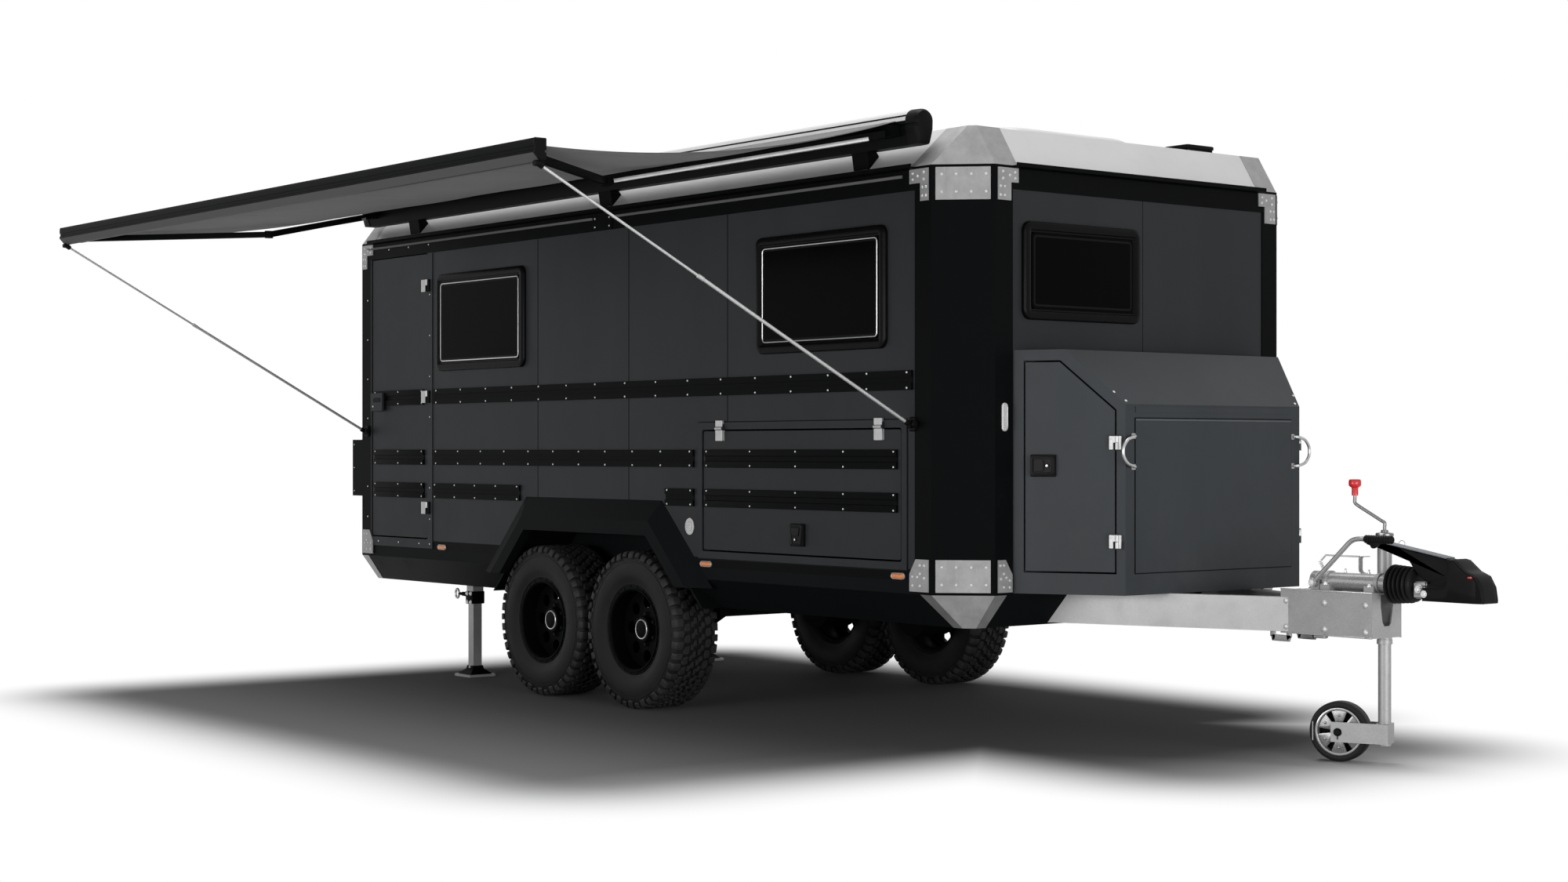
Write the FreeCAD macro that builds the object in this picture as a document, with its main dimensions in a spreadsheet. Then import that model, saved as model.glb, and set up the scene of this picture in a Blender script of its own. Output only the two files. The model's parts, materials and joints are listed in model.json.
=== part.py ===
import FreeCAD, Part
import math
import os

import Sketcher

# Twin-axle off-road camper trailer with its awning out, in millimetres.
# The origin is the centre of the coupling's ball socket. +X is the way of travel, +Y is to the left
# and +Z is up. Every size below is a cell of the document's spreadsheet.

SIZES = {
    # Stance
    "hitch_height": 725,
    "hitch_to_body": 1975,
    "body_width": 2236,
    "side_length": 5082,
    "corner_cut": 192,
    # Heights above the ground
    "skirt_bottom": 537,
    "skirt_break": 683,
    "floor_top": 790,
    "wall_top": 2545,
    "roof_rise": 177,
    # Body panels
    "wall_thickness": 40,
    "floor_thickness": 50,
    "skirt_thickness": 15,
    "skirt_side_tuck": 135,
    "skirt_end_tuck": 100,
    "tucked_corner": 40,
    "roof_side_slope": 163,
    "roof_end_slope": 112,
    "roof_corner": 26,
    "seam_width": 4,
    "seam_depth": 3,
    "seam_one": 1460,
    "seam_two": 2291,
    "seam_three": 3144,
    # Windows, measured back from the front end of the side
    "window_low": 1761,
    "window_high": 2310,
    "window_length": 935,
    "front_window_start": 288,
    "rear_window_start": 3261,
    "nose_window_inner": 31,
    "nose_window_width": 735,
    "nose_window_low": 1880,
    "tail_window_width": 900,
    "window_corner": 40,
    "window_ring": 48,
    "window_stand": 22,
    "window_lap": 18,
    "pane_thickness": 6,
    "pane_recess": 6,
    # Doors
    "door_start": 4316,
    "door_width": 645,
    "door_low": 806,
    "door_high": 2438,
    "hatch_start": 200,
    "hatch_arch_gap": 32,
    "hatch_low": 828,
    "hatch_high": 1402,
    "door_gap": 8,
    "door_corner": 12,
    "trim_thickness": 5,
    "door_trim_front": 60,
    "door_trim_rear": 9,
    "door_trim_low": 60,
    "hatch_trim": 42,
    "hinge_stand": 14,
    "hinge_pin_radius": 7,
    "hinge_height": 66,
    "hinge_low": 979,
    "hinge_middle": 1617,
    "hinge_high": 2256,
    "hatch_hinge_inset": 140,
    "hinge_leaf": 44,
    "hinge_leaf_thickness": 4,
    "hinge_pin_inset": 5,
    "door_handle_start": 4800,
    "door_handle_length": 140,
    "door_handle_low": 1543,
    "door_handle_height": 105,
    "door_handle_stand": 16,
    "hatch_latch_start": 869,
    "hatch_latch_length": 92,
    "hatch_latch_low": 869,
    "hatch_latch_height": 99,
    "latch_stand": 14,
    "door_rail_inset": 32,
    "hatch_rail_inset": 20,
    # Lashing rails
    "rail_height": 86,
    "rail_thickness": 12,
    "rail_slot": 26,
    "rail_slot_depth": 7,
    "rail_high": 1617,
    "rail_middle": 1270,
    "rail_low": 1079,
    "rail_hatch_gap": 75,
    "rail_door_gap": 76,
    "rail_corner_gap": 16,
    "rail_arch_rear_gap": 55,
    "rail_arch_front_gap": 37,
    # Top rail and gutter
    "top_band": 102,
    "top_band_thickness": 5,
    "gutter_reach": 32,
    "gutter_height": 24,
    "gutter_wall": 4,
    "band_joint_start": 2433,
    "band_joint_length": 174,
    "band_joint_stand": 4,
    # Lamps on the body's foot
    "lamp_height": 758,
    "side_lamp_length": 90,
    "side_lamp_tall": 28,
    "side_lamp_stand": 12,
    "front_lamp_start": 172,
    "rear_lamp_start": 4105,
    "lamp_arch_gap": 8,
    "tail_lamp_low": 695,
    "tail_lamp_tall": 90,
    "tail_lamp_inner": 600,
    "tail_lamp_width": 210,
    "tail_lamp_stand": 22,
    # Corner plates
    "plate_thickness": 5,
    "corner_flange": 104,
    "plate_margin": 12,
    "plate_height": 141,
    "bracket_wing": 134,
    "bracket_arm_height": 62,
    "bracket_arm_side": 52,
    "bracket_arm_end": 78,
    "foot_wing_end": 97,
    "foot_wing_low": 77,
    "foot_wing_notch": 40,
    "cap_thickness": 3,
    "cap_wing_high": 70,
    "cap_wing_low": 55,
    "roof_cap_wing": 135,
    # Chassis and drawbar
    "chassis_rail_middle": 530,
    "chassis_rail_width": 60,
    "chassis_rail_height": 180,
    "chassis_tail": 60,
    "crossmember_width": 60,
    "crossmember_height": 70,
    "beam_width": 55,
    "beam_wall": 6,
    "beam_top": 690,
    "beam_height": 145,
    "beam_head_lap": 60,
    "beam_wall_gap": 20,
    "head_length": 475,
    "head_front": 430,
    "head_width": 192,
    "head_bottom": 540,
    "head_plate": 8,
    "head_cheek": 48,
    "head_top_start": 60,
    "head_notch_top": 50,
    "head_notch_foot": 22,
    "head_notch_rise": 48,
    "head_notch_bevel": 6,
    "head_notch_step": 14,
    # Overrun gear and coupling, measured from the ball
    "ball_radius": 25.1,
    "socket_skirt": 20,
    "shaft_height": 38,
    "shaft_radius": 35,
    "shaft_start": 797,
    "shaft_collar": 26,
    "shaft_foot_length": 50,
    "shaft_foot_half": 46,
    "shaft_foot_height": 26,
    "shaft_foot_rear": 60,
    "shaft_foot_front": 110,
    "bellows_rear": 402,
    "bellows_front": 275,
    "bellows_radius": 81,
    "bellows_valley": 64,
    "bellows_folds": 5,
    "coupling_width": 112,
    "handle_width": 52,
    "socket_rise": 5,
    "yoke_front": 214,
    "yoke_half": 34,
    "yoke_low": 12,
    "yoke_high": 52,
    # Handbrake
    "lever_side": 62,
    "lever_pivot_back": 760,
    "lever_pivot_height": 30,
    "lever_radius": 10,
    "lever_bend_forward": 205,
    "lever_bend_rise": 190,
    "grip_length": 135,
    "grip_radius": 17,
    "lever_tail": 202.5,
    "lever_boss_radius": 18,
    "lever_boss_half": 8,
    "lever_pin_radius": 6,
    "lever_pin_slip": 0.1,
    "lever_pin_reach": 12,
    "lever_cheek_half": 20,
    "lever_cheek_width": 6,
    "lever_cheek_gap": 1,
    "lever_cheek_height": 46,
    # Jockey wheel
    "jockey_back": 545,
    "jockey_side": 136,
    "jockey_tube_radius": 30,
    "jockey_tube_wall": 3,
    "jockey_tube_top": 955,
    "jockey_tube_bottom": 500,
    "jockey_inner_top": 670,
    "jockey_inner_bottom": 178,
    "jockey_wheel_radius": 127,
    "jockey_wheel_width": 76,
    "jockey_trail": 185,
    "jockey_turn": 22.5,
    "jockey_cap": 8,
    "jockey_clamp_half": 34,
    "jockey_clamp_low": 110,
    "jockey_clamp_high": 30,
    "crank_cap_lap": 6,
    "crank_cap_height": 14,
    "crank_reach": 125,
    "crank_stem": 45,
    "crank_rise": 130,
    "crank_radius": 7,
    "crank_post": 40,
    "knob_foot": 36,
    "knob_neck": 72,
    "knob_low": 66,
    "knob_top": 104,
    "knob_small": 13,
    "knob_large": 26,
    "fork_pin_radius": 12,
    "fork_pin_length": 50,
    "fork_pin_slip": 0.1,
    "fork_pin_hole": 60,
    "fork_top_gap": 0.5,
    "fork_socket_drop": 50,
    "fork_gap": 6,
    "fork_plate": 6,
    "fork_toe": 30,
    "fork_half": 42,
    "castor_axle_radius": 10,
    "castor_axle_slip": 0.1,
    "castor_rim": 84,
    "castor_inner": 77,
    "castor_hub": 33.5,
    "castor_web": 26,
    "castor_hub_inset": 6,
    "castor_lip": 4,
    "castor_round": 8,
    "castor_shoulder": 10,
    # Road wheels
    "wheel_radius": 401.5,
    "wheel_width": 265,
    "rim_radius": 216,
    "wheel_one_back": 2246,
    "wheel_spacing": 844,
    "wheel_reach": 1140,
    "hub_face_inset": 72,
    "hub_radius": 62,
    "hub_length": 70,
    "disc_inset": 32,
    "disc_thickness": 14,
    "rim_width": 196,
    "rim_drop": 22,
    "rim_lip": 8,
    "rim_hole_count": 8,
    "rim_hole_ring": 138,
    "rim_hole_radius": 32,
    "rim_ring_gap": 6,
    "rim_ring_thickness": 8,
    "rim_ring_lap": 14,
    "tyre_bulge_rise": 95,
    "shoulder_inset": 12,
    "lug_count": 30,
    "lug_depth": 12,
    "lug_seat": 1,
    "lug_root": 10,
    "lug_end_inset": 16,
    "lug_top_share": 0.34,
    "lug_foot_share": 0.4,
    "spindle_radius": 25,
    "spindle_slip": 0.05,
    "spindle_inset": 8,
    "arch_forward": 38,
    "arch_opening": 1130,
    "arch_opening_top": 885,
    "arch_top": 1060,
    "arch_length": 1260,
    "arch_lip_top": 958,
    "arch_lip_length": 1170,
    "arch_bottom": 640,
    "arch_reach": 60,
    "well_depth": 340,
    "well_clear": 30,
    "well_thickness": 10,
    # Axles
    "axle_forward": 210,
    "axle_beam": 80,
    "axle_height": 505,
    "arm_thickness": 34,
    "drum_radius": 125,
    "drum_inset": 85,
    "arm_well_gap": 20,
    "arm_tail": 50,
    "arm_toe": 30,
    "arm_above": 40,
    "arm_below": 45,
    # Rear legs
    "leg_back": 4269,
    "leg_side": 830,
    "leg_housing": 70,
    "leg_inner": 56,
    "leg_housing_bottom": 420,
    "leg_crank_height": 470,
    "leg_crank_length": 60,
    "leg_crank_radius": 11,
    "leg_inner_top": 480,
    "leg_foot": 170,
    "leg_foot_thickness": 14,
    "leg_cap": 6,
    # Front locker
    "locker_depth": 433,
    "locker_rear_half": 816,
    "locker_front_half": 572,
    "locker_bottom": 690,
    "locker_top": 1745,
    "locker_front_top": 1508,
    "locker_flat": 199,
    "locker_wall": 25,
    "locker_door_rear": 55,
    "locker_door_front": 450,
    "locker_door_low": 789,
    "locker_door_high": 1690,
    "locker_door_slope_end": 1480,
    "locker_door_slope_start": 208,
    "locker_hinge_low": 920,
    "locker_hinge_high": 1342,
    "locker_panel_half": 512,
    "locker_panel_low": 785,
    "locker_panel_high": 1446,
    "locker_strip_low": 1473,
    "locker_strip_height": 26,
    "locker_panel_stand": 4,
    "locker_latch_start": 85,
    "locker_latch_length": 103,
    "locker_latch_low": 1200,
    "locker_latch_height": 88,
    "grab_side": 525,
    "grab_bulge": 90,
    "grab_stand": 18,
    "grab_low": 1239,
    "grab_height": 132,
    "grab_drop": 26,
    "grab_radius": 7,
    # Rear locker
    "tail_locker_depth": 326,
    "tail_locker_half": 940,
    "tail_locker_low": 1030,
    "tail_locker_high": 1375,
    "tail_locker_cut": 60,
    # Awning
    "case_start": 150,
    "case_length": 4850,
    "case_clear": 37,
    "case_lap": 33,
    "case_radius": 51,
    "case_round_height": 104,
    "case_waist": 60,
    "case_foot": 27,
    "case_cap_length": 75,
    "case_bracket_width": 110,
    "case_bracket_foot": 20,
    "case_bracket_heel": 75,
    "awning_reach": 3000,
    "lead_length": 4815,
    "lead_start": 175,
    "lead_drop": 108,
    "lead_height": 88,
    "lead_depth": 55,
    "lead_lip": 30,
    "fabric_thickness": 6,
    "fabric_sag": 78,
    "fabric_root_height": 110,
    "fabric_end_drop": 25,
    "fabric_lead_inset": 40,
    "arm_width": 28,
    "arm_height": 30,
    "arm_root_inset": 80,
    "arm_root_height": 55,
    "arm_elbow_inset": 800,
    "arm_elbow_rise": 45,
    "arm_hand_rise": 25,
    "arm_hand_inset": 110,
    "arm_hand_gap": 20,
    "arm_knuckle_radius": 22.4,
    "arm_knuckle_lap": 4,
    "arm_root_half": 45,
    "arm_root_depth": 30,
    "arm_root_below": 20,
    "arm_root_above": 30,
    "arm_hand_half": 35,
    "arm_hand_below": 18,
    "arm_hand_above": 16,
    "strut_radius": 8,
    "strut_base_height": 1424,
    "strut_base_start": 111,
    "strut_rear_shift": 40,
    "strut_stand": 8,
    "strut_lead_inset": 25,
    "strut_block_half": 16,
    "strut_block_depth": 10,
    "strut_block_tall": 24,
    "strut_lug_half": 12,
    "strut_lug_depth": 14,
    "strut_lug_height": 18,
    # On the roof
    "unit_length": 780,
    "unit_half": 460,
    "unit_height": 88,
    "unit_front": 240,
    "unit_edge": 90,
    "small_box_front": 200,
    "small_box_length": 150,
    "small_box_inner": 740,
    "small_box_width": 190,
    "small_box_height": 78,
    "vent_start": 2650,
    "vent_length": 420,
    "vent_half": 210,
    "vent_height": 45,
    # General running clearance
    "slip_gap": 0.3,
}

doc = FreeCAD.newDocument("camper_trailer")
sheet = doc.addObject("Spreadsheet::Sheet", "sizes")
for row, (alias, number) in enumerate(SIZES.items(), start=1):
    sheet.set(f"A{row}", alias)
    sheet.set(f"B{row}", str(number))
    sheet.setAlias(f"B{row}", alias)
doc.recompute()


class Size:
    """A size known both as a number and as the sheet expression that gives it."""

    def __init__(self, number, text):
        self.number = number
        self.text = text

    def __add__(self, other):
        other = as_size(other)
        return Size(self.number + other.number, f"({self.text} + {other.text})")

    def __radd__(self, other):
        return as_size(other) + self

    def __sub__(self, other):
        other = as_size(other)
        return Size(self.number - other.number, f"({self.text} - {other.text})")

    def __rsub__(self, other):
        return as_size(other) - self

    def __mul__(self, other):
        other = as_size(other)
        return Size(self.number * other.number, f"({self.text} * {other.text})")

    def __rmul__(self, other):
        return as_size(other) * self

    def __truediv__(self, other):
        other = as_size(other)
        return Size(self.number / other.number, f"({self.text} / {other.text})")

    def __neg__(self):
        return Size(-self.number, f"(0 - {self.text})")


def as_size(value):
    """Take a plain number as a size."""
    return value if isinstance(value, Size) else Size(value, f"({value})")


class Sizes:
    """The cells of the sheet by name."""

    def __getattr__(self, name):
        return Size(float(sheet.get(name)), f"sizes.{name}")


d = Sizes()


def slope_angle(rise, run):
    """The angle in degrees whose tangent is rise over run."""
    return Size(math.degrees(math.atan2(rise.number, run.number)), f"(atan({rise.text} / {run.text}) / 1 deg)")


def cosine(angle):
    return Size(math.cos(math.radians(angle.number)), f"cos({angle.text} * 1 deg)")


# Places worked out from the driving sizes
ground = -d.hitch_height
front = -d.hitch_to_body
rear = front - d.side_length
nose = front + d.corner_cut
tail = rear - d.corner_cut
side = d.body_width / 2
axle_one = front - d.wheel_one_back
axle_two = axle_one - d.wheel_spacing
roof_top = d.wall_top + d.roof_rise
arch_middle = (axle_one + axle_two) / 2 + d.arch_forward
wheel_middle = d.wheel_reach - d.wheel_width / 2
hatch_foot_on_arch = d.arch_top - d.hatch_low + d.hatch_trim
hatch_rear = arch_middle + d.arch_length / 2 + hatch_foot_on_arch + d.hatch_trim + d.hatch_arch_gap
case_middle = side - d.case_lap
case_out = case_middle + d.case_radius
lead_low = d.wall_top - d.lead_drop
case_low = d.wall_top + (d.case_lap + d.case_foot) * d.roof_rise / d.roof_side_slope + d.case_clear


def up(height):
    """The Z of a height above the ground."""
    return height - d.hitch_height


def back(distance):
    """The X of a distance behind the front end of the sides."""
    return front - distance


def bind(thing, **values):
    """Tie properties of an object to sheet expressions."""
    for name, value in values.items():
        value = as_size(value)
        setattr(thing, name, value.number)
        thing.setExpression(name, value.text)


def place(thing, x=0, y=0, z=0):
    """Tie an object's position to sheet expressions."""
    for axis, value in (("x", x), ("y", y), ("z", z)):
        thing.setExpression(f"Placement.Base.{axis}", as_size(value).text)


def box(name, x, y, z):
    """A block between two X, two Y and two Z places."""
    block = doc.addObject("Part::Box", name)
    bind(block, Length=x[1] - x[0], Width=y[1] - y[0], Height=z[1] - z[0])
    place(block, x[0], y[0], z[0])
    return block


TURNS = {
    "X": FreeCAD.Rotation(FreeCAD.Vector(0, 1, 0), 90),
    "Y": FreeCAD.Rotation(FreeCAD.Vector(1, 0, 0), -90),
    "Z": FreeCAD.Rotation(),
}


def cylinder(name, axis, centre, radius, low, high):
    """A round bar along an axis, from low to high on it; centre gives the other two places."""
    bar = doc.addObject("Part::Cylinder", name)
    bind(bar, Radius=radius, Height=high - low)
    bar.Placement = FreeCAD.Placement(FreeCAD.Vector(), TURNS[axis])
    if axis == "X":
        place(bar, low, centre[0], centre[1])
    elif axis == "Y":
        place(bar, centre[0], low, centre[1])
    else:
        place(bar, centre[0], centre[1], low)
    return bar


def outline_sketch(body, name, plane, points, offset):
    """A closed polygon on one of the body's origin planes, each corner tied to the sheet."""
    sketch = body.newObject("Sketcher::SketchObject", name)
    base = [item for item in body.Origin.OriginFeatures if item.Role == f"{plane}_Plane"]
    sketch.AttachmentSupport = [(base[0], "")]
    sketch.MapMode = "FlatFace"
    points = [(as_size(x), as_size(y)) for x, y in points]
    count = len(points)
    for index in range(count):
        here = points[index]
        after = points[(index + 1) % count]
        start = FreeCAD.Vector(here[0].number, here[1].number, 0)
        end = FreeCAD.Vector(after[0].number, after[1].number, 0)
        sketch.addGeometry(Part.LineSegment(start, end), False)
    joins = [Sketcher.Constraint("Coincident", i, 2, (i + 1) % count, 1) for i in range(count)]
    spots = []
    for index, (x, y) in enumerate(points):
        spots.append(Sketcher.Constraint("DistanceX", -1, 1, index, 1, x.number))
        spots.append(Sketcher.Constraint("DistanceY", -1, 1, index, 1, y.number))
    sketch.addConstraint(joins + spots)
    for index, (x, y) in enumerate(points):
        sketch.setExpression(f"Constraints[{count + 2 * index}]", x.text)
        sketch.setExpression(f"Constraints[{count + 2 * index + 1}]", y.text)
    sketch.setExpression("AttachmentOffset.Base.z", as_size(offset).text)
    return sketch


def profile(name, plane, points, low, high, rounds=None):
    """An outline padded from low to high along the plane's normal, with its long edges rounded."""
    body = doc.addObject("PartDesign::Body", name)
    offset = -as_size(high) if plane == "XZ" else low
    sketch = outline_sketch(body, f"{name}_outline", plane, points, offset)
    pad = body.newObject("PartDesign::Pad", f"{name}_pad")
    pad.Profile = sketch
    bind(pad, Length=as_size(high) - as_size(low))
    body.Tip = pad
    if rounds is not None:
        round_long_edges(body, pad, plane, rounds)
    return body


def round_long_edges(body, pad, plane, rounds):
    """Fillet the pad's edges that run along its length."""
    doc.recompute()
    along = {"XY": "z", "XZ": "y", "YZ": "x"}[plane]
    names = []
    for index, edge in enumerate(pad.Shape.Edges, start=1):
        way = edge.tangentAt(edge.FirstParameter)
        if abs(getattr(way, along)) > 0.999:
            names.append(f"Edge{index}")
    fillet = body.newObject("PartDesign::Fillet", f"{body.Name}_rounds")
    fillet.Base = (pad, names)
    bind(fillet, Radius=rounds)
    body.Tip = fillet


def panel(name, plane, across, along, low, high, rounds=None):
    """A rectangular profile from two pairs of places."""
    points = [(across[0], along[0]), (across[1], along[0]), (across[1], along[1]), (across[0], along[1])]
    return profile(name, plane, points, low, high, rounds)


def loft(name, plane, first, second):
    """A straight-sided loft between two outlines, each given as (points, place along the normal)."""
    body = doc.addObject("PartDesign::Body", name)
    flip = -1 if plane == "XZ" else 1
    start = outline_sketch(body, f"{name}_start", plane, first[0], flip * as_size(first[1]))
    end = outline_sketch(body, f"{name}_end", plane, second[0], flip * as_size(second[1]))
    feature = body.newObject("PartDesign::AdditiveLoft", f"{name}_loft")
    feature.Profile = start
    feature.Sections = [end]
    feature.Ruled = True
    body.Tip = feature
    return body


def turned(name, points):
    """A body turned about the Y axis through the origin; points are (radius, y) pairs."""
    body = doc.addObject("PartDesign::Body", name)
    sketch = outline_sketch(body, f"{name}_outline", "XY", points, 0)
    turn = body.newObject("PartDesign::Revolution", f"{name}_turn")
    turn.Profile = sketch
    turn.ReferenceAxis = (sketch, ["V_Axis"])
    turn.Angle = 360
    body.Tip = turn
    return body


def moved(name, thing, x=0, y=0, z=0, turn=None):
    """A copy of a shape in a new place, tied to the sheet, turned about Z by an angle."""
    link = doc.addObject("Part::Compound", name)
    link.Links = [thing]
    place(link, x, y, z)
    if turn is not None:
        link.Placement = FreeCAD.Placement(link.Placement.Base, FreeCAD.Rotation(FreeCAD.Vector(0, 0, 1), 1))
        place(link, x, y, z)
        link.setExpression("Placement.Rotation.Angle", turn.text)
    return link


def cut(name, base, tools):
    """The base less all the tools."""
    result = doc.addObject("Part::Cut", name)
    result.Base = base
    result.Tool = tools[0] if len(tools) == 1 else fuse(f"{name}_tools", tools)
    return result


def fuse(name, parts):
    """One solid of parts that touch or overlap."""
    if len(parts) == 1:
        return parts[0]
    result = doc.addObject("Part::MultiFuse", name)
    result.Shapes = parts
    return result


def overlap(name, base, tool):
    """What two shapes share."""
    result = doc.addObject("Part::Common", name)
    result.Base = base
    result.Tool = tool
    return result


def mirrored(name, thing):
    """The same shape on the other side of the trailer's middle plane."""
    result = doc.addObject("Part::Mirroring", name)
    result.Source = thing
    result.Normal = FreeCAD.Vector(0, 1, 0)
    return result


def group(name, parts):
    """Separate solids that share a sub-part."""
    result = doc.addObject("Part::Compound", name)
    result.Links = parts
    return result


SUBPARTS = []


def finish(node, thing):
    """Give a finished sub-part its name."""
    thing.Label = node
    SUBPARTS.append(thing)
    return thing


def both_sides(node, thing):
    """A sub-part made of a shape and its mirror image."""
    return finish(node, group(f"{thing.Name}_pair", [thing, mirrored(f"{thing.Name}_other", thing)]))


# Outlines seen from above

def plan(inset_side, inset_end, corner):
    """The body's eight-sided plan, drawn in at the sides and the ends, with its own corner cut."""
    y = side - inset_side
    x = nose - inset_end
    w = tail + inset_end
    return [
        (x - corner, -y), (x, corner - y), (x, y - corner), (x - corner, y),
        (w + corner, y), (w, y - corner), (w, corner - y), (w + corner, -y),
    ]


def inner_plan(inset_side, inset_end, corner, wall):
    """The plan one wall thickness further in, with the corner's wall as thick as the rest."""
    mitre = wall * (2 - math.sqrt(2))
    return plan(inset_side + wall, inset_end + wall, corner - mitre)


def arch_outline(length, top, bottom):
    """The six-sided arch with sides at 45 degrees, as seen from the side."""
    half = length / 2
    fall = top - bottom
    return [
        (arch_middle - half - fall, up(bottom)), (arch_middle + half + fall, up(bottom)),
        (arch_middle + half, up(top)), (arch_middle - half, up(top)),
    ]


# The body

def well_outline(extra):
    """The wheel well's outline, outside the arch's opening by an amount."""
    grow = extra * math.tan(math.pi / 8) * 2
    return arch_outline(d.arch_opening + grow, d.arch_opening_top + extra, d.skirt_bottom - d.well_clear)


def well_block(name, extra, low, high):
    return profile(name, "XZ", well_outline(extra), low, high)


def window_hole(name, x, z, low, high):
    return panel(name, "XZ", x, z, low, high, d.window_corner)


def side_windows():
    """The two windows of a side as (rear, front) places of the frame's outside."""
    starts = (d.front_window_start, d.rear_window_start)
    return [(back(start + d.window_length), back(start)) for start in starts]


def make_floor():
    slab = profile("floor_slab", "XY", plan(0, 0, d.corner_cut), up(d.floor_top - d.floor_thickness), up(d.floor_top))
    wells = [well_block("floor_well_right", d.well_clear + d.well_thickness, -side, d.well_depth - side)]
    wells.append(mirrored("floor_well_left", wells[0]))
    return finish("floor_panel", cut("floor_cut", slab, wells))


def make_skirt():
    """The band under the floor and the slanted skirt below it, open underneath."""
    top = up(d.floor_top - d.floor_thickness)
    band = profile("skirt_band", "XY", plan(0, 0, d.corner_cut), up(d.skirt_break), top)
    low_plan = plan(d.skirt_side_tuck, d.skirt_end_tuck, d.tucked_corner)
    slant = loft("skirt_slant", "XY", (low_plan, up(d.skirt_bottom)), (plan(0, 0, d.corner_cut), up(d.skirt_break)))
    wall = d.skirt_thickness
    inner_band = profile("skirt_band_inside", "XY", inner_plan(0, 0, d.corner_cut, wall), up(d.skirt_break), top)
    inner_low = inner_plan(d.skirt_side_tuck, d.skirt_end_tuck, d.tucked_corner, wall)
    inner_top = inner_plan(0, 0, d.corner_cut, wall)
    inner_slant = loft("skirt_slant_inside", "XY", (inner_low, up(d.skirt_bottom)), (inner_top, up(d.skirt_break)))
    outside = fuse("skirt_outside", [band, slant])
    inside = fuse("skirt_inside", [inner_band, inner_slant])
    extra = d.well_clear + d.well_thickness
    well = well_block("skirt_well_right", extra, -side, d.well_depth - side)
    beam_cut = beam_solid("skirt_beam_gap", d.slip_gap)
    tools = [inside, well, mirrored("skirt_well_left", well), beam_cut, mirrored("skirt_beam_gap_left", beam_cut)]
    return finish("hull_skirt", cut("skirt_cut", outside, tools))


def make_wells():
    """The inner wheel wells, open to the road and to the side."""
    outer = well_block("well_outer", d.well_clear + d.well_thickness, -side, d.well_depth - side)
    inner = well_block("well_inner", d.well_clear, -side, d.well_depth - side - d.well_thickness)
    floor_line = box("well_bottom", (back(d.side_length), front), (-side, as_size(0)), (ground, up(d.skirt_bottom)))
    return both_sides("wheel_wells", cut("well_right", outer, [inner, floor_line]))


def make_arches():
    """The wide flare over each pair of wheels, falling at 45 degrees at both ends."""
    seat = arch_outline(d.arch_length, d.arch_top, d.arch_bottom)
    lip = arch_outline(d.arch_lip_length, d.arch_lip_top, d.arch_bottom)
    flare = loft("arch_flare", "XZ", (seat, -side), (lip, -side - d.arch_reach))
    opening = profile("arch_opening", "XZ", arch_outline(d.arch_opening, d.arch_opening_top, d.arch_bottom - 100),
                      -side - 2 * d.arch_reach, -side + d.arch_reach)
    return both_sides("wheel_arches", cut("arch_right", flare, [opening]))


def seams(name, y_low, y_high):
    """Shallow grooves where the side's panels meet."""
    grooves = []
    for index, distance in enumerate((d.seam_one, d.seam_two, d.seam_three)):
        x = back(distance)
        half = d.seam_width / 2
        z = (up(d.floor_top), up(d.wall_top - d.top_band))
        grooves.append(box(f"{name}_{index}", (x - half, x + half), (y_low, y_high), z))
    return grooves


def hatch_edges(extra):
    x = (hatch_rear - extra, back(d.hatch_start) + extra)
    z = (up(d.hatch_low) - extra, up(d.hatch_high) + extra)
    return x, z


def door_edges(extra):
    x = (back(d.door_start + d.door_width) - extra, back(d.door_start) + extra)
    z = (up(d.door_low) - extra, up(d.door_high) + extra)
    return x, z


def side_cuts(name):
    """Everything that is cut from the right side wall, apart from the entrance."""
    low = -side
    high = d.wall_thickness - side
    cuts = []
    for index, (x0, x1) in enumerate(side_windows()):
        lap = d.window_lap
        z = (up(d.window_low) + lap, up(d.window_high) - lap)
        cuts.append(window_hole(f"{name}_window_{index}", (x0 + lap, x1 - lap), z, low, high))
    x, z = hatch_edges(d.door_gap)
    cuts.append(panel(f"{name}_hatch", "XZ", x, z, low, high, d.door_corner))
    cuts.append(well_block(f"{name}_arch", d.well_clear + d.well_thickness, low, high))
    cuts += seams(f"{name}_seam", low, low + d.seam_depth)
    return cuts


def make_side_walls():
    span = (rear, front)
    height = (up(d.floor_top), up(d.wall_top))
    slab = box("side_slab", span, (-side, d.wall_thickness - side), height)
    common = cut("side_common", slab, side_cuts("side"))
    x, z = door_edges(d.door_gap)
    entrance = panel("entrance_hole", "XZ", x, z, -side, d.wall_thickness - side, d.door_corner)
    finish("wall_right", cut("side_right", common, [entrance]))
    finish("wall_left", mirrored("side_left", common))


def nose_window():
    """The Y places of the window frame in the right half of the front wall."""
    return -d.nose_window_inner - d.nose_window_width, -d.nose_window_inner


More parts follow.
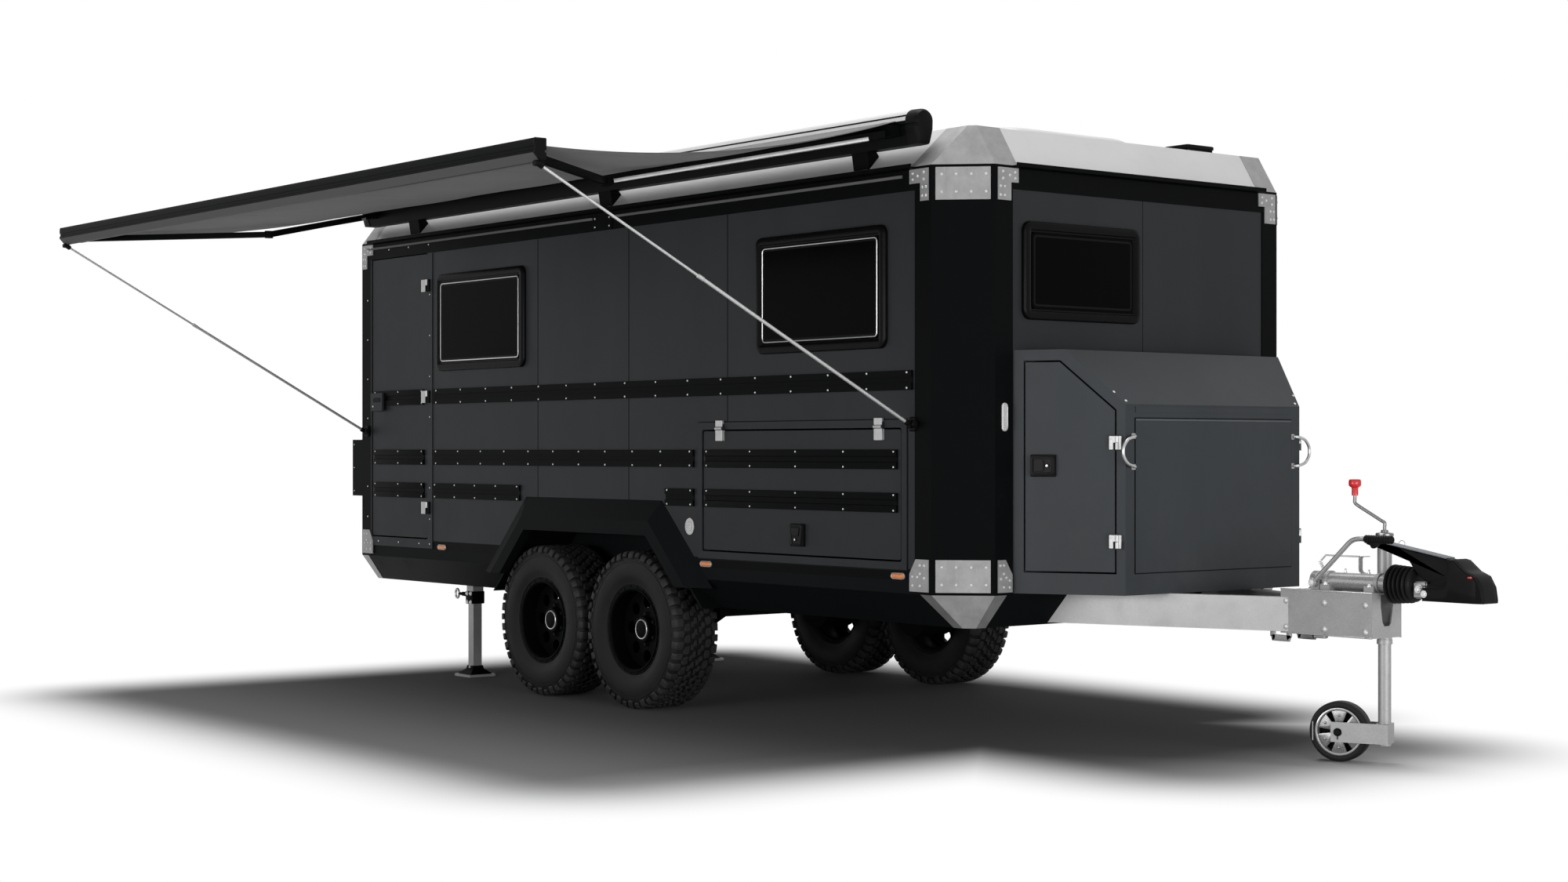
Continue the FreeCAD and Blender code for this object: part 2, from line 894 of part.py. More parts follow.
def make_end_walls():
    height = (up(d.floor_top), up(d.wall_top))
    half = side - d.corner_cut
    slab = box("nose_slab", (nose - d.wall_thickness, nose), (-half, half), height)
    lap = d.window_lap
    z = (up(d.nose_window_low) + lap, up(d.window_high) - lap)
    y0, y1 = nose_window()
    hole = panel("nose_window_hole", "YZ", (y0 + lap, y1 - lap), z, nose - d.wall_thickness, nose, d.window_corner)
    half_seam = d.seam_width / 2
    seam = box("nose_seam", (nose - d.seam_depth, nose), (-half_seam, half_seam),
               (up(d.floor_top), up(d.wall_top - d.top_band)))
    finish("wall_front", cut("nose_cut", slab, [hole, seam]))
    slab = box("tail_slab", (tail, tail + d.wall_thickness), (-half, half), height)
    y = d.tail_window_width / 2 - lap
    z = (up(d.window_low) + lap, up(d.window_high) - lap)
    hole = panel("tail_window_hole", "YZ", (-y, y), z, tail, tail + d.wall_thickness, d.window_corner)
    finish("wall_rear", cut("tail_cut", slab, [hole]))


def corner_profile(name, end, low, high):
    """A corner's slanted panel, with a thin flange that laps on to the side and the end wall."""
    way = 1 if end is front else -1
    c = d.corner_cut
    slant = d.wall_thickness * math.sqrt(2)
    core = [(end, -side), (end + way * c, c - side), (end + way * (c - slant), c - side), (end, slant - side)]
    post = profile(name, "XY", core, low, high)
    flange = profile(f"{name}_flange", "XY", flange_outline(end), up(d.skirt_break), high)
    return fuse(f"{name}_whole", [post, flange])


def flange_outline(end):
    """The strip folded round a corner, from the panels' faces out to the skin's thickness."""
    way = 1 if end is front else -1
    c = d.corner_cut
    wing = d.corner_flange
    fold = math.tan(math.pi / 8)
    runs = []
    for off in (as_size(0), d.plate_thickness):
        runs.append([
            (end - way * wing, -side - off), (end + way * (off * fold), -side - off),
            (end + way * (c + off), c - side - off * fold), (end + way * (c + off), c - side + wing),
        ])
    return runs[0] + runs[1][::-1]


def chamfer_plate(name, end, low, high):
    """The flat plate on a corner's slanted face, a margin short of both its edges."""
    way = 1 if end is front else -1
    slant = math.sqrt(0.5)
    inner = d.plate_thickness * slant
    outer = d.plate_thickness * 2 * slant
    start = d.plate_margin
    stop = d.corner_cut - d.plate_margin
    points = [
        (end + way * (start + inner), start - inner - side), (end + way * (stop + inner), stop - inner - side),
        (end + way * (stop + outer), stop - outer - side), (end + way * (start + outer), start - outer - side),
    ]
    return profile(name, "XY", points, low, high)


def top_bracket(arm):
    """The L-shaped bracket at a wall's top corner, as (distance from the corner, height below the top)."""
    margin = d.plate_margin
    return [
        (margin, 0), (d.bracket_wing, 0), (d.bracket_wing, d.bracket_arm_height),
        (margin + arm, d.bracket_arm_height), (margin + arm, d.plate_height), (margin, d.plate_height),
    ]


def foot_bracket(wing):
    """The bracket at a wall's foot with its cut upper corner, as (distance, height below its top)."""
    margin = d.plate_margin
    notch = d.foot_wing_notch
    return [
        (margin, 0), (wing - notch, 0), (wing, d.plate_height - d.foot_wing_low),
        (wing, d.plate_height), (margin, d.plate_height),
    ]


def corner_brackets(word, end, outlines, top):
    """One bracket on the side and one on the end wall, at a corner of the right side."""
    way = 1 if end is front else -1
    wall = end + way * d.corner_cut
    edge = side - d.corner_cut
    thick = d.plate_thickness
    on_side = [(end - way * u, top - v) for u, v in outlines[0]]
    on_end = [(u - edge, top - v) for u, v in outlines[1]]
    inner, outer = wall + way * thick, wall + way * thick * 2
    span = (inner, outer) if way > 0 else (outer, inner)
    return [
        profile(f"bracket_side_{word}", "XZ", on_side, -side - thick * 2, -side - thick),
        profile(f"bracket_end_{word}", "YZ", on_end, *span),
    ]


def corner_cap(name, end, lower, upper):
    """A folded cap over a slanted corner, from one drawn-in plan to another one higher up.

    Each level is (inset of the side, inset of the end, corner cut, wing, height).
    """
    way = 1 if end is front else -1
    fold = math.tan(math.pi / 8)
    levels = []
    for inset_side, inset_end, corner, wing, height in (lower, upper):
        y = inset_side - side
        x = end + way * (d.corner_cut - inset_end)
        runs = []
        for off in (as_size(0), d.cap_thickness):
            runs.append([
                (x - way * (corner + wing), y - off), (x - way * (corner - off * fold), y - off),
                (x + way * off, y + corner - off * fold), (x + way * off, y + corner + wing),
            ])
        levels.append((runs[0] + runs[1][::-1], height))
    return loft(name, "XY", levels[0], levels[1])


def make_corners():
    posts = []
    plates = []
    wall_top = up(d.wall_top)
    foot_top = up(d.skirt_break) + d.plate_margin + d.plate_height
    top_shapes = (top_bracket(d.bracket_arm_side), top_bracket(d.bracket_arm_end))
    foot_shapes = (foot_bracket(d.bracket_wing), foot_bracket(d.foot_wing_end))
    for end, word in ((front, "front"), (rear, "rear")):
        posts.append(corner_profile(f"post_{word}", end, up(d.floor_top), wall_top))
        top = wall_top - d.plate_margin
        plates.append(chamfer_plate(f"plate_{word}_top", end, top - d.plate_height, top))
        plates.append(chamfer_plate(f"plate_{word}_foot", end, foot_top - d.plate_height, foot_top))
        plates += corner_brackets(f"{word}_top", end, top_shapes, top)
        plates += corner_brackets(f"{word}_foot", end, foot_shapes, foot_top)
        plain = (0, 0, d.corner_cut, d.cap_wing_high)
        tucked = (d.skirt_side_tuck, d.skirt_end_tuck, d.tucked_corner, d.cap_wing_low)
        roof_foot = (0, 0, d.corner_cut, d.roof_cap_wing)
        sloped = (d.roof_side_slope, d.roof_end_slope, d.roof_corner, d.roof_cap_wing)
        plates.append(corner_cap(f"skirt_cap_{word}", end, (*tucked, up(d.skirt_bottom)),
                                 (*plain, up(d.skirt_break))))
        plates.append(corner_cap(f"roof_cap_{word}", end, (*roof_foot, wall_top), (*sloped, up(roof_top))))
    posts += [mirrored(f"{post.Name}_left", post) for post in posts]
    plates += [mirrored(f"{plate.Name}_left", plate) for plate in plates]
    finish("corner_posts", group("corner_post_set", posts))
    finish("corner_plates", group("corner_plate_set", plates))


def make_roof():
    base = plan(0, 0, d.corner_cut)
    top = plan(d.roof_side_slope, d.roof_end_slope, d.roof_corner)
    outside = loft("roof_outside", "XY", (base, up(d.wall_top)), (top, up(roof_top)))
    wall = d.wall_thickness
    low = inner_plan(0, 0, d.corner_cut, wall)
    high = inner_plan(d.roof_side_slope, d.roof_end_slope, d.roof_corner, wall)
    inside = loft("roof_inside", "XY", (low, up(d.wall_top)), (high, up(roof_top) - wall))
    finish("roof_shell", cut("roof_cut", outside, [inside]))


def make_top_rails():
    """The band along the top of every wall, with its gutter."""
    skin = d.top_band_thickness
    z0 = up(d.wall_top - d.top_band)
    z1 = up(d.wall_top)
    lip = d.gutter_reach
    inner_lip = lip - d.gutter_wall
    deep = d.gutter_height

    def section(face, way):
        return [
            (face, z0), (face + way * skin, z0), (face + way * skin, z1 - deep / 2),
            (face + way * lip, z1 - deep / 4), (face + way * lip, z1 + deep / 2),
            (face + way * inner_lip, z1 + deep / 2), (face + way * inner_lip, z1), (face, z1),
        ]

    flange = d.corner_flange
    band = profile("side_band", "YZ", section(-side, -1), rear + flange, front - flange)
    joint_x = back(d.band_joint_start)
    joint = box("band_joint", (joint_x - d.band_joint_length, joint_x),
                (-side - skin - d.band_joint_stand, -side - skin), (z0, z1 - deep / 2))
    right = fuse("side_band_right", [band, joint])
    half = side - d.corner_cut - flange
    nose_band = profile("nose_band", "XZ", section(nose, 1), -half, half)
    tail_band = profile("tail_band", "XZ", section(tail, -1), -half, half)
    parts = [right, mirrored("side_band_left", right), nose_band, tail_band]
    finish("top_rails", group("top_rail_set", parts))


def rail(name, x, middle, face):
    """One lashing rail: a flat bar with a slot along it, on the right side."""
    half = d.rail_height / 2
    slot = d.rail_slot / 2
    z = up(middle)
    out = face - d.rail_thickness
    points = [
        (face, z - half), (out, z - half), (out, z - slot), (out + d.rail_slot_depth, z - slot),
        (out + d.rail_slot_depth, z + slot), (out, z + slot), (out, z + half), (face, z + half),
    ]
    return profile(name, "YZ", points, *x)


def make_lashing_rails():
    behind_hatch = hatch_rear - d.rail_hatch_gap
    ahead_of_door = back(d.door_start - d.rail_door_gap)
    front_end = back(d.corner_flange + d.rail_corner_gap)
    arch_rear = arch_middle - d.arch_length / 2 - d.rail_arch_rear_gap
    arch_front = arch_middle + d.arch_length / 2 + d.rail_arch_front_gap
    runs = [
        ("rail_high", (ahead_of_door, front_end), d.rail_high),
        ("rail_middle", (ahead_of_door, behind_hatch), d.rail_middle),
        ("rail_low_rear", (ahead_of_door, arch_rear), d.rail_low),
        ("rail_low_front", (arch_front, behind_hatch), d.rail_low),
    ]
    right = [rail(f"{name}_right", x, z, -side) for name, x, z in runs]
    left_start = back(d.door_start + d.door_width)
    left = []
    for name, x, z in runs:
        span = (left_start, x[1]) if x[0] is ahead_of_door else x
        left.append(mirrored(f"{name}_left", rail(f"{name}_left_form", span, z, -side)))
    finish("lashing_rails", group("lashing_rail_set", right + left))


def window_parts(name, plane, across, height, face, way):
    """A window's ring and pane, standing out from a wall's face."""
    ring = d.window_ring
    out = face + way * d.window_stand
    span = (face, out) if way > 0 else (out, face)
    outer = panel(f"{name}_outer", plane, across, height, *span, d.window_corner)
    inside = (across[0] + ring, across[1] - ring)
    inside_z = (height[0] + ring, height[1] - ring)
    hole = panel(f"{name}_hole", plane, inside, inside_z, *span, d.window_corner / 2)
    frame = cut(f"{name}_frame", outer, [hole])
    gap = d.slip_gap
    deep = (out - way * d.pane_recess, out - way * (d.pane_recess + d.pane_thickness))
    deep = (deep[1], deep[0]) if way > 0 else deep
    pane_across = (inside[0] + gap, inside[1] - gap)
    pane_height = (inside_z[0] + gap, inside_z[1] - gap)
    pane = panel(f"{name}_pane", plane, pane_across, pane_height, *deep, d.window_corner / 2)
    return frame, pane


def make_windows():
    frames = []
    panes = []
    height = (up(d.window_low), up(d.window_high))
    for index, across in enumerate(side_windows()):
        frame, pane = window_parts(f"side_window_{index}", "XZ", across, height, -side, -1)
        frames += [frame, mirrored(f"side_window_{index}_left", frame)]
        panes += [pane, mirrored(f"side_pane_{index}_left", pane)]
    nose_height = (up(d.nose_window_low), up(d.window_high))
    frame, pane = window_parts("nose_window", "YZ", nose_window(), nose_height, nose, 1)
    frames.append(frame)
    panes.append(pane)
    half = d.tail_window_width / 2
    frame, pane = window_parts("tail_window", "YZ", (-half, half), height, tail, -1)
    frames.append(frame)
    panes.append(pane)
    finish("window_frames", group("window_frame_set", frames))
    finish("window_panes", group("window_pane_set", panes))


def make_door_frames():
    """The flat frames on the wall round the entrance and round each hatch."""
    skin = d.trim_thickness
    (x0, x1), (z0, z1) = door_edges(d.door_gap)
    outer = panel("entrance_trim_outer", "XZ", (x0 - d.door_trim_rear, x1 + d.door_trim_front - d.door_gap),
                  (z0 - d.door_trim_low + d.door_gap, up(d.wall_top - d.top_band)), -side - skin, -side)
    inner = panel("entrance_trim_inner", "XZ", (x0, x1), (z0, z1), -side - skin, -side, d.door_corner)
    entrance = cut("entrance_trim", outer, [inner])
    (x0, x1), (z0, z1) = hatch_edges(d.door_gap)
    edge = d.hatch_trim - d.door_gap
    outer = panel("hatch_trim_outer", "XZ", (x0 - edge, x1 + edge), (z0 - edge, z1 + edge), -side - skin, -side)
    inner = panel("hatch_trim_inner", "XZ", (x0, x1), (z0, z1), -side - skin, -side, d.door_corner)
    hatch = cut("hatch_trim_right", outer, [inner])
    knuckles = upright_knuckles(-1) + level_knuckles(-1)
    right = fuse("entrance_frame", [entrance] + knuckles[:3])
    hatch_right = fuse("hatch_frame", [hatch] + knuckles[3:])
    finish("door_frames", group("door_frame_set", [right, hatch_right, mirrored("hatch_frame_left", hatch_right)]))


def hinge_axis_door():
    """The X of the entrance door's hinge pins."""
    return back(d.door_start) + d.door_gap + d.hinge_pin_inset


def hinge_axis_hatch():
    """The Z of the hatches' hinge pins."""
    return up(d.hatch_high) + d.door_gap + d.hinge_pin_inset


def hinge_half(name, part, across, middle):
    """Half of a hinge drawn with its pin along Z: part -1 is on the frame, part 1 on the door.

    The first of across is the pin's place, the second the moving panel's edge, both in the wall's
    plane, and the third the height of the face that this half is screwed to. The pin stands off the
    wall at hinge_stand, and the wall's face is at zero with its outside towards -Y.
    """
    pin, edge, face = across
    half = d.hinge_height / 2
    gap = d.slip_gap / 2
    span = (middle - half, middle - gap) if part < 0 else (middle + gap, middle + half)
    pin_y = -d.hinge_stand
    barrel = cylinder(f"{name}_barrel", "Z", (pin, pin_y), d.hinge_pin_radius, *span)
    way = 1 if pin.number > edge.number else -1
    if part < 0:
        reach = pin + way * d.hinge_leaf / 2
        block = box(f"{name}_leaf", (pin, reach) if way > 0 else (reach, pin), (pin_y, face), span)
        return fuse(name, [barrel, block])
    reach = edge - way * d.hinge_leaf / 2
    block = box(f"{name}_leaf", (reach, edge) if way > 0 else (edge, reach), (pin_y, face), span)
    bridge_y = (pin_y, pin_y + d.hinge_leaf_thickness)
    bridge = box(f"{name}_bridge", (edge, pin) if way > 0 else (pin, edge), bridge_y, span)
    return fuse(name, [barrel, block, bridge])


def upright_knuckles(part):
    """The entrance door's three hinges, on the frame for part -1 and on the door for part 1."""
    face = -d.trim_thickness if part < 0 else as_size(0)
    pieces = []
    for index, height in enumerate((d.hinge_low, d.hinge_middle, d.hinge_high)):
        name = f"door_hinge_{index}_{part + 1}"
        form = hinge_half(f"{name}_form", part, (hinge_axis_door(), back(d.door_start), face), up(height))
        pieces.append(moved(name, form, 0, -side, 0))
    return pieces


def level_knuckles(part):
    """A hatch's two hinges, on the frame for part -1 and on the hatch for part 1."""
    face = -d.trim_thickness if part < 0 else as_size(0)
    pieces = []
    spots = (back(d.hatch_start + d.hatch_hinge_inset), hatch_rear + d.hatch_hinge_inset)
    for index, spot in enumerate(spots):
        name = f"hatch_hinge_{index}_{part + 1}"
        form = hinge_half(f"{name}_form", part, (hinge_axis_hatch(), up(d.hatch_high), face), as_size(0))
        pieces.append(laid_over(name, form, spot, -side))
    return pieces


def laid_over(name, thing, x, y):
    """A shape drawn with X up the wall and Z along it, turned into place at an X and a Y."""
    copy = doc.addObject("Part::Compound", name)
    copy.Links = [thing]
    copy.Placement = FreeCAD.Placement(FreeCAD.Vector(), FreeCAD.Rotation(FreeCAD.Vector(0, 1, 0), -90))
    place(copy, x, y, 0)
    return copy


def make_entrance_door():
    x, z = door_edges(as_size(0))
    leaf = panel("entrance_leaf", "XZ", x, z, -side, d.wall_thickness - side, d.door_corner)
    span = (x[0] + d.door_rail_inset, x[1] - d.door_rail_inset)
    rails = [rail(f"door_rail_{i}", span, h, -side) for i, h in enumerate((d.rail_low, d.rail_middle, d.rail_high))]
    handle_x = back(d.door_handle_start)
    handle_z = up(d.door_handle_low)
    handle = box("door_handle_plate", (handle_x - d.door_handle_length, handle_x),
                 (-side - d.rail_thickness - d.door_handle_stand, -side), (handle_z, handle_z + d.door_handle_height))
    finish("entrance_door", fuse("entrance_door_whole", [leaf] + rails + upright_knuckles(1) + [handle]))


def make_hatches():
    x, z = hatch_edges(as_size(0))
    leaf = panel("hatch_leaf", "XZ", x, z, -side, d.wall_thickness - side, d.door_corner)
    span = (x[0] + d.hatch_rail_inset, x[1] - d.hatch_rail_inset)
    rails = [rail(f"hatch_rail_{i}", span, h, -side) for i, h in enumerate((d.rail_low, d.rail_middle))]
    latch_x = back(d.hatch_latch_start)
    latch_z = up(d.hatch_latch_low)
    latch = box("hatch_latch", (latch_x - d.hatch_latch_length, latch_x), (-side - d.latch_stand, -side),
                (latch_z, latch_z + d.hatch_latch_height))
    right = fuse("hatch_whole", [leaf] + rails + level_knuckles(1) + [latch])
    finish("hatch_right", right)
    finish("hatch_left", mirrored("hatch_whole_left", right))


def make_lamps():
    """Side lamps along the floor's edge and a lamp block at each side of the tail."""
    tall = d.side_lamp_tall / 2
    z = (up(d.lamp_height) - tall, up(d.lamp_height) + tall)
    y = (-side - d.side_lamp_stand, -side)
    arch_x = arch_middle + d.arch_length / 2 + d.arch_top - d.lamp_height + tall + d.lamp_arch_gap
    ends = (back(d.front_lamp_start), arch_x + d.side_lamp_length, back(d.rear_lamp_start))
    lamps = [box(f"side_lamp_{i}", (end - d.side_lamp_length, end), y, z) for i, end in enumerate(ends)]
    inner = d.tail_lamp_inner
    low = up(d.tail_lamp_low)
    lamps.append(box("tail_lamp", (tail - d.tail_lamp_stand, tail), (-inner - d.tail_lamp_width, -inner),
                     (low, low + d.tail_lamp_tall)))
    lamps += [mirrored(f"{lamp.Name}_left", lamp) for lamp in lamps]
    finish("lamps", group("lamp_set", lamps))


# Front and rear lockers

def locker_plan(inset):
    """The locker's plan, drawn in on every side by an amount."""
    lean = (d.locker_rear_half - d.locker_front_half) / d.locker_depth
    side_shift = inset / cosine(locker_turn())
    x0 = nose + inset
    x1 = nose + d.locker_depth - inset
    y0 = d.locker_rear_half - side_shift - lean * inset
    y1 = d.locker_front_half - side_shift + lean * inset
    return [(x0, -y0), (x1, -y1), (x1, y1), (x0, y0)]


def locker_side(inset):
    """The locker seen from the side, with its sloping lid, drawn in by an amount."""
    run = d.locker_depth - d.locker_flat
    fall = d.locker_top - d.locker_front_top
    drop = inset / cosine(slope_angle(fall, run))
    z0 = up(d.locker_bottom) + inset
    z1 = up(d.locker_top) - inset
    corner_x = nose + d.locker_flat - (drop - inset) * run / fall
    front_z = up(d.locker_front_top) - drop + inset * fall / run
    x1 = nose + d.locker_depth - inset
    return [(nose, z0), (x1, z0), (x1, front_z), (corner_x, z1), (nose, z1)]


def locker_block(name, inset):
    """The locker's form: its plan and its side view at once."""
    tall = profile(f"{name}_plan", "XY", locker_plan(inset), up(d.locker_bottom) + inset, up(d.locker_top) - inset)
    wide = profile(f"{name}_side", "XZ", locker_side(inset), -d.locker_rear_half, d.locker_rear_half)
    return overlap(name, tall, wide)


def locker_turn():
    return slope_angle(d.locker_rear_half - d.locker_front_half, d.locker_depth)


def on_locker_side(name, shape):
    """Put a shape drawn with X along the locker's right side and Y inwards into its place."""
    return moved(name, shape, nose, -d.locker_rear_half, 0, locker_turn())


def locker_door_outline(extra):
    """The side door with its cut corner, widened on every side by an amount."""
    fall = d.locker_door_high - d.locker_door_slope_end
    run = d.locker_door_front - d.locker_door_slope_start
    rise = extra / cosine(slope_angle(fall, run))
    u0 = d.locker_door_rear - extra
    u1 = d.locker_door_front + extra
    return [
        (u0, up(d.locker_door_low) - extra), (u1, up(d.locker_door_low) - extra),
        (u1, up(d.locker_door_slope_end) + rise - extra * fall / run),
        (d.locker_door_slope_start + (rise - extra) * run / fall, up(d.locker_door_high) + extra),
        (u0, up(d.locker_door_high) + extra),
    ]


def locker_knuckles(part):
    """The locker door's two hinges, drawn on the locker's side."""
    pin = d.locker_door_front + d.door_gap + d.hinge_pin_inset
    pieces = []
    for index, height in enumerate((d.locker_hinge_low, d.locker_hinge_high)):
        name = f"locker_hinge_{index}_{part + 1}"
        pieces.append(hinge_half(name, part, (pin, d.locker_door_front, as_size(0)), up(height)))
    return pieces


def make_front_locker():
    outside = locker_block("locker_outside", as_size(0))
    inside = locker_block("locker_inside", d.locker_wall)
    hole = profile("locker_hole_form", "XZ", locker_door_outline(d.door_gap), -5, d.locker_wall * 2)
    right_hole = on_locker_side("locker_hole_right", hole)
    left_hole = mirrored("locker_hole_left", right_hole)
    shell = cut("locker_shell", outside, [inside, right_hole, left_hole])
    knuckles = on_locker_side("locker_frame_hinges", group("locker_hinge_set", locker_knuckles(-1)))
    face = nose + d.locker_depth
    across = (-d.locker_panel_half, d.locker_panel_half)
    raised = (face, face + d.locker_panel_stand)
    strip_low = up(d.locker_strip_low)
    front_panel = box("locker_panel", raised, across, (up(d.locker_panel_low), up(d.locker_panel_high)))
    front_strip = box("locker_strip", raised, across, (strip_low, strip_low + d.locker_strip_height))
    extras = [knuckles, mirrored("locker_frame_hinges_left", knuckles), front_panel, front_strip]
    finish("front_locker", fuse("locker_whole", [shell] + extras))
    leaf = profile("locker_leaf", "XZ", locker_door_outline(as_size(0)), 0, d.locker_wall)
    latch_x = d.locker_latch_start
    latch_z = up(d.locker_latch_low)
    latch = box("locker_latch", (latch_x, latch_x + d.locker_latch_length), (-d.latch_stand, as_size(0)),
                (latch_z, latch_z + d.locker_latch_height))
    door = fuse("locker_door_form", [leaf, latch] + locker_knuckles(1))
    right = on_locker_side("locker_door_placed", door)
    finish("locker_door_right", right)
    finish("locker_door_left", mirrored("locker_door_mirrored", right))


def grab_outline(inset):
    """A handle's bowed outline seen from the front, drawn in by an amount."""
    low = up(d.grab_low) - d.grab_radius + inset
    high = up(d.grab_low) + d.grab_height + d.grab_radius - inset
    y0 = -d.grab_side + d.grab_radius
    y1 = -d.grab_side - d.grab_bulge - d.grab_radius + inset
    drop = d.grab_drop
    return [(y0, low), (y1 + drop, low), (y1, low + drop), (y1, high - drop), (y1 + drop, high), (y0, high)]


def make_grab_handles():
    """A flat bar at each edge of the locker's front, bowed outwards from its two feet."""
    face = nose + d.locker_depth
    thick = d.grab_radius * 2
    span = (face + d.grab_stand, face + d.grab_stand + thick)
    outside = profile("grab_outside", "YZ", grab_outline(as_size(0)), *span)
    inside = profile("grab_inside", "YZ", grab_outline(thick), *span)
    parts = [cut("grab_bow", outside, [inside])]
    y = (-d.grab_side - d.grab_radius, d.grab_radius - d.grab_side)
    for index, z in enumerate((up(d.grab_low), up(d.grab_low) + d.grab_height)):
        parts.append(box(f"grab_foot_{index}", (face, span[1]), y, (z - d.grab_radius, z + d.grab_radius)))
    both_sides("grab_handles", fuse("grab_handle_right", parts))


def make_rear_locker():
    """The shallow locker on the rear wall, cut at 45 degrees along its outer edges."""
    c = d.tail_locker_cut
    x1 = tail - d.plate_thickness
    x0 = x1 - d.tail_locker_depth
    low = up(d.tail_locker_low)
    high = up(d.tail_locker_high)
    half = d.tail_locker_half
    side_view = [(x0 + c, low), (x1, low), (x1, high), (x0 + c, high), (x0, high - c), (x0, low + c)]
    long_form = profile("rear_locker_side", "XZ", side_view, -half, half)
    plan_view = [(x1, -half), (x1, half), (x0 + c, half), (x0, half - c), (x0, c - half), (x0 + c, -half)]
    tall_form = profile("rear_locker_plan", "XY", plan_view, low, high)
    finish("rear_locker", overlap("rear_locker_form", long_form, tall_form))


# Chassis and drawbar

def beam_line():
    """The drawbar beam's outer face: from the head's rear corner to the chassis rail's front corner."""
    x0 = -d.head_front - d.head_length + d.beam_head_lap
    y0 = d.head_width / 2 - d.head_plate
    x1 = front - d.beam_wall_gap
    y1 = d.chassis_rail_middle + d.chassis_rail_width / 2
    return x0, y0, x1, y1


def beam_outline(extra):
    """The right drawbar beam seen from above, widened by an amount."""
    x0, y0, x1, y1 = beam_line()
    width = d.beam_width
    return [
        (x0, -y0 - extra), (x1, -y1 - extra), (x1, width - y1 + extra), (x0, width - y0 + extra),
    ]


def beam_solid(name, extra):
    z0 = up(d.beam_top - d.beam_height) - extra
    return profile(name, "XY", beam_outline(extra), z0, up(d.beam_top) + extra)


def make_drawbar():
    """Two channel beams that meet between the head's side plates."""
    beam = beam_solid("beam_full", as_size(0))
    x0, y0, x1, y1 = beam_line()
    wall = d.beam_wall
    z0 = up(d.beam_top - d.beam_height) + wall
    z1 = up(d.beam_top) - wall
    hollow = profile("beam_hollow", "XY", [
        (x0 + 1, wall - y0), (x1 - 1, wall - y1), (x1 - 1, d.beam_width - y1 + 1), (x0 + 1, d.beam_width - y0 + 1),
    ], z0, z1)
    channel = cut("beam_channel", beam, [hollow])
    tip_x = (-d.head_front - d.head_length, -d.head_front)
    half = d.head_width / 2
    head_z = (up(d.head_bottom), as_size(0))
    plate = box("head_side_plate", tip_x, (-half, d.head_plate - half), head_z)
    inner_x = (x0 - 1, -d.head_front)
    cheek = box("head_cheek", inner_x, (d.head_plate - half, d.head_plate + d.head_cheek - half),
                (up(d.beam_top - d.beam_height), -d.head_plate))
    right = fuse("drawbar_half", [channel, plate, cheek])
    top = box("head_top_plate", (tip_x[0] + d.head_top_start, tip_x[1]), (d.head_plate - half, half - d.head_plate),
              (-d.head_plate, as_size(0)))
    whole = fuse("drawbar_whole", [right, mirrored("drawbar_half_left", right), top, head_front_plate()])
    finish("drawbar", whole)


def head_front_plate():
    """The plate across the head's front with a notch open at its top."""
    half = d.head_width / 2 - d.head_plate
    low = up(d.head_bottom)
    high = as_size(0)
    rise = low + d.head_notch_rise
    top = d.head_notch_top
    foot = d.head_notch_foot
    bevel = d.head_notch_bevel
    step = rise + d.head_notch_step
    outline = [
        (-half, low), (half, low), (half, high), (top, high), (foot + bevel, step), (foot - bevel, rise),
        (bevel - foot, rise), (-foot - bevel, step), (-top, high), (-half, high),
    ]
    return profile("head_front_plate", "YZ", outline, -d.head_front - d.head_plate, -d.head_front)


CROSSMEMBER_SHARES = (0.079, 0.295, 0.708, 0.964)


def make_chassis():
    half = d.chassis_rail_width / 2
    y = (-d.chassis_rail_middle - half, half - d.chassis_rail_middle)
    top = up(d.floor_top - d.floor_thickness)
    x = (rear - d.chassis_tail, front - d.beam_wall_gap)
    rail_right = box("chassis_rail_right", x, y, (top - d.chassis_rail_height, top))
    parts = [rail_right, mirrored("chassis_rail_left", rail_right)]
    w = d.crossmember_width / 2
    inner = d.chassis_rail_middle - half
    low = top - d.crossmember_height
    for index, share in enumerate(CROSSMEMBER_SHARES):
        x = back(d.side_length * share)
        parts.append(box(f"crossmember_{index}", (x - w, x + w), (-inner, inner), (low, top)))
    x = back(d.leg_back)
    reach = d.leg_side - d.leg_housing / 2
    parts.append(box("leg_crossmember", (x - w, x + w), (-reach, reach), (low, top)))
    for number, axle_x in enumerate((axle_one, axle_two)):
        x = axle_x + d.axle_forward
        hanger_z = (up(d.axle_height) + d.axle_beam / 2, top - d.chassis_rail_height)
        hanger = box(f"axle_hanger_{number}", (x - w, x + w), y, hanger_z)
        parts += [hanger, mirrored(f"axle_hanger_{number}_left", hanger)]
    finish("chassis_frame", fuse("chassis_whole", parts))


def make_overrun():
    """The overrun shaft's housing on the head, and the yoke that carries the coupling."""
    z = d.shaft_height
    tube = cylinder("shaft_tube", "X", (as_size(0), z), d.shaft_radius, -d.shaft_start, -d.bellows_rear)
    collar = cylinder("shaft_collar", "X", (as_size(0), z), z, -d.shaft_start, -d.shaft_start + d.shaft_collar)
    feet = []
    wide = (-d.shaft_foot_half, d.shaft_foot_half)
    for index, x in enumerate((-d.shaft_start + d.shaft_foot_rear, -d.bellows_rear - d.shaft_foot_front)):
        feet.append(box(f"shaft_foot_{index}", (x, x + d.shaft_foot_length), wide, (as_size(0), d.shaft_foot_height)))
    finish("overrun_shaft", fuse("shaft_whole", [tube, collar] + feet))


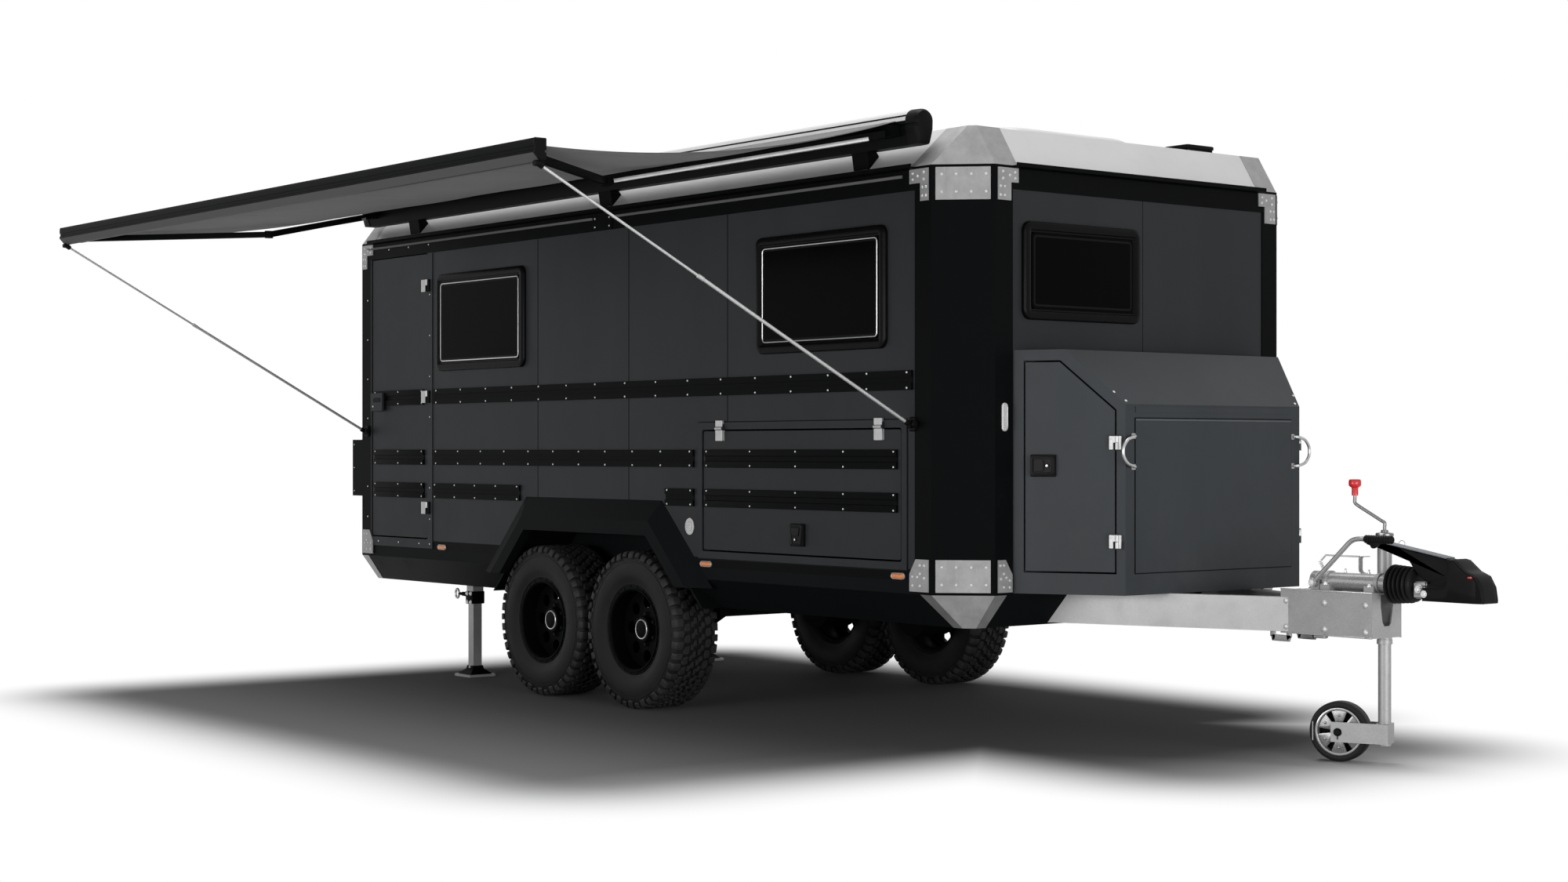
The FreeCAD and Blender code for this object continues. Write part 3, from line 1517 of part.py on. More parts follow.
def make_bellows():
    """The rubber bellows: ridges and valleys turned about the shaft."""
    count = int(d.bellows_folds.number)
    pitch = (d.bellows_rear - d.bellows_front) / count
    x = -d.bellows_rear
    points = [(x, as_size(0))]
    for fold in range(count):
        points += [(x, d.bellows_valley), (x + pitch / 2, d.bellows_radius - fold * 2)]
        x = x + pitch
    points += [(x, d.bellows_valley), (x, as_size(0))]
    body = doc.addObject("PartDesign::Body", "bellows")
    sketch = outline_sketch(body, "bellows_outline", "XY", points, d.shaft_height)
    turn = body.newObject("PartDesign::Revolution", "bellows_turn")
    turn.Profile = sketch
    turn.ReferenceAxis = (sketch, ["H_Axis"])
    turn.Angle = 360
    body.Tip = turn
    finish("shaft_bellows", body)


# Places on the coupling seen from the side, forward of the ball and above it
HOOD_TOP = ((63, -8), (55, 43), (30, 86), (-14, 105), (-65, 147), (-87, 149), (-92, 72), (-122, 38), (-214, 32))
HANDLE_SIDE = (
    (-124, 46), (-100, 80), (-94, 149), (-450, 209), (-515, 212), (-515, 196), (-450, 188), (-385, 188),
    (-339, 172), (-305, 139), (-270, 96), (-211, 53),
)


def make_coupling():
    """The coupling's hooded head over the ball socket, with the yoke behind it."""
    low = -d.socket_skirt
    hood_front = 62
    side_view = [(-d.yoke_front, low), (hood_front, low), *HOOD_TOP]
    half = d.coupling_width / 2
    hood = profile("coupling_hood", "XZ", side_view, -half, half)
    ball = d.ball_radius
    bore = cylinder("socket_bore", "Z", (as_size(0), as_size(0)), ball, low, d.socket_rise)
    dome = doc.addObject("Part::Sphere", "socket_dome")
    bind(dome, Radius=ball)
    place(dome, 0, 0, d.socket_rise)
    yoke = box("coupling_yoke", (-d.bellows_front, -d.yoke_front), (-d.yoke_half, d.yoke_half), (-d.yoke_low, d.yoke_high))
    whole = fuse("coupling_body", [hood, yoke])
    finish("coupling_head", cut("coupling_cut", whole, [bore, dome]))
    half = d.handle_width / 2
    finish("coupling_handle", profile("handle_arm", "XZ", HANDLE_SIDE, -half, half))


def bar_between(name, start, end, width, height):
    """A straight bar of rectangular section between two points, level across its width."""
    a = FreeCAD.Vector(*[as_size(value).number for value in start])
    b = FreeCAD.Vector(*[as_size(value).number for value in end])
    along = (b - a).normalize()
    across = along.cross(FreeCAD.Vector(0, 0, 1)).normalize()
    above = across.cross(along)
    w = across * (as_size(width).number / 2)
    t = above * (as_size(height).number / 2)
    corners = [a - w - t, a + w - t, a + w + t, a - w + t, a - w - t]
    face = Part.Face(Part.makePolygon(corners))
    bar = doc.addObject("Part::Feature", name)
    bar.Shape = face.extrude(b - a)
    return bar


def rod_between(name, start, end, radius):
    """A straight round rod between two points."""
    a = FreeCAD.Vector(*[as_size(value).number for value in start])
    b = FreeCAD.Vector(*[as_size(value).number for value in end])
    rod = doc.addObject("Part::Feature", name)
    rod.Shape = Part.makeCylinder(as_size(radius).number, (b - a).Length, a, b - a)
    return rod


def make_handbrake():
    """The lever: a bent tube with a grip, turning on a pin beside the shaft's housing."""
    x = -d.lever_pivot_back
    z = d.lever_pivot_height
    y = -d.lever_side
    r = d.lever_radius
    bend = (x + d.lever_bend_forward, y, z + d.lever_bend_rise)
    end = (bend[0] + d.lever_tail, y, bend[2])
    lower = rod_between("lever_lower", (x, y, z), bend, r)
    knee = doc.addObject("Part::Sphere", "lever_knee")
    bind(knee, Radius=r)
    place(knee, *bend)
    upper = cylinder("lever_upper", "X", (y, bend[2]), r, bend[0], end[0])
    grip = cylinder("lever_grip", "X", (y, bend[2]), d.grip_radius, end[0] - d.grip_length, end[0])
    boss = cylinder("lever_boss", "Y", (x, z), d.lever_boss_radius, y - d.lever_boss_half, y + d.lever_boss_half)
    far = y - d.lever_pin_reach
    bore = cylinder("lever_bore", "Y", (x, z), d.lever_pin_radius + d.lever_pin_slip, far, y + d.lever_pin_reach)
    finish("handbrake_lever", cut("lever_cut", fuse("lever_whole", [lower, knee, upper, grip, boss]), [bore]))
    # the bracket that carries the pin stands on the head's top plate
    near = y + r + d.lever_cheek_gap
    half = d.lever_cheek_half
    cheek = box("lever_cheek", (x - half, x + half), (near, near + d.lever_cheek_width), (as_size(0), d.lever_cheek_height))
    pin = cylinder("lever_pin", "Y", (x, z), d.lever_pin_radius, far, near)
    return fuse("lever_bracket", [cheek, pin])


def make_jockey():
    x = -d.jockey_back
    y = d.jockey_side
    outer = d.jockey_tube_radius
    inner = outer - d.jockey_tube_wall
    tube = cylinder("jockey_tube", "Z", (x, y), outer, up(d.jockey_tube_bottom), up(d.jockey_tube_top))
    bore = cylinder("jockey_bore", "Z", (x, y), inner, up(d.jockey_tube_bottom), up(d.jockey_tube_top) - d.jockey_cap)
    clamp_x = (x - d.jockey_clamp_half, x + d.jockey_clamp_half)
    clamp = box("jockey_clamp", clamp_x, (d.head_width / 2, y), (-d.jockey_clamp_low, -d.jockey_clamp_high))
    finish("jockey_outer_tube", cut("jockey_tube_cut", fuse("jockey_tube_whole", [tube, clamp]), [bore]))
    make_jockey_crank(x, y, outer)
    slider = cylinder("jockey_slider", "Z", (x, y), inner - d.slip_gap, up(d.jockey_inner_bottom), up(d.jockey_inner_top))
    low = up(d.jockey_inner_bottom)
    pin_hole = cylinder("jockey_pin_hole", "Z", (x, y), d.fork_pin_radius + d.fork_pin_slip, low, low + d.fork_pin_hole)
    finish("jockey_inner_tube", cut("jockey_inner", slider, [pin_hole]))
    make_jockey_wheel(x, y)


def make_jockey_crank(x, y, outer):
    """The crank on the tube's top: a cap, a bent bar and an upright knob in two steps."""
    z = up(d.jockey_tube_top)
    r = d.crank_radius
    cap = cylinder("crank_cap", "Z", (x, y), outer + d.crank_cap_lap, z, z + d.crank_cap_height)
    turn = math.radians(180 + d.jockey_turn.number)
    foot = (x, y, z + d.crank_stem)
    hand_x = x + d.crank_reach * math.cos(turn)
    hand_y = y + d.crank_reach * math.sin(turn)
    hand_z = z + d.crank_rise
    hand = (hand_x, hand_y, hand_z)
    stem = rod_between("crank_stem", (x, y, z), foot, r)
    arm = rod_between("crank_arm", foot, hand, r)
    centre = (hand_x, hand_y)
    post = cylinder("crank_post", "Z", centre, r, hand_z, hand_z + d.crank_post)
    neck = cylinder("crank_neck", "Z", centre, d.knob_small, hand_z + d.knob_foot, hand_z + d.knob_neck)
    knob = cylinder("crank_knob", "Z", centre, d.knob_large, hand_z + d.knob_low, hand_z + d.knob_top)
    balls = []
    for index, spot in enumerate((foot, hand)):
        ball = doc.addObject("Part::Sphere", f"crank_bend_{index}")
        bind(ball, Radius=r)
        place(ball, *spot)
        balls.append(ball)
    finish("jockey_crank", fuse("crank_whole", [cap, stem, arm, post, neck, knob] + balls))


def castor_points(half):
    """Section of the jockey wheel about its axle, with a web set in from both faces."""
    r = d.jockey_wheel_radius
    bore = d.castor_axle_radius + d.castor_axle_slip
    face = half - d.castor_hub_inset
    web = half - d.castor_web
    lip = half - d.castor_lip
    return [
        (bore, -face), (d.castor_hub, -face), (d.castor_hub, -web), (d.castor_inner, -web), (d.castor_inner, -lip),
        (d.castor_rim, -half), (r - d.castor_round, -half), (r, d.castor_shoulder - half),
        (r, half - d.castor_shoulder), (r - d.castor_round, half), (d.castor_rim, half), (d.castor_inner, lip),
        (d.castor_inner, web), (d.castor_hub, web), (d.castor_hub, face), (bore, face),
    ]


def make_jockey_wheel(x, y):
    """The castor: a fork below the tube, trailing at its own angle, and the wheel in it."""
    r = d.jockey_wheel_radius
    trail = d.jockey_trail
    half = d.jockey_wheel_width / 2
    top = d.jockey_inner_bottom - d.fork_top_gap
    tube_r = d.jockey_tube_radius - d.jockey_tube_wall
    # drawn with the wheel straight behind the tube, then turned about the tube
    centre = (as_size(0), as_size(0))
    socket = cylinder("fork_socket", "Z", centre, tube_r, r - d.fork_socket_drop, top)
    pin = cylinder("fork_pin", "Z", centre, d.fork_pin_radius, top, top + d.fork_pin_length)
    inner = half + d.fork_gap
    outer = inner + d.fork_plate
    tall = (r - d.fork_half, r + d.fork_half)
    long = (-trail - d.fork_toe, tube_r)
    near = box("fork_cheek_near", long, (-outer, -inner), tall)
    far = box("fork_cheek_far", long, (inner, outer), tall)
    bridge = box("fork_bridge", (-tube_r, tube_r), (-outer, outer), tall)
    axle = cylinder("fork_axle", "Y", (-trail, r), d.castor_axle_radius, -outer, outer)
    form = fuse("fork_form", [socket, pin, bridge, axle, near, far])
    fork = moved("fork_placed", form, x, y, ground, d.jockey_turn)
    finish("jockey_fork", fork)
    tyre = turned("castor_body", castor_points(half))
    shifted = moved("castor_on_axle", tyre, -trail, 0, r)
    wheel = moved("castor_placed", shifted, x, y, ground, d.jockey_turn)
    finish("jockey_wheel", wheel)


# Wheels and axles

def tyre_points():
    """Half-section of a tyre's casing about its axle, as (radius, distance across) pairs."""
    base = d.wheel_radius - d.lug_depth - d.lug_seat
    w = d.wheel_width / 2
    bead = d.rim_radius + d.slip_gap
    half = [(bead, d.rim_width / 2), (d.rim_radius + d.tyre_bulge_rise, w), (base, w - d.shoulder_inset)]
    left = [(as_size(a), -as_size(b)) for a, b in half]
    right = [(as_size(a), as_size(b)) for a, b in half]
    return left + right[::-1]


def tread_ring():
    """The tread: a ring of bars across the tyre with grooves between them, one bar straight below the axle."""
    count = int(d.lug_count.number)
    pitch = 2 * math.pi / count
    bar_half = pitch * d.lug_top_share.number
    groove_half = pitch * d.lug_foot_share.number
    outer = d.wheel_radius / math.cos(bar_half)
    inner = d.wheel_radius - d.lug_depth
    points = []
    for index in range(count):
        middle = math.pi / 2 + index * pitch
        for angle, radius in ((-groove_half, inner), (-bar_half, outer), (bar_half, outer), (groove_half, inner)):
            turn = middle + angle
            points.append((radius * math.cos(turn), radius * math.sin(turn)))
    half = d.wheel_width / 2 - d.lug_end_inset
    disc = profile("tread_disc", "XZ", points, -half, half)
    bore = cylinder("tread_bore", "Y", (as_size(0), as_size(0)), inner - d.lug_root, -half, half)
    return cut("tread_ring", disc, [bore])


def rim_points():
    """Half-section of the wheel: hub, flat disc, barrel and the clamp ring over the tyre's bead."""
    rim = d.rim_radius
    w = d.rim_width / 2
    hub = d.wheel_width / 2 - d.hub_face_inset
    bore = d.spindle_radius + d.spindle_slip
    face = hub - d.disc_inset
    back_face = face - d.disc_thickness
    barrel = rim - d.rim_drop
    ring_y = w + d.rim_ring_gap
    ring_out = ring_y + d.rim_ring_thickness
    return [
        (bore, hub - d.hub_length), (d.hub_radius, hub - d.hub_length), (d.hub_radius, back_face),
        (barrel, back_face), (barrel, d.rim_lip - w), (rim - d.rim_lip, -w), (rim, -w), (rim, ring_y),
        (rim + d.rim_ring_lap, ring_y), (rim + d.rim_ring_lap, ring_out), (rim - d.rim_lip * 2, ring_out),
        (barrel + d.rim_lip, face), (d.hub_radius + d.rim_lip, face),
        (d.hub_radius, hub), (bore, hub),
    ]


def make_wheels():
    """Four road wheels, each a tyre with barred tread and a rim with round holes."""
    casing = turned("tyre_casing", tyre_points())
    tyre = fuse("tyre_form", [casing, tread_ring()])
    rim_form = turned("rim_form", rim_points())
    holes = []
    count = int(d.rim_hole_count.number)
    hub = d.wheel_width / 2 - d.hub_face_inset
    for index in range(count):
        turn = 2 * math.pi * index / count
        spot = (d.rim_hole_ring * math.cos(turn), d.rim_hole_ring * math.sin(turn))
        holes.append(cylinder(f"rim_hole_{index}", "Y", spot, d.rim_hole_radius, hub - d.hub_length, hub))
    rim = cut("rim_drilled", rim_form, holes)
    for word, x in (("front", axle_one), ("rear", axle_two)):
        for part, form in (("tyre", tyre), ("rim", rim)):
            left = moved(f"{part}_{word}_left_placed", form, x, wheel_middle, up(d.wheel_radius))
            finish(f"{part}_{word}_left", left)
            finish(f"{part}_{word}_right", mirrored(f"{part}_{word}_right_placed", left))


def make_axles():
    """Two trailing-arm axles: a beam, an arm at each end, a brake drum's back and a spindle."""
    beam = d.axle_beam / 2
    hub = wheel_middle + d.wheel_width / 2 - d.hub_face_inset
    arm_in = side - d.well_depth - d.arm_well_gap - d.arm_thickness
    for word, x in (("front", axle_one), ("rear", axle_two)):
        beam_x = x + d.axle_forward
        z = up(d.axle_height)
        bar = box(f"axle_beam_{word}", (beam_x - beam, beam_x + beam), (-arm_in, arm_in), (z - beam, z + beam))
        wheel_z = up(d.wheel_radius)
        outline = [
            (beam_x + beam, z - beam), (beam_x + beam, z + beam), (beam_x - beam, z + beam),
            (x - d.arm_tail, wheel_z + d.arm_above), (x - d.arm_tail, wheel_z - d.arm_below),
            (x + d.arm_toe, wheel_z - d.arm_below),
        ]
        arm = profile(f"trailing_arm_{word}", "XZ", outline, arm_in, arm_in + d.arm_thickness)
        drum_out = hub - d.drum_inset
        drum = cylinder(f"drum_{word}", "Y", (x, wheel_z), d.drum_radius, arm_in + d.arm_thickness, drum_out)
        spindle = cylinder(f"spindle_{word}", "Y", (x, wheel_z), d.spindle_radius, drum_out, hub - d.spindle_inset)
        left = fuse(f"axle_side_{word}", [arm, drum, spindle])
        finish(f"axle_{word}", fuse(f"axle_whole_{word}", [bar, left, mirrored(f"axle_side_{word}_right", left)]))


# Rear legs

def make_legs():
    x = back(d.leg_back)
    y = -d.leg_side
    out = d.leg_housing / 2
    bore = d.leg_inner / 2 + d.slip_gap
    top = up(d.floor_top - d.floor_thickness)
    sleeve = box("leg_sleeve", (x - out, x + out), (y - out, y + out), (up(d.leg_housing_bottom), top))
    hollow = box("leg_hollow", (x - bore, x + bore), (y - bore, y + bore), (up(d.leg_housing_bottom), top - d.leg_cap))
    crank = cylinder("leg_crank_hub", "X", (y, up(d.leg_crank_height)), d.leg_crank_radius,
                     x - out - d.leg_crank_length, x - out)
    both_sides("leg_housings", fuse("leg_housing_right", [cut("leg_tube", sleeve, [hollow]), crank]))
    inner = d.leg_inner / 2
    foot_top = ground + d.leg_foot_thickness
    bar = box("leg_bar", (x - inner, x + inner), (y - inner, y + inner), (foot_top, up(d.leg_inner_top)))
    foot = d.leg_foot / 2
    pad = box("leg_pad", (x - foot, x + foot), (y - foot, y + foot), (ground, foot_top))
    right = fuse("leg_right_whole", [bar, pad])
    finish("leg_right", right)
    finish("leg_left", mirrored("leg_left_whole", right))


# Awning

def case_block(name, x0, x1):
    """A length of the awning case: round above, tapering to a narrow foot."""
    low = up(case_low)
    y = -case_middle
    r = d.case_radius
    waist = low + d.case_waist
    middle = low + d.case_round_height
    outline = [
        (y - d.case_foot, low), (y + d.case_foot, low), (y + r, waist), (y + r, middle), (y - r, middle),
        (y - r, waist),
    ]
    body = profile(f"{name}_body", "YZ", outline, x0, x1)
    return fuse(name, [body, cylinder(f"{name}_round", "X", (y, middle), r, x0, x1)])


BRACKET_SHARES = (0.07, 0.489, 0.895)


def make_awning():
    x0 = back(d.case_start + d.case_length)
    x1 = back(d.case_start)
    low = up(case_low)
    finish("awning_case", case_block("case_form", x0, x1))
    long = d.case_cap_length
    caps = [case_block("case_cap_front", x1, x1 + long), case_block("case_cap_rear", x0 - long, x0)]
    finish("awning_caps", group("awning_cap_set", caps))
    brackets = []
    slope = d.roof_rise / d.roof_side_slope
    wide = d.case_bracket_width / 2
    foot = d.case_bracket_foot
    heel = d.case_bracket_heel
    for index, share in enumerate(BRACKET_SHARES):
        x = x1 - d.case_length * share
        outline = [
            (foot - side, up(d.wall_top) + foot * slope), (heel - side, up(d.wall_top) + heel * slope),
            (d.case_foot - case_middle, low), (-d.case_foot - case_middle, low),
        ]
        brackets.append(profile(f"case_bracket_{index}", "YZ", outline, x - wide, x + wide))
    finish("awning_brackets", group("awning_bracket_set", brackets))
    lead_x = (back(d.lead_start + d.lead_length), back(d.lead_start))
    reach = -d.awning_reach
    foot_z = up(lead_low)
    half = d.lead_depth / 2
    top_z = foot_z + d.lead_height
    lead_outline = [
        (reach - half, foot_z + d.lead_lip), (reach, foot_z), (reach + half, foot_z), (reach + half, top_z),
        (reach - half, top_z),
    ]
    finish("awning_lead_rail", profile("lead_form", "YZ", lead_outline, *lead_x))
    make_awning_arms(x0, x1, lead_x, -case_out, low)
    make_fabric(lead_x, -case_out, low + d.fabric_root_height)
    make_struts(lead_x, reach, foot_z)


ELBOW_SHARE = 0.554


def make_awning_arms(x0, x1, lead_x, out, low):
    """Two folding arms, each an upper and a fore arm with an elbow turned inwards."""
    arms = []
    shoulder_y = out - d.arm_height / 2
    elbow_y = out - (d.awning_reach - case_out) * ELBOW_SHARE
    lead_in = d.lead_depth / 2 - d.awning_reach
    for word, end, lead_end, way in (("front", x1, lead_x[1], -1), ("rear", x0, lead_x[0], 1)):
        shoulder = (end + way * d.arm_root_inset, shoulder_y, low + d.arm_root_height)
        elbow = (end + way * d.arm_elbow_inset, elbow_y, up(lead_low) + d.arm_elbow_rise)
        wrist = (lead_end + way * d.arm_hand_inset, lead_in + d.arm_hand_gap, up(lead_low) + d.arm_hand_rise)
        upper = bar_between(f"arm_upper_{word}", shoulder, elbow, d.arm_width, d.arm_height)
        fore = bar_between(f"arm_fore_{word}", elbow, wrist, d.arm_width, d.arm_height)
        tall = d.arm_height / 2 + d.arm_knuckle_lap
        knuckle = cylinder(f"arm_elbow_{word}", "Z", (elbow[0], elbow[1]), d.arm_knuckle_radius,
                           elbow[2] - tall, elbow[2] + tall)
        half = d.arm_root_half
        root = box(f"arm_shoulder_{word}", (shoulder[0] - half, shoulder[0] + half), (shoulder_y - d.arm_root_depth, out),
                   (shoulder[2] - d.arm_root_below, shoulder[2] + d.arm_root_above))
        half = d.arm_hand_half
        hand = box(f"arm_wrist_{word}", (wrist[0] - half, wrist[0] + half), (lead_in, wrist[1] + d.arm_hand_gap),
                   (wrist[2] - d.arm_hand_below, wrist[2] + d.arm_hand_above))
        arms.append(fuse(f"arm_{word}", [root, upper, knuckle, fore, hand]))
    finish("awning_arms", group("awning_arm_set", arms))


def make_fabric(lead_x, out, root_z):
    """The awning's cloth: a shallow curve from the case to the lead rail."""
    start = (out, root_z)
    end = (-d.awning_reach + d.lead_depth / 2, up(lead_low) + d.lead_height - d.fabric_end_drop)
    steps = 8
    upper = []
    for index in range(steps + 1):
        share = index / steps
        sag = 4 * share * (1 - share)
        y = start[0] + (end[0] - start[0]) * share
        z = start[1] + (end[1] - start[1]) * share - d.fabric_sag * sag
        upper.append((y, z))
    lower = [(y, z - d.fabric_thickness) for y, z in upper]
    inset = d.fabric_lead_inset
    cloth = profile("fabric_form", "YZ", upper + lower[::-1], lead_x[0] + inset, lead_x[1] - inset)
    finish("awning_fabric", cloth)


def make_struts(lead_x, reach, lead_foot):
    """The two long rods from the body's corners to the ends of the lead rail."""
    struts = []
    base_z = up(d.strut_base_height)
    base_y = -side - d.rail_thickness - d.strut_stand
    ends = (
        ("front", back(d.strut_base_start), lead_x[1], 1),
        ("rear", back(d.side_length - d.strut_base_start + d.strut_rear_shift), lead_x[0], -1),
    )
    for word, x, lead_end, way in ends:
        end_x = lead_end - way * d.strut_lead_inset
        top = (end_x, reach, lead_foot - d.strut_radius)
        base = (x, base_y, base_z)
        rod = rod_between(f"strut_rod_{word}", base, top, d.strut_radius)
        half = d.strut_block_half
        block = box(f"strut_base_{word}", (x - half, x + half), (base_y - d.strut_block_depth, -side - d.trim_thickness),
                    (base_z - d.strut_block_tall, base_z + d.strut_block_tall))
        half = d.strut_lug_half
        lug = box(f"strut_lug_{word}", (end_x - half, end_x + half),
                  (reach - d.strut_lug_depth, reach + d.strut_lug_depth), (lead_foot - d.strut_lug_height, lead_foot))
        struts.append(fuse(f"strut_{word}", [rod, block, lug]))
    finish("awning_struts", group("awning_strut_set", struts))


def roof_block(name, x, y, edge, height):
    """A block with sloped sides that stands on the roof."""
    (x0, x1), (y0, y1) = x, y
    z = up(roof_top)
    base = [(x0, y0), (x1, y0), (x1, y1), (x0, y1)]
    top = [(x0 + edge, y0 + edge), (x1 - edge, y0 + edge), (x1 - edge, y1 - edge), (x0 + edge, y1 - edge)]
    return loft(name, "XY", (base, z), (top, z + height))


def make_roof_units():
    """The low moulded dome near the front, and the black box and vent beside and behind it."""
    x1 = back(d.unit_front)
    half = d.unit_half
    dome = roof_block("unit_form", (x1 - d.unit_length, x1), (-half, half), d.unit_edge, d.unit_height)
    finish("roof_unit", dome)
    x1 = back(d.small_box_front)
    inner = d.small_box_inner
    small = roof_block("small_box", (x1 - d.small_box_length, x1), (inner, inner + d.small_box_width),
                       d.slip_gap * 20, d.small_box_height)
    x1 = back(d.vent_start)
    half = d.vent_half
    vent = roof_block("vent_lid", (x1 - d.vent_length, x1), (-half, half), d.slip_gap * 60, d.vent_height)
    finish("roof_fittings", group("roof_fitting_set", [small, vent]))


make_floor()
make_skirt()
make_wells()
make_arches()
make_side_walls()
make_end_walls()
make_corners()
make_roof()
make_top_rails()
make_lashing_rails()
make_windows()
make_door_frames()
make_entrance_door()
make_hatches()
make_lamps()
make_front_locker()
make_grab_handles()
make_rear_locker()
make_drawbar()
make_chassis()
make_overrun()
make_bellows()
make_coupling()
finish("handbrake_bracket", make_handbrake())
make_jockey()
make_wheels()
make_axles()
make_legs()
make_awning()
make_roof_units()
doc.recompute()

for thing in doc.Objects:
    troubles = [word for word in thing.State if word in ("Invalid", "Error")]
    if troubles:
        raise RuntimeError(f"{thing.Name} failed to recompute: {troubles}")

os.makedirs("parts", exist_ok=True)
for thing in SUBPARTS:
    if thing.Shape.isNull() or not thing.Shape.isValid():
        raise RuntimeError(f"{thing.Label} has no valid shape")
    thing.Shape.exportStep(f"parts/{thing.Label}.step")
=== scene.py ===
"""Looks of an off-road box camper trailer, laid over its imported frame. Metres, X forwards, Y left, Z up."""

import json
import math

import bmesh
import bpy
import numpy as np
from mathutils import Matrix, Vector


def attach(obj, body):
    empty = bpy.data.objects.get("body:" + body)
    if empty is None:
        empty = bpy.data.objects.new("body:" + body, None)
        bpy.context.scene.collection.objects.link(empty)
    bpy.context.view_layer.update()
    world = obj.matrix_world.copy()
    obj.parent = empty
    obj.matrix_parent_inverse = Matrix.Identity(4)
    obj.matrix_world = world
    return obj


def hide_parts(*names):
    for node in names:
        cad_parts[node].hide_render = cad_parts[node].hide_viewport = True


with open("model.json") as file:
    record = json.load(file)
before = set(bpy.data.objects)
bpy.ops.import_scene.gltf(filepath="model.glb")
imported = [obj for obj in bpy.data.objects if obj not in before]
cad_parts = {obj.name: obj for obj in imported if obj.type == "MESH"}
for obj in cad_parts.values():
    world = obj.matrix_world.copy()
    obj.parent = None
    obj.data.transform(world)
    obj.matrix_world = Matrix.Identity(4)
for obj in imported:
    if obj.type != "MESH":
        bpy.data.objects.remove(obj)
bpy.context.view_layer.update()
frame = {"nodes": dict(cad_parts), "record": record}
GROUND = -0.725


# Values in a shader, written as Python expressions

def math_method(operation, swapped=False):
    """A method of Value that gives itself and its other terms to a new Math node."""
    def method(self, *others):
        node = self.finish.tree.nodes.new("ShaderNodeMath")
        node.operation = operation
        terms = (*others, self) if swapped else (self, *others)
        for place, term in zip(node.inputs, terms):
            self.finish.give(place, term)
        return Value(self.finish, node.outputs[0])
    return method


class Value:
    """A socket that gives a number. Python's operators on it add Math nodes."""

    def __init__(self, finish, socket):
        self.finish = finish
        self.socket = socket

    __add__ = math_method("ADD")
    __sub__ = math_method("SUBTRACT")
    __rsub__ = math_method("SUBTRACT", swapped=True)
    __mul__ = math_method("MULTIPLY")
    __truediv__ = math_method("DIVIDE")
    __pow__ = math_method("POWER")
    absolute = math_method("ABSOLUTE")
    most = math_method("MAXIMUM")
    least = math_method("MINIMUM")
    sine = math_method("SINE")
    fraction = math_method("FRACT")

    def step(self, low, high):
        """Rises smoothly from 0 at low to 1 at high."""
        found = self.finish.node("ShaderNodeMapRange", {"interpolation_type": "SMOOTHSTEP"}, Value=self,
                                 **{"From Min": low, "From Max": high})
        return Value(self.finish, found.outputs["Result"])


class Finish:
    """A material made from nodes, with one Principled shader, on Object coordinates."""

    def __init__(self, name, **sockets):
        self.material = bpy.data.materials.new(name)
        self.material.use_nodes = True
        self.tree = self.material.node_tree
        self.shader = self.tree.nodes["Principled BSDF"]
        self.coordinates = self.tree.nodes.new("ShaderNodeTexCoord").outputs["Object"]
        self.set(**sockets)

    def give(self, place, value):
        """Links a socket, or sets its plain value."""
        if isinstance(value, Value):
            value = value.socket
        if isinstance(value, bpy.types.NodeSocket):
            self.tree.links.new(value, place)
        elif hasattr(value, "__len__") and len(value) == 3 and place.type == "RGBA":
            place.default_value = (*value, 1)
        else:
            place.default_value = value

    def set(self, **sockets):
        for name, value in sockets.items():
            self.give(self.shader.inputs[name.replace("_", " ")], value)

    def node(self, kind, settings=None, **inputs):
        """Any node: its settings are set first, then the values or links of its sockets."""
        made = self.tree.nodes.new(kind)
        for name, value in (settings or {}).items():
            setattr(made, name, value)
        for name, value in inputs.items():
            self.give(made.inputs[name], value)
        return made

    def axes(self, vector=None):
        """The three parts of a vector, or of the Object coordinates, as values."""
        parts = self.node("ShaderNodeSeparateXYZ", Vector=self.coordinates if vector is None else vector)
        return [Value(self, socket) for socket in parts.outputs]

    def noise(self, scale, detail=3, roughness=0.5, stretch=(1, 1, 1)):
        place = self.node("ShaderNodeMapping", Vector=self.coordinates, Scale=stretch).outputs[0]
        found = self.node("ShaderNodeTexNoise", Vector=place, Scale=scale, Detail=detail, Roughness=roughness)
        return Value(self, found.outputs[0])

    def cells(self, scale, output):
        found = self.node("ShaderNodeTexVoronoi", Vector=self.coordinates, Scale=scale)
        return found.outputs[output]

    def mix(self, share, first, second):
        """A colour between two others."""
        found = self.node("ShaderNodeMix", {"data_type": "RGBA"})
        for index, value in ((0, share), (6, first), (7, second)):
            self.give(found.inputs[index], value)
        return found.outputs[2]

    def done(self, base, roughness, height, distance, strength):
        """Sets colour, roughness and a bump, its distance in metres, and gives the material."""
        bump = self.node("ShaderNodeBump", Height=height, Distance=distance, Strength=strength)
        self.set(Base_Color=base, Roughness=roughness, Normal=bump.outputs[0])
        return self.material


COOL = (0.90, 1.0, 1.09)
NEUTRAL = (1.0, 1.0, 1.0)


def grey(level, tint=NEUTRAL):
    """A linear grey from its sRGB level, 0 to 255, with a slight tint."""
    share = level / 255
    linear = share / 12.92 if share <= 0.04045 else ((share + 0.055) / 1.055) ** 2.4
    return tuple(linear * part for part in tint)


# Materials

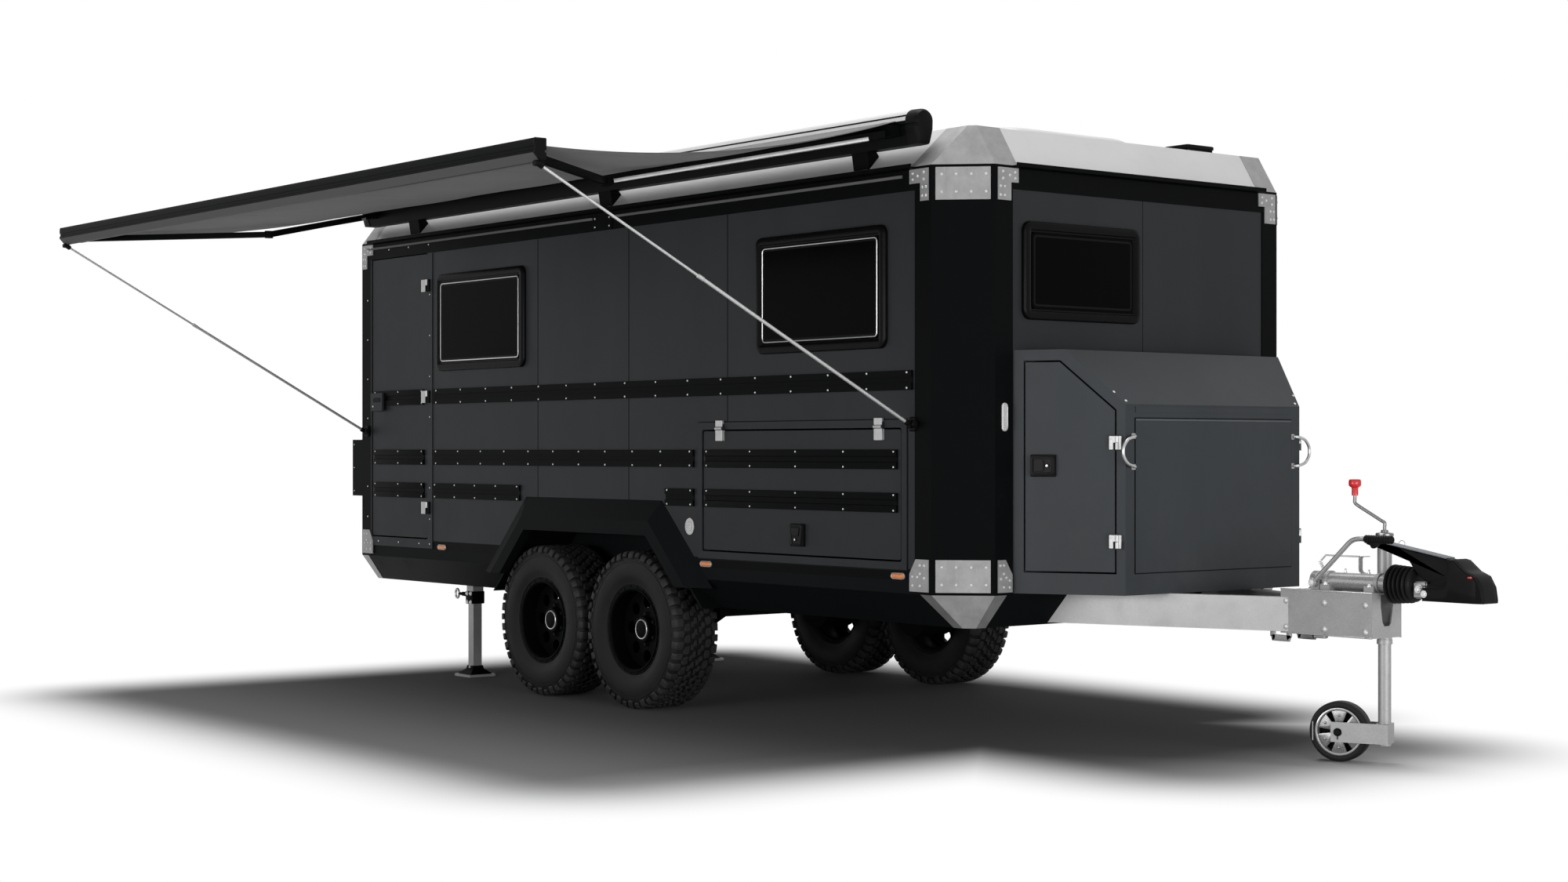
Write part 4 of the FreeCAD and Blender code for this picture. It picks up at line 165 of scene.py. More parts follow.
def painted_panel(name, level, sheen=0.42):
    """Satin grey paint on a composite panel: faint streaks, dust towards the foot, fine orange peel."""
    finish = Finish(name, IOR=1.45, Specular_IOR_Level=0.12)
    height = finish.axes()[2]
    streaks = finish.noise(1.6, 5, 0.6, (1.0, 1.0, 0.25)).step(0.3, 0.75)
    mottle = finish.noise(14, 4, 0.6)
    dust = (0.75 - height).step(0.0, 0.9) * finish.noise(5, 6, 0.7).step(0.42, 0.72)
    base = finish.mix(streaks * 0.5 + mottle * 0.3, grey(level - 5, COOL), grey(level + 6, COOL))
    base = finish.mix(dust * 0.22, base, grey(level + 22))
    peel = finish.noise(260, 2) * 0.7 + mottle * 0.6
    return finish.done(base, mottle * 0.16 + dust * 0.12 + (sheen - 0.05), peel, 0.0006, 0.35)


def coated_metal(name, level, rough, tint=COOL):
    """Powder coating: fine grain and pale rubbed patches."""
    finish = Finish(name, IOR=1.45, Specular_IOR_Level=0.03)
    grain = finish.noise(420, 2)
    rubbed = finish.noise(7, 6, 0.68).step(0.55, 0.78)
    base = finish.mix(rubbed * 0.3 + grain * 0.15, grey(level, tint), grey(level + 12, tint))
    return finish.done(base, rubbed * 0.12 + grain * 0.08 + rough, grain, 0.0005, 0.3)


def bright_roof(name, level):
    """Pale silver paint with soft clouding and a little grime."""
    finish = Finish(name, Metallic=0.25, IOR=1.5)
    cloud = finish.noise(2.2, 5, 0.55)
    grime = finish.noise(9, 6, 0.7).step(0.5, 0.8)
    base = finish.mix(grime * 0.2, finish.mix(cloud, grey(level - 8), grey(level + 10)), grey(180))
    return finish.done(base, cloud * 0.16 + 0.3, finish.noise(180, 2), 0.0004, 0.25)


def cast_plate(name, level):
    """Pale alloy plate: mottled surface with faint scratches."""
    finish = Finish(name, Metallic=0.4, IOR=1.5)
    mottle = finish.noise(16, 6, 0.65)
    scratch = finish.noise(6, 5, 0.7, (30, 30, 1.5)).step(0.55, 0.7)
    base = finish.mix(mottle, grey(level - 22), grey(level + 22))
    base = finish.mix(scratch * 0.25, base, grey(level + 40))
    return finish.done(base, mottle * 0.22 + 0.3, mottle * 0.6 + scratch * 0.4, 0.0008, 0.3)


def drawn_aluminium(name):
    """Satin tube and rod with lengthwise lines."""
    finish = Finish(name, Metallic=0.9, IOR=1.5)
    lines = finish.noise(9, 4, 0.6, (1, 60, 60))
    return finish.done(finish.mix(lines, grey(178), grey(215)), lines * 0.2 + 0.25, lines, 0.0003, 0.25)


def galvanised(name, level):
    """Bright zinc plating: soft clouds, a fine crystal pattern and dull white patches."""
    finish = Finish(name, Metallic=0.3, IOR=1.5, Specular_IOR_Level=0.3)
    shades = finish.node("ShaderNodeSeparateColor", Color=finish.cells(240, "Color"))
    crystal = Value(finish, shades.outputs[0])
    relief = crystal * 0.3 + finish.noise(9, 5, 0.6) * 0.7
    bloom = finish.noise(6, 6, 0.65).step(0.48, 0.75)
    base = finish.mix(bloom * 0.3, finish.mix(relief, grey(level - 18), grey(level + 16)), grey(level + 24))
    return finish.done(base, crystal * 0.06 + bloom * 0.14 + 0.38, relief, 0.0003, 0.25)


def moulded_plastic(name, level, rough=0.4):
    """Moulded plastic with a fine leather-like grain."""
    finish = Finish(name, IOR=1.46, Specular_IOR_Level=0.06)
    grain = finish.noise(520, 3, 0.6)
    wear = finish.noise(12, 5, 0.7).step(0.55, 0.8)
    base = finish.mix(wear * 0.4 + grain * 0.2, grey(level), grey(level + 16))
    return finish.done(base, grain * 0.14 + wear * 0.1 + rough, grain, 0.0006, 0.35)


def tinted_pane(name):
    """Dark acrylic pane with a faint haze, as in a hinged caravan window."""
    finish = Finish(name, IOR=1.49, Specular_IOR_Level=0.02)
    haze = finish.noise(3.5, 5, 0.6)
    dust = finish.noise(60, 4, 0.7).step(0.6, 0.8)
    base = finish.mix(haze * 0.5 + dust * 0.3, grey(3), grey(8))
    return finish.done(base, haze * 0.1 + dust * 0.2 + 0.12, haze, 0.002, 0.1)


SEAM_PITCH = 1.2
THREADS = 2400


def woven_cloth(name):
    """Coated awning cloth: over-and-under weave with a soft seam at each pitch."""
    finish = Finish(name, IOR=1.4, Sheen_Weight=0.15, Sheen_Roughness=0.6)
    x, y = finish.axes()[:2]
    weave = ((x * THREADS).sine() * 0.5 + 0.5) * ((y * THREADS).sine() * 0.5 + 0.5)
    seam = ((x / SEAM_PITCH).fraction() - 0.5).absolute().step(0.006, 0.009)
    cloud = finish.noise(2.5, 5, 0.6)
    base = finish.mix(seam, grey(72), finish.mix(cloud * 0.6 + weave * 0.4, grey(82), grey(108)))
    return finish.done(base, weave * 0.15 + 0.72, weave * 0.4 + seam * 0.6, 0.0008, 0.4)


def rubber(name, level, rough=0.62):
    """Dusty black rubber."""
    finish = Finish(name, IOR=1.5, Specular_IOR_Level=0.16)
    dust = finish.noise(9, 6, 0.72).step(0.45, 0.75)
    grain = finish.noise(300, 3)
    base = finish.mix(dust * 0.55 + grain * 0.1, grey(level), grey(level + 24, (1.03, 1, 0.96)))
    return finish.done(base, dust * 0.2 + grain * 0.08 + rough, grain * 0.5 + dust * 0.3, 0.0008, 0.35)


def clear_lens(name, colour, glow):
    """A moulded lamp lens with fine prisms."""
    finish = Finish(name, IOR=1.5, Coat_Weight=0.5, Coat_Roughness=0.06, Emission_Color=(*colour, 1),
                    Emission_Strength=glow)
    shade = Value(finish, finish.cells(260, "Distance")).step(0.0, 0.6)
    dark = tuple(part * 0.45 for part in colour)
    return finish.done(finish.mix(shade, dark, colour), shade * 0.2 + 0.12, shade, 0.001, 0.5)


def red_knob(name):
    """Glossy red plastic."""
    finish = Finish(name, IOR=1.48, Coat_Weight=0.25)
    grain = finish.noise(160, 3)
    base = finish.mix(grain, (0.52, 0.004, 0.008), (0.72, 0.012, 0.016))
    return finish.done(base, grain * 0.15 + 0.28, grain, 0.0004, 0.25)


def polished_metal(name, level, metallic=0.5):
    """Bright plated steel."""
    finish = Finish(name, Metallic=metallic, IOR=1.5)
    fine = finish.noise(320, 3)
    base = finish.mix(fine, grey(level - 16), grey(level + 20))
    return finish.done(base, fine * 0.16 + 0.2, fine, 0.0002, 0.2)


LOOKS = {
    "panel_grey": painted_panel("panel_paint", 46),
    "locker_grey": painted_panel("locker_paint", 62, 0.36),
    "skirt_black": coated_metal("skirt_coating", 18, 0.46),
    "black_metal": coated_metal("rail_coating", 9, 0.4),
    "underbody_paint": coated_metal("underbody_coating", 18, 0.6),
    "roof_white": bright_roof("roof_paint", 208),
    "plate_aluminium": cast_plate("corner_alloy", 148),
    "bare_aluminium": drawn_aluminium("drawn_alloy"),
    "galvanised_steel": galvanised("zinc_spangle", 160),
    "black_plastic": moulded_plastic("moulded_black", 12),
    "dark_glass": tinted_pane("tinted_acrylic"),
    "awning_cloth": woven_cloth("awning_weave"),
    "castor_rubber": rubber("castor_rubber_skin", 20, 0.5),
    "road_tyre": rubber("tyre_rubber_skin", 18),
    "rim_black": coated_metal("rim_coating", 10, 0.34),
    "amber_lens": clear_lens("amber_lens", (0.75, 0.20, 0.015), 0.12),
}
BRIGHT = polished_metal("bright_zinc", 214, 0.4)
PALE_METAL = cast_plate("hinge_alloy", 186)
SILVER = drawn_aluminium("crown_alloy")
CASE_BLACK = coated_metal("case_coating", 12, 0.36)
DARK_STEEL = coated_metal("bolt_coating", 26, 0.3)
GLOSS_BLACK = moulded_plastic("window_gloss", 9, 0.2)
TYRE = rubber("tread_rubber", 18, 0.52)
RED_LENS = clear_lens("red_lens", (0.5, 0.01, 0.01), 0.08)
RED = red_knob("red_grip")
HITCH_BLACK = moulded_plastic("hitch_black", 20, 0.36)
# A light grey for the top of the black coupling handle: a painted highlight.
HANDLE_HIGHLIGHT_GREY = painted_panel("handle_highlight_paint", 122, 0.4)
BELLOWS = moulded_plastic("bellows_rubber", 26, 0.3)
CASTOR = rubber("castor_band", 20, 0.5)
ZINC_SMOOTH = polished_metal("smooth_zinc", 164, 0.6)
SPOKE_METAL = polished_metal("pressed_zinc", 120)
CHROMED = polished_metal("chromed_bar", 176, 0.7)
CRANK_STEEL = polished_metal("crank_steel", 116)
STRUT_METAL = polished_metal("strut_metal", 190)
DOME_WHITE = bright_roof("dome_white", 204)
LIP_METAL = coated_metal("lip_coating", 78, 0.4, NEUTRAL)
# A mid grey for the bead under the gutter: a painted highlight on a black rail.
GUTTER_HIGHLIGHT_METAL = coated_metal("gutter_highlight_coating", 96, 0.36, NEUTRAL)
# A grey for the moulded latches on their black seats: a painted highlight.
LATCH_HIGHLIGHT_GREY = moulded_plastic("latch_highlight_plastic", 34, 0.3)
# A lighter rubber for the tread blocks: a painted highlight on their edges.
TREAD_HIGHLIGHT_RUBBER = rubber("tread_highlight_blocks", 40, 0.5)
# A pale grey for the locker panel's upper edge: a painted highlight.
PANEL_HIGHLIGHT_GREY = painted_panel("panel_highlight_paint", 96, 0.4)
WHITE_PLASTIC = moulded_plastic("white_plastic", 214)


def dress_frame():
    """Every CAD node takes the material of its slot in the record."""
    for entry in frame["record"]["subparts"]:
        mesh = frame["nodes"][entry["node"]].data
        mesh.materials.clear()
        mesh.materials.append(LOOKS[entry["material_slot"]])


# Forms: surfaces worked out as whole arrays, before they become pieces

class Form:
    """Points, and groups of faces that each have one number of corners."""

    def __init__(self, points, faces):
        self.points = np.asarray(points, float).reshape(-1, 3)
        self.faces = [np.asarray(group, int) for group in faces]

    def at(self, x=0.0, y=0.0, z=0.0):
        """Every point moved by the same distances."""
        return Form(self.points + (x, y, z), self.faces)

    def turned(self, axis, degrees):
        """Every point turned about an axis through the origin."""
        first, second = {"X": (1, 2), "Y": (2, 0), "Z": (0, 1)}[axis]
        turn = math.radians(degrees)
        points = self.points.copy()
        points[:, first] = self.points[:, first] * math.cos(turn) - self.points[:, second] * math.sin(turn)
        points[:, second] = self.points[:, first] * math.sin(turn) + self.points[:, second] * math.cos(turn)
        return Form(points, self.faces)

    def laid(self, plane):
        """A form drawn as (across, up, out) set on a plane: right and left sides, front or rear."""
        u, v, w = self.points.T
        columns = {"right": (u, -w, v), "left": (u, w, v), "front": (w, u, v), "rear": (-w, u, v)}[plane]
        return Form(np.stack(columns, axis=1), self.faces)

    def other_side(self):
        """The mirror image in Y."""
        return Form(self.points * (1, -1, 1), [group[:, ::-1] for group in self.faces])


def together(forms):
    """Several forms as one."""
    offset = 0
    faces = []
    for form in forms:
        faces += [group + offset for group in form.faces]
        offset += len(form.points)
    return Form(np.concatenate([form.points for form in forms]), faces)


def copies(form, points):
    """A form's faces on each of many sets of its points."""
    shift = (np.arange(len(points)) * len(form.points))[:, None, None]
    return Form(points, [(group[None] + shift).reshape(-1, group.shape[1]) for group in form.faces])


def repeated(form, spots):
    """A small form at each of many spots: every spot is added to every point."""
    spots = np.asarray(spots, float).reshape(-1, 3)
    return copies(form, spots[:, None] + form.points)


def both(*forms):
    """Forms and their mirror images on the other side."""
    form = together(forms)
    return together([form, form.other_side()])


def on_sides(form):
    """A form drawn as (across, up, out) on the right and on the left side wall."""
    return [form.laid("right"), form.laid("left")]


def mm(points):
    """Points written in millimetres, as an array in metres."""
    return np.array(points) / 1000


def surface(points, close_rows=False, close_columns=False, ends=False):
    """A grid of points joined into four-cornered faces; ends fills the first and last row."""
    points = np.asarray(points, float)
    rows, columns = points.shape[:2]
    index = np.arange(rows * columns).reshape(rows, columns)
    if close_rows:
        index = np.concatenate([index, index[:1]])
    if close_columns:
        index = np.concatenate([index, index[:, :1]], axis=1)
    quads = np.stack([index[:-1, :-1], index[1:, :-1], index[1:, 1:], index[:-1, 1:]], axis=-1).reshape(-1, 4)
    faces = [quads]
    if ends:
        last = np.arange(columns) + (rows - 1) * columns
        faces += [np.arange(columns)[None], last[None, ::-1]]
    return Form(points, faces)


def loft(rings):
    """Closed rings of points joined in order, the first and the last filled."""
    return surface(rings, close_columns=True, ends=True)


def hoop(rings):
    """Closed rings of points joined in order, and the last to the first."""
    return surface(rings, close_rows=True, close_columns=True)


def level(ring, place, column=2):
    """A flat ring, given the same place in one more column: 0 for x, 1 for y, 2 for z."""
    return np.insert(np.asarray(ring, float), column, place, axis=1)


def circle(count, start=0.0):
    """Angles evenly round a circle."""
    return start + np.arange(count) * 2 * math.pi / count


def spun(section, sides, axis, start=0.0):
    """Rings of points: a section of (radius, along) turned about an axis."""
    radius, along = np.asarray(section, float).T[:, :, None]
    turn = circle(sides, start)
    a = radius * np.cos(turn)
    b = radius * np.sin(turn)
    c = along + 0 * turn
    return np.stack({"X": (c, a, b), "Y": (b, c, a), "Z": (a, b, c)}[axis], axis=-1)


def lathe(section, sides=32, axis="Y", start=0.0):
    """A section of (radius, along) turned about an axis, filled at both ends."""
    return loft(spun(section, sides, axis, start))


def ring_lathe(section, sides=48, axis="Y"):
    """A closed section turned about an axis, which leaves a hole in the middle."""
    return hoop(spun(section, sides, axis))


def outward(outline):
    """The mitre at each corner of a closed outline: both edge normals' sum over one plus their product."""
    after = np.roll(outline, -1, axis=0)
    edge = after - outline
    edge /= np.linalg.norm(edge, axis=1)[:, None]
    normal = np.stack([edge[:, 1], -edge[:, 0]], axis=1)
    before = np.roll(normal, 1, axis=0)
    area = np.sum(outline[:, 0] * after[:, 1] - after[:, 0] * outline[:, 1])
    mitre = (normal + before) / (1 + np.sum(normal * before, axis=1))[:, None]
    return mitre * (1 if area > 0 else -1)


def plate(outline, low, high, edge=0.0):
    """A flat outline given thickness, its upper edge drawn in by a chamfer: (across, up, out)."""
    inner = outline - outward(outline) * edge
    return loft([level(outline, low), level(outline, high - edge), level(inner, high)])


def carried(section, outline):
    """A closed section of (outwards, out) carried round a closed outline with mitred corners."""
    mitre = outward(outline)
    return hoop([level(outline + mitre * offset, out) for offset, out in section])


def rounded(width, height, radius, steps=6):
    """A rectangle about the origin with round corners, anticlockwise."""
    turn = np.linspace(0, math.pi / 2, steps + 1)
    corners = []
    for index, signs in enumerate(((1, 1), (-1, 1), (-1, -1), (1, -1))):
        angle = turn + index * math.pi / 2
        middle = np.array(signs) * (width / 2 - radius, height / 2 - radius)
        corners.append(middle + np.column_stack([np.cos(angle), np.sin(angle)]) * radius)
    return np.concatenate(corners)


def slab(width, height, radius, steps, low, high, edge=0.0):
    """A round-cornered plate about the origin."""
    return plate(rounded(width, height, radius, steps), low, high, edge)


def stadium(width, height, steps=8):
    """A shape with half-round ends."""
    return rounded(width, height, height / 2 - 0.0001, steps)


def block(x, y, z, edge=0.003):
    """A block between two X, Y and Z places, all its edges drawn in by a chamfer."""
    half = np.array([x[1] - x[0], y[1] - y[0]]) / 2
    corner = np.repeat([(1, 1), (-1, 1), (-1, -1), (1, -1)], 2, axis=0)
    cut = np.array([(0, 1), (1, 0), (1, 0), (0, 1)] * 2)
    full = corner * (half - cut * edge)
    small = full - corner * edge
    rings = ((small, z[0]), (full, z[0] + edge), (full, z[1] - edge), (small, z[1]))
    return loft([level(ring, place) for ring, place in rings]).at(sum(x) / 2, sum(y) / 2)


def frames_along(path, reference):
    """At each point of a path, two directions square to it: across the reference, and square to both."""
    along = np.gradient(path, axis=0)
    along /= np.linalg.norm(along, axis=1)[:, None]
    across = np.cross(along, np.asarray(reference, float))
    across /= np.linalg.norm(across, axis=1)[:, None]
    return across, np.cross(across, along)


def swept(outline, path, reference=(0, 1, 0)):
    """An outline of (across, above), or one for each point, carried along a path."""
    across, above = frames_along(path, reference)
    return loft(path[:, None] + across[:, None] * outline[..., :1] + above[:, None] * outline[..., 1:])


def tube(path, radius, sides=16, reference=(0, 1, 0)):
    """A circle carried along a path, with one radius or one for each point."""
    ring = np.column_stack([np.cos(circle(sides)), np.sin(circle(sides))])
    radius = np.broadcast_to(radius, len(path))[:, None, None]
    return swept(radius * ring, path, reference)


def cubic(a, b, c, d, share):
    """The Catmull-Rom cubic that runs from b to c."""
    return 0.5 * (2 * b + (c - a) * share + (2 * a - 5 * b + 4 * c - d) * share ** 2
                  + (3 * b - a - 3 * c + d) * share ** 3)


def smooth_path(corners, steps=8):
    """An open curve through points."""
    ends = np.concatenate([2 * corners[:1] - corners[1:2], corners, 2 * corners[-1:] - corners[-2:-1]])
    share = np.linspace(0, 1, steps, endpoint=False)[:, None]
    runs = [cubic(*ends[index:index + 4], share) for index in range(len(corners) - 1)]
    return np.concatenate(runs + [corners[-1:]])


def smooth_closed(outline, steps=3):
    """A closed curve through points."""
    share = np.linspace(0, 1, steps, endpoint=False)[None, :, None]
    near = (np.roll(outline, shift, axis=0)[:, None] for shift in (1, 0, -1, -2))
    return cubic(*near, share).reshape(-1, 2)


def piece(name, forms, slot, look=None, body="trailer", replaces=(), crease=32):
    """One Blender object from forms: near points merged, faces turned outwards, sharp edges kept."""
    form = together(forms) if isinstance(forms, (list, tuple)) else forms
    mesh = bpy.data.meshes.new(name)
    mesh.from_pydata(form.points.tolist(), [], [face for group in form.faces for face in group.tolist()])
    solid = bmesh.new()
    solid.from_mesh(mesh)
    bmesh.ops.remove_doubles(solid, verts=solid.verts, dist=1e-6)
    bmesh.ops.recalc_face_normals(solid, faces=solid.faces)
    solid.to_mesh(mesh)
    solid.free()
    mesh.shade_smooth()
    mesh.set_sharp_from_angle(angle=math.radians(crease))
    mesh.materials.append(look or LOOKS[slot])
    made = bpy.data.objects.new(name, mesh)
    bpy.context.scene.collection.objects.link(made)
    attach(made, body)
    if replaces:
        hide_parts(*replaces)
    return made


def side_pieces(name, pair, slot, look=None, body=None):
    """One piece on each side, the right one first, riding that side's body where one is named."""
    for side, placed in zip(("right", "left"), pair):
        piece(f"{name}_{side}", placed, slot, look, f"{body}_{side}" if body else "trailer")


def thickened(made, thickness):
    """An open surface given a thickness on its inner side."""
    skin = made.modifiers.new("thickness", "SOLIDIFY")
    skin.thickness = thickness
    skin.offset = -1


# Places on the trailer, in metres, as the solids have them

SIDE = 1.118
FRONT = -1.975
REAR = -7.057
CORNER = 0.192
NOSE = -1.783
TAIL = -7.249
WALL_TOP = 1.82
LOCKER_FACE = -1.35
AXLES = {"front": -4.221, "rear": -5.065}
WHEEL_HEIGHT = -0.3235
WHEEL_MIDDLE = 1.0075
SLANT = math.sqrt(0.5)


def crossing(us, vs, w):
    """Every pairing of two lists of places, at one height out from the wall."""
    u, v = np.meshgrid(us, vs)
    return np.column_stack([u.ravel(), v.ravel(), np.full(u.size, w)])


# Screws

def screw_head(radius=0.0052, height=0.003, sides=8):
    """A low round head."""
    section = [(radius, -0.002), (radius, height * 0.3), (radius * 0.72, height * 0.85), (0, height)]
    return lathe(section, sides, "Z")


def socket_screw(radius, height):
    """A round head with a sunk socket."""
    section = [
        (radius, -0.002), (radius, height * 0.45), (radius * 0.75, height), (radius * 0.38, height),
        (radius * 0.34, height * 0.35), (0, height * 0.35),
    ]
    return lathe(section, 10, "Z")


def hex_bolt(radius, height, washer=1.35):
    """A six-sided head with a chamfered top on a round washer."""
    turn = circle(6, math.pi / 6)
    outline = np.column_stack([np.cos(turn), np.sin(turn)]) * radius
    thick = height * 0.22
    wide = radius * washer
    disc = lathe([(0, -0.002), (wide, -0.002), (wide, thick), (0, thick)], 16, "Z")
    return together([plate(outline, thick, height, radius * 0.12), disc])


RAIL_HEIGHTS = (0.354, 0.545, 0.892)
RAIL_FACE = SIDE + 0.012
SCREW_RISE = 0.034


def rail_screws(*runs):
    """Two rows of screws on each run of a rail: first x, last x, how many, height."""
    spots = [crossing(np.linspace(first, last, count), (height - SCREW_RISE, height + SCREW_RISE), RAIL_FACE)
             for first, last, count, height in runs]
    return repeated(screw_head(), np.concatenate(spots))


def make_rail_screws():
    """Screws on the rails: on the body's own rails, and on those that the door and the hatches carry."""
    low, middle, high = RAIL_HEIGHTS
    shared = rail_screws((-3.918, -3.722, 2, low), (-2.124, -6.175, 16, high), (-3.728, -6.178, 11, middle),
                         (-5.312, -6.19, 5, low))
    left_end = rail_screws(*((-6.42, -6.9, 3, height) for height in RAIL_HEIGHTS))
    piece("rail_screws", [*on_sides(shared), left_end.laid("left")], "plate_aluminium", BRIGHT)
    door = rail_screws(*((-6.886, -6.34, 3, height) for height in RAIL_HEIGHTS))
    piece("door_rail_screws", door.laid("right"), "plate_aluminium", BRIGHT, "entrance")
    hatch = rail_screws(*((-2.212, -3.59, 5, height) for height in (low, middle)))
    side_pieces("hatch_rail_screws", on_sides(hatch), "plate_aluminium", BRIGHT, "storage_hatch")


def make_trim_screws():
    """Screws along the entrance frame, the bands and the rear locker's sides."""
    face = SIDE + 0.005
    head = screw_head(0.0048, 0.0026)
    header = crossing((-6.945, -6.733, -6.502, -6.272), 1.766, face)
    strips = crossing((-6.258, -6.99), (1.479, 1.244, 1.009, 0.776, 0.37, 0.19), face)
    foot = crossing((-6.86, -6.62, -6.38, -6.26), 0.047, face)
    right = repeated(head, np.concatenate([header, strips, foot])).laid("right")
    left = repeated(head, header).laid("left")
    edge = repeated(head, crossing((TAIL - 0.05, TAIL - 0.25), (0.335, 0.478, 0.62), 0.94))
    piece("trim_screws", [right, left, *on_sides(edge)], "plate_aluminium", BRIGHT)


# Lines on the walls

SEAMS = ((-3.435, 0.722), (-4.266, 0.280), (-5.119, 0.280))
BAND_FOOT = 1.718
LINE_STAND = 0.0006
GUTTER_BEAD = mm([(0, 0), (1, 6), (4, 8), (10, 8), (13, 6), (14, 0)])
GUTTER_RUNS = ((-6.990, -4.585), (-4.408, -2.160))


def line_round(width, height, thick):
    """A thin line round a rectangle about the origin."""
    section = [(0.0, -0.001), (0.0, LINE_STAND), (thick, LINE_STAND), (thick, -0.001)]
    return carried(section, rounded(width, height, 0.0004, 1))


def bar(section, x0, x1, ease, share):
    """A section of (up, out) carried along a wall, drawn in to a share over a short run at each end."""
    rings = ((x0, share), (x0 + ease, 1.0), (x1 - ease, 1.0), (x1, share))
    return loft([level(section * shrink, x, 0) for x, shrink in rings])


def make_wall_lines():
    """Dark seams between the panels, a dark line round each hatch frame, and a grey bead under the gutter, a
    painted highlight.
    """
    lines = [line_round(1.536, 0.658, 0.0055).at(-2.901, 0.390, SIDE)]
    for x, foot in SEAMS:
        seam = slab(0.0065, BAND_FOOT - foot, 0.0004, 1, -0.001, LINE_STAND)
        lines.append(seam.at(x, (BAND_FOOT + foot) / 2, SIDE))
    piece("wall_lines", on_sides(together(lines)), "black_plastic")
    # The grey bead is a painted highlight along the black gutter.
    gutter = together([bar(GUTTER_BEAD, *ends, 0.004, (1.0, 0.7)) for ends in GUTTER_RUNS])
    piece("gutter_highlight_beads", on_sides(gutter.at(0, 1.776, SIDE + 0.0045)), "black_metal", GUTTER_HIGHLIGHT_METAL)


def make_locker_lines():
    """A pale strip along the raised panel's upper edge, a painted highlight, and a dark line round the panel,
    painted shade at its edges.
    """
    # The pale strip is a painted highlight along the raised panel's upper edge.
    edge = slab(1.020, 0.007, 0.002, 2, 0.003, 0.0048, 0.0008).at(0, 0.7165, LOCKER_FACE)
    piece("locker_panel_highlight_strip", edge.laid("front"), "locker_grey", PANEL_HIGHLIGHT_GREY)
    # The dark line round the raised panel is painted shade at its edges.
    ring = line_round(1.024, 0.661, 0.005).at(0, 0.3905, LOCKER_FACE)
    piece("locker_panel_shade_line", ring.laid("front"), "black_plastic")


# Corners

PLATE_OUT = 0.010
TOP_SCREWS = mm([
    (112, 18), (112, 44), (80, 32), (40, 18), (40, 48), (26, 82), (50, 82), (26, 120), (50, 120),
])
FOOT_SIDE_SCREWS = mm([(65, 26), (37, 26), (65, 62), (112, 77), (81, 77), (37, 80), (112, 115), (65, 115)])
FOOT_END_SCREWS = mm([(45, 24), (24, 24), (45, 60), (80, 90), (60, 76), (28, 82), (80, 120), (45, 118)])


def corner_spots(along, heights, end, way):
    """Places on a slanted corner's plates, as (x, y, z); along is measured in x from the side's end."""
    out = PLATE_OUT * SLANT
    s, z = (grid.ravel() for grid in np.meshgrid(along, heights))
    return np.column_stack([end + way * (s + out), s - SIDE - out, z])


def make_corner_screws():
    """Sunk screws in the corner plates: rows on the slants, scattered ones on the L-shaped brackets."""
    head = socket_screw(0.0065, 0.004)
    top = WALL_TOP - 0.012
    foot = 0.111
    forms = []
    heights = (top - 0.031, top - 0.107, foot - 0.031, foot - 0.107)
    for end, way, turn in ((FRONT, 1, -45), (REAR, -1, -135)):
        spots = corner_spots((0.031, 0.075, 0.121, 0.166), heights, end, way)
        forms.append(repeated(head.turned("Y", 90).turned("Z", turn), spots))
    brackets = ((FOOT_SIDE_SCREWS, FOOT_END_SCREWS, foot), (TOP_SCREWS, TOP_SCREWS, top))
    for side_spots, end_spots, height in brackets:
        for end, way in ((FRONT, -1), (REAR, 1)):
            places = level(side_spots, 0) * (way, -1, 1) + (end, height, SIDE + PLATE_OUT)
            forms.append(repeated(head, places).laid("right"))
        for plane, face in (("front", NOSE + PLATE_OUT), ("rear", -TAIL + PLATE_OUT)):
            places = level(end_spots, 0) * (1, -1, 1) + (CORNER - SIDE, height, face)
            forms.append(repeated(head, places).laid(plane))
    piece("corner_screws", both(*forms), "plate_aluminium", BRIGHT)


# Awning

CASE_SPAN = (-6.975, -2.125)
CASE_Y = -1.085
CASE_ROUND = 2.024
CASE_LOW = 1.920
CLOTH_SPAN = (-6.925, -2.19)
CLOTH_ROOT = (-1.136, 2.030)
CLOTH_END = (-2.972, 1.776)
CLOTH_SAG = 0.078
CLOTH_THICKNESS = 0.003


def cloth_points(columns=120, rows=48):
    """The cloth's middle surface: a straight line from case to lead rail less a parabola of sag.

    Small waves along the trailer die out where the cloth is held, and its two ends lift by 4 mm.
    """
    share = np.linspace(0, 1, rows)[:, None]
    x = np.linspace(*CLOTH_SPAN, columns)
    hold = 4 * share * (1 - share)
    y, line = (root + (end - root) * share for root, end in zip(CLOTH_ROOT, CLOTH_END))
    across = (x - CLOTH_SPAN[0]) / (CLOTH_SPAN[1] - CLOTH_SPAN[0])
    edge = np.exp(-across / 0.02) + np.exp(-(1 - across) / 0.02)
    wave = 0.0022 * np.sin(x * 5.1) + 0.0016 * np.sin(x * 12.7 + 1.0)
    z = line + (wave + 0.004 * edge - CLOTH_SAG) * hold
    return np.stack(np.broadcast_arrays(x, y, z), axis=-1)


def make_cloth():
    """The cloth, a sheet held stretched between the case and the lead rail, and its two hems."""
    points = cloth_points()
    cloth = piece("awning_cloth", surface(points), "awning_cloth", replaces=("awning_fabric",))
    thickened(cloth, CLOTH_THICKNESS)
    hem = rounded(0.030, 0.0055, 0.0024, 3)
    hems = [swept(hem, points[::2, edge] - (0, 0, CLOTH_THICKNESS / 2), (0, 0, 1)) for edge in (2, -3)]
    piece("awning_hems", hems, "awning_cloth")


def case_arc(radius, turn):
    """Points round the case's crown, as (y, z)."""
    return np.column_stack([np.cos(turn), np.sin(turn)]) * radius + (CASE_Y, CASE_ROUND)


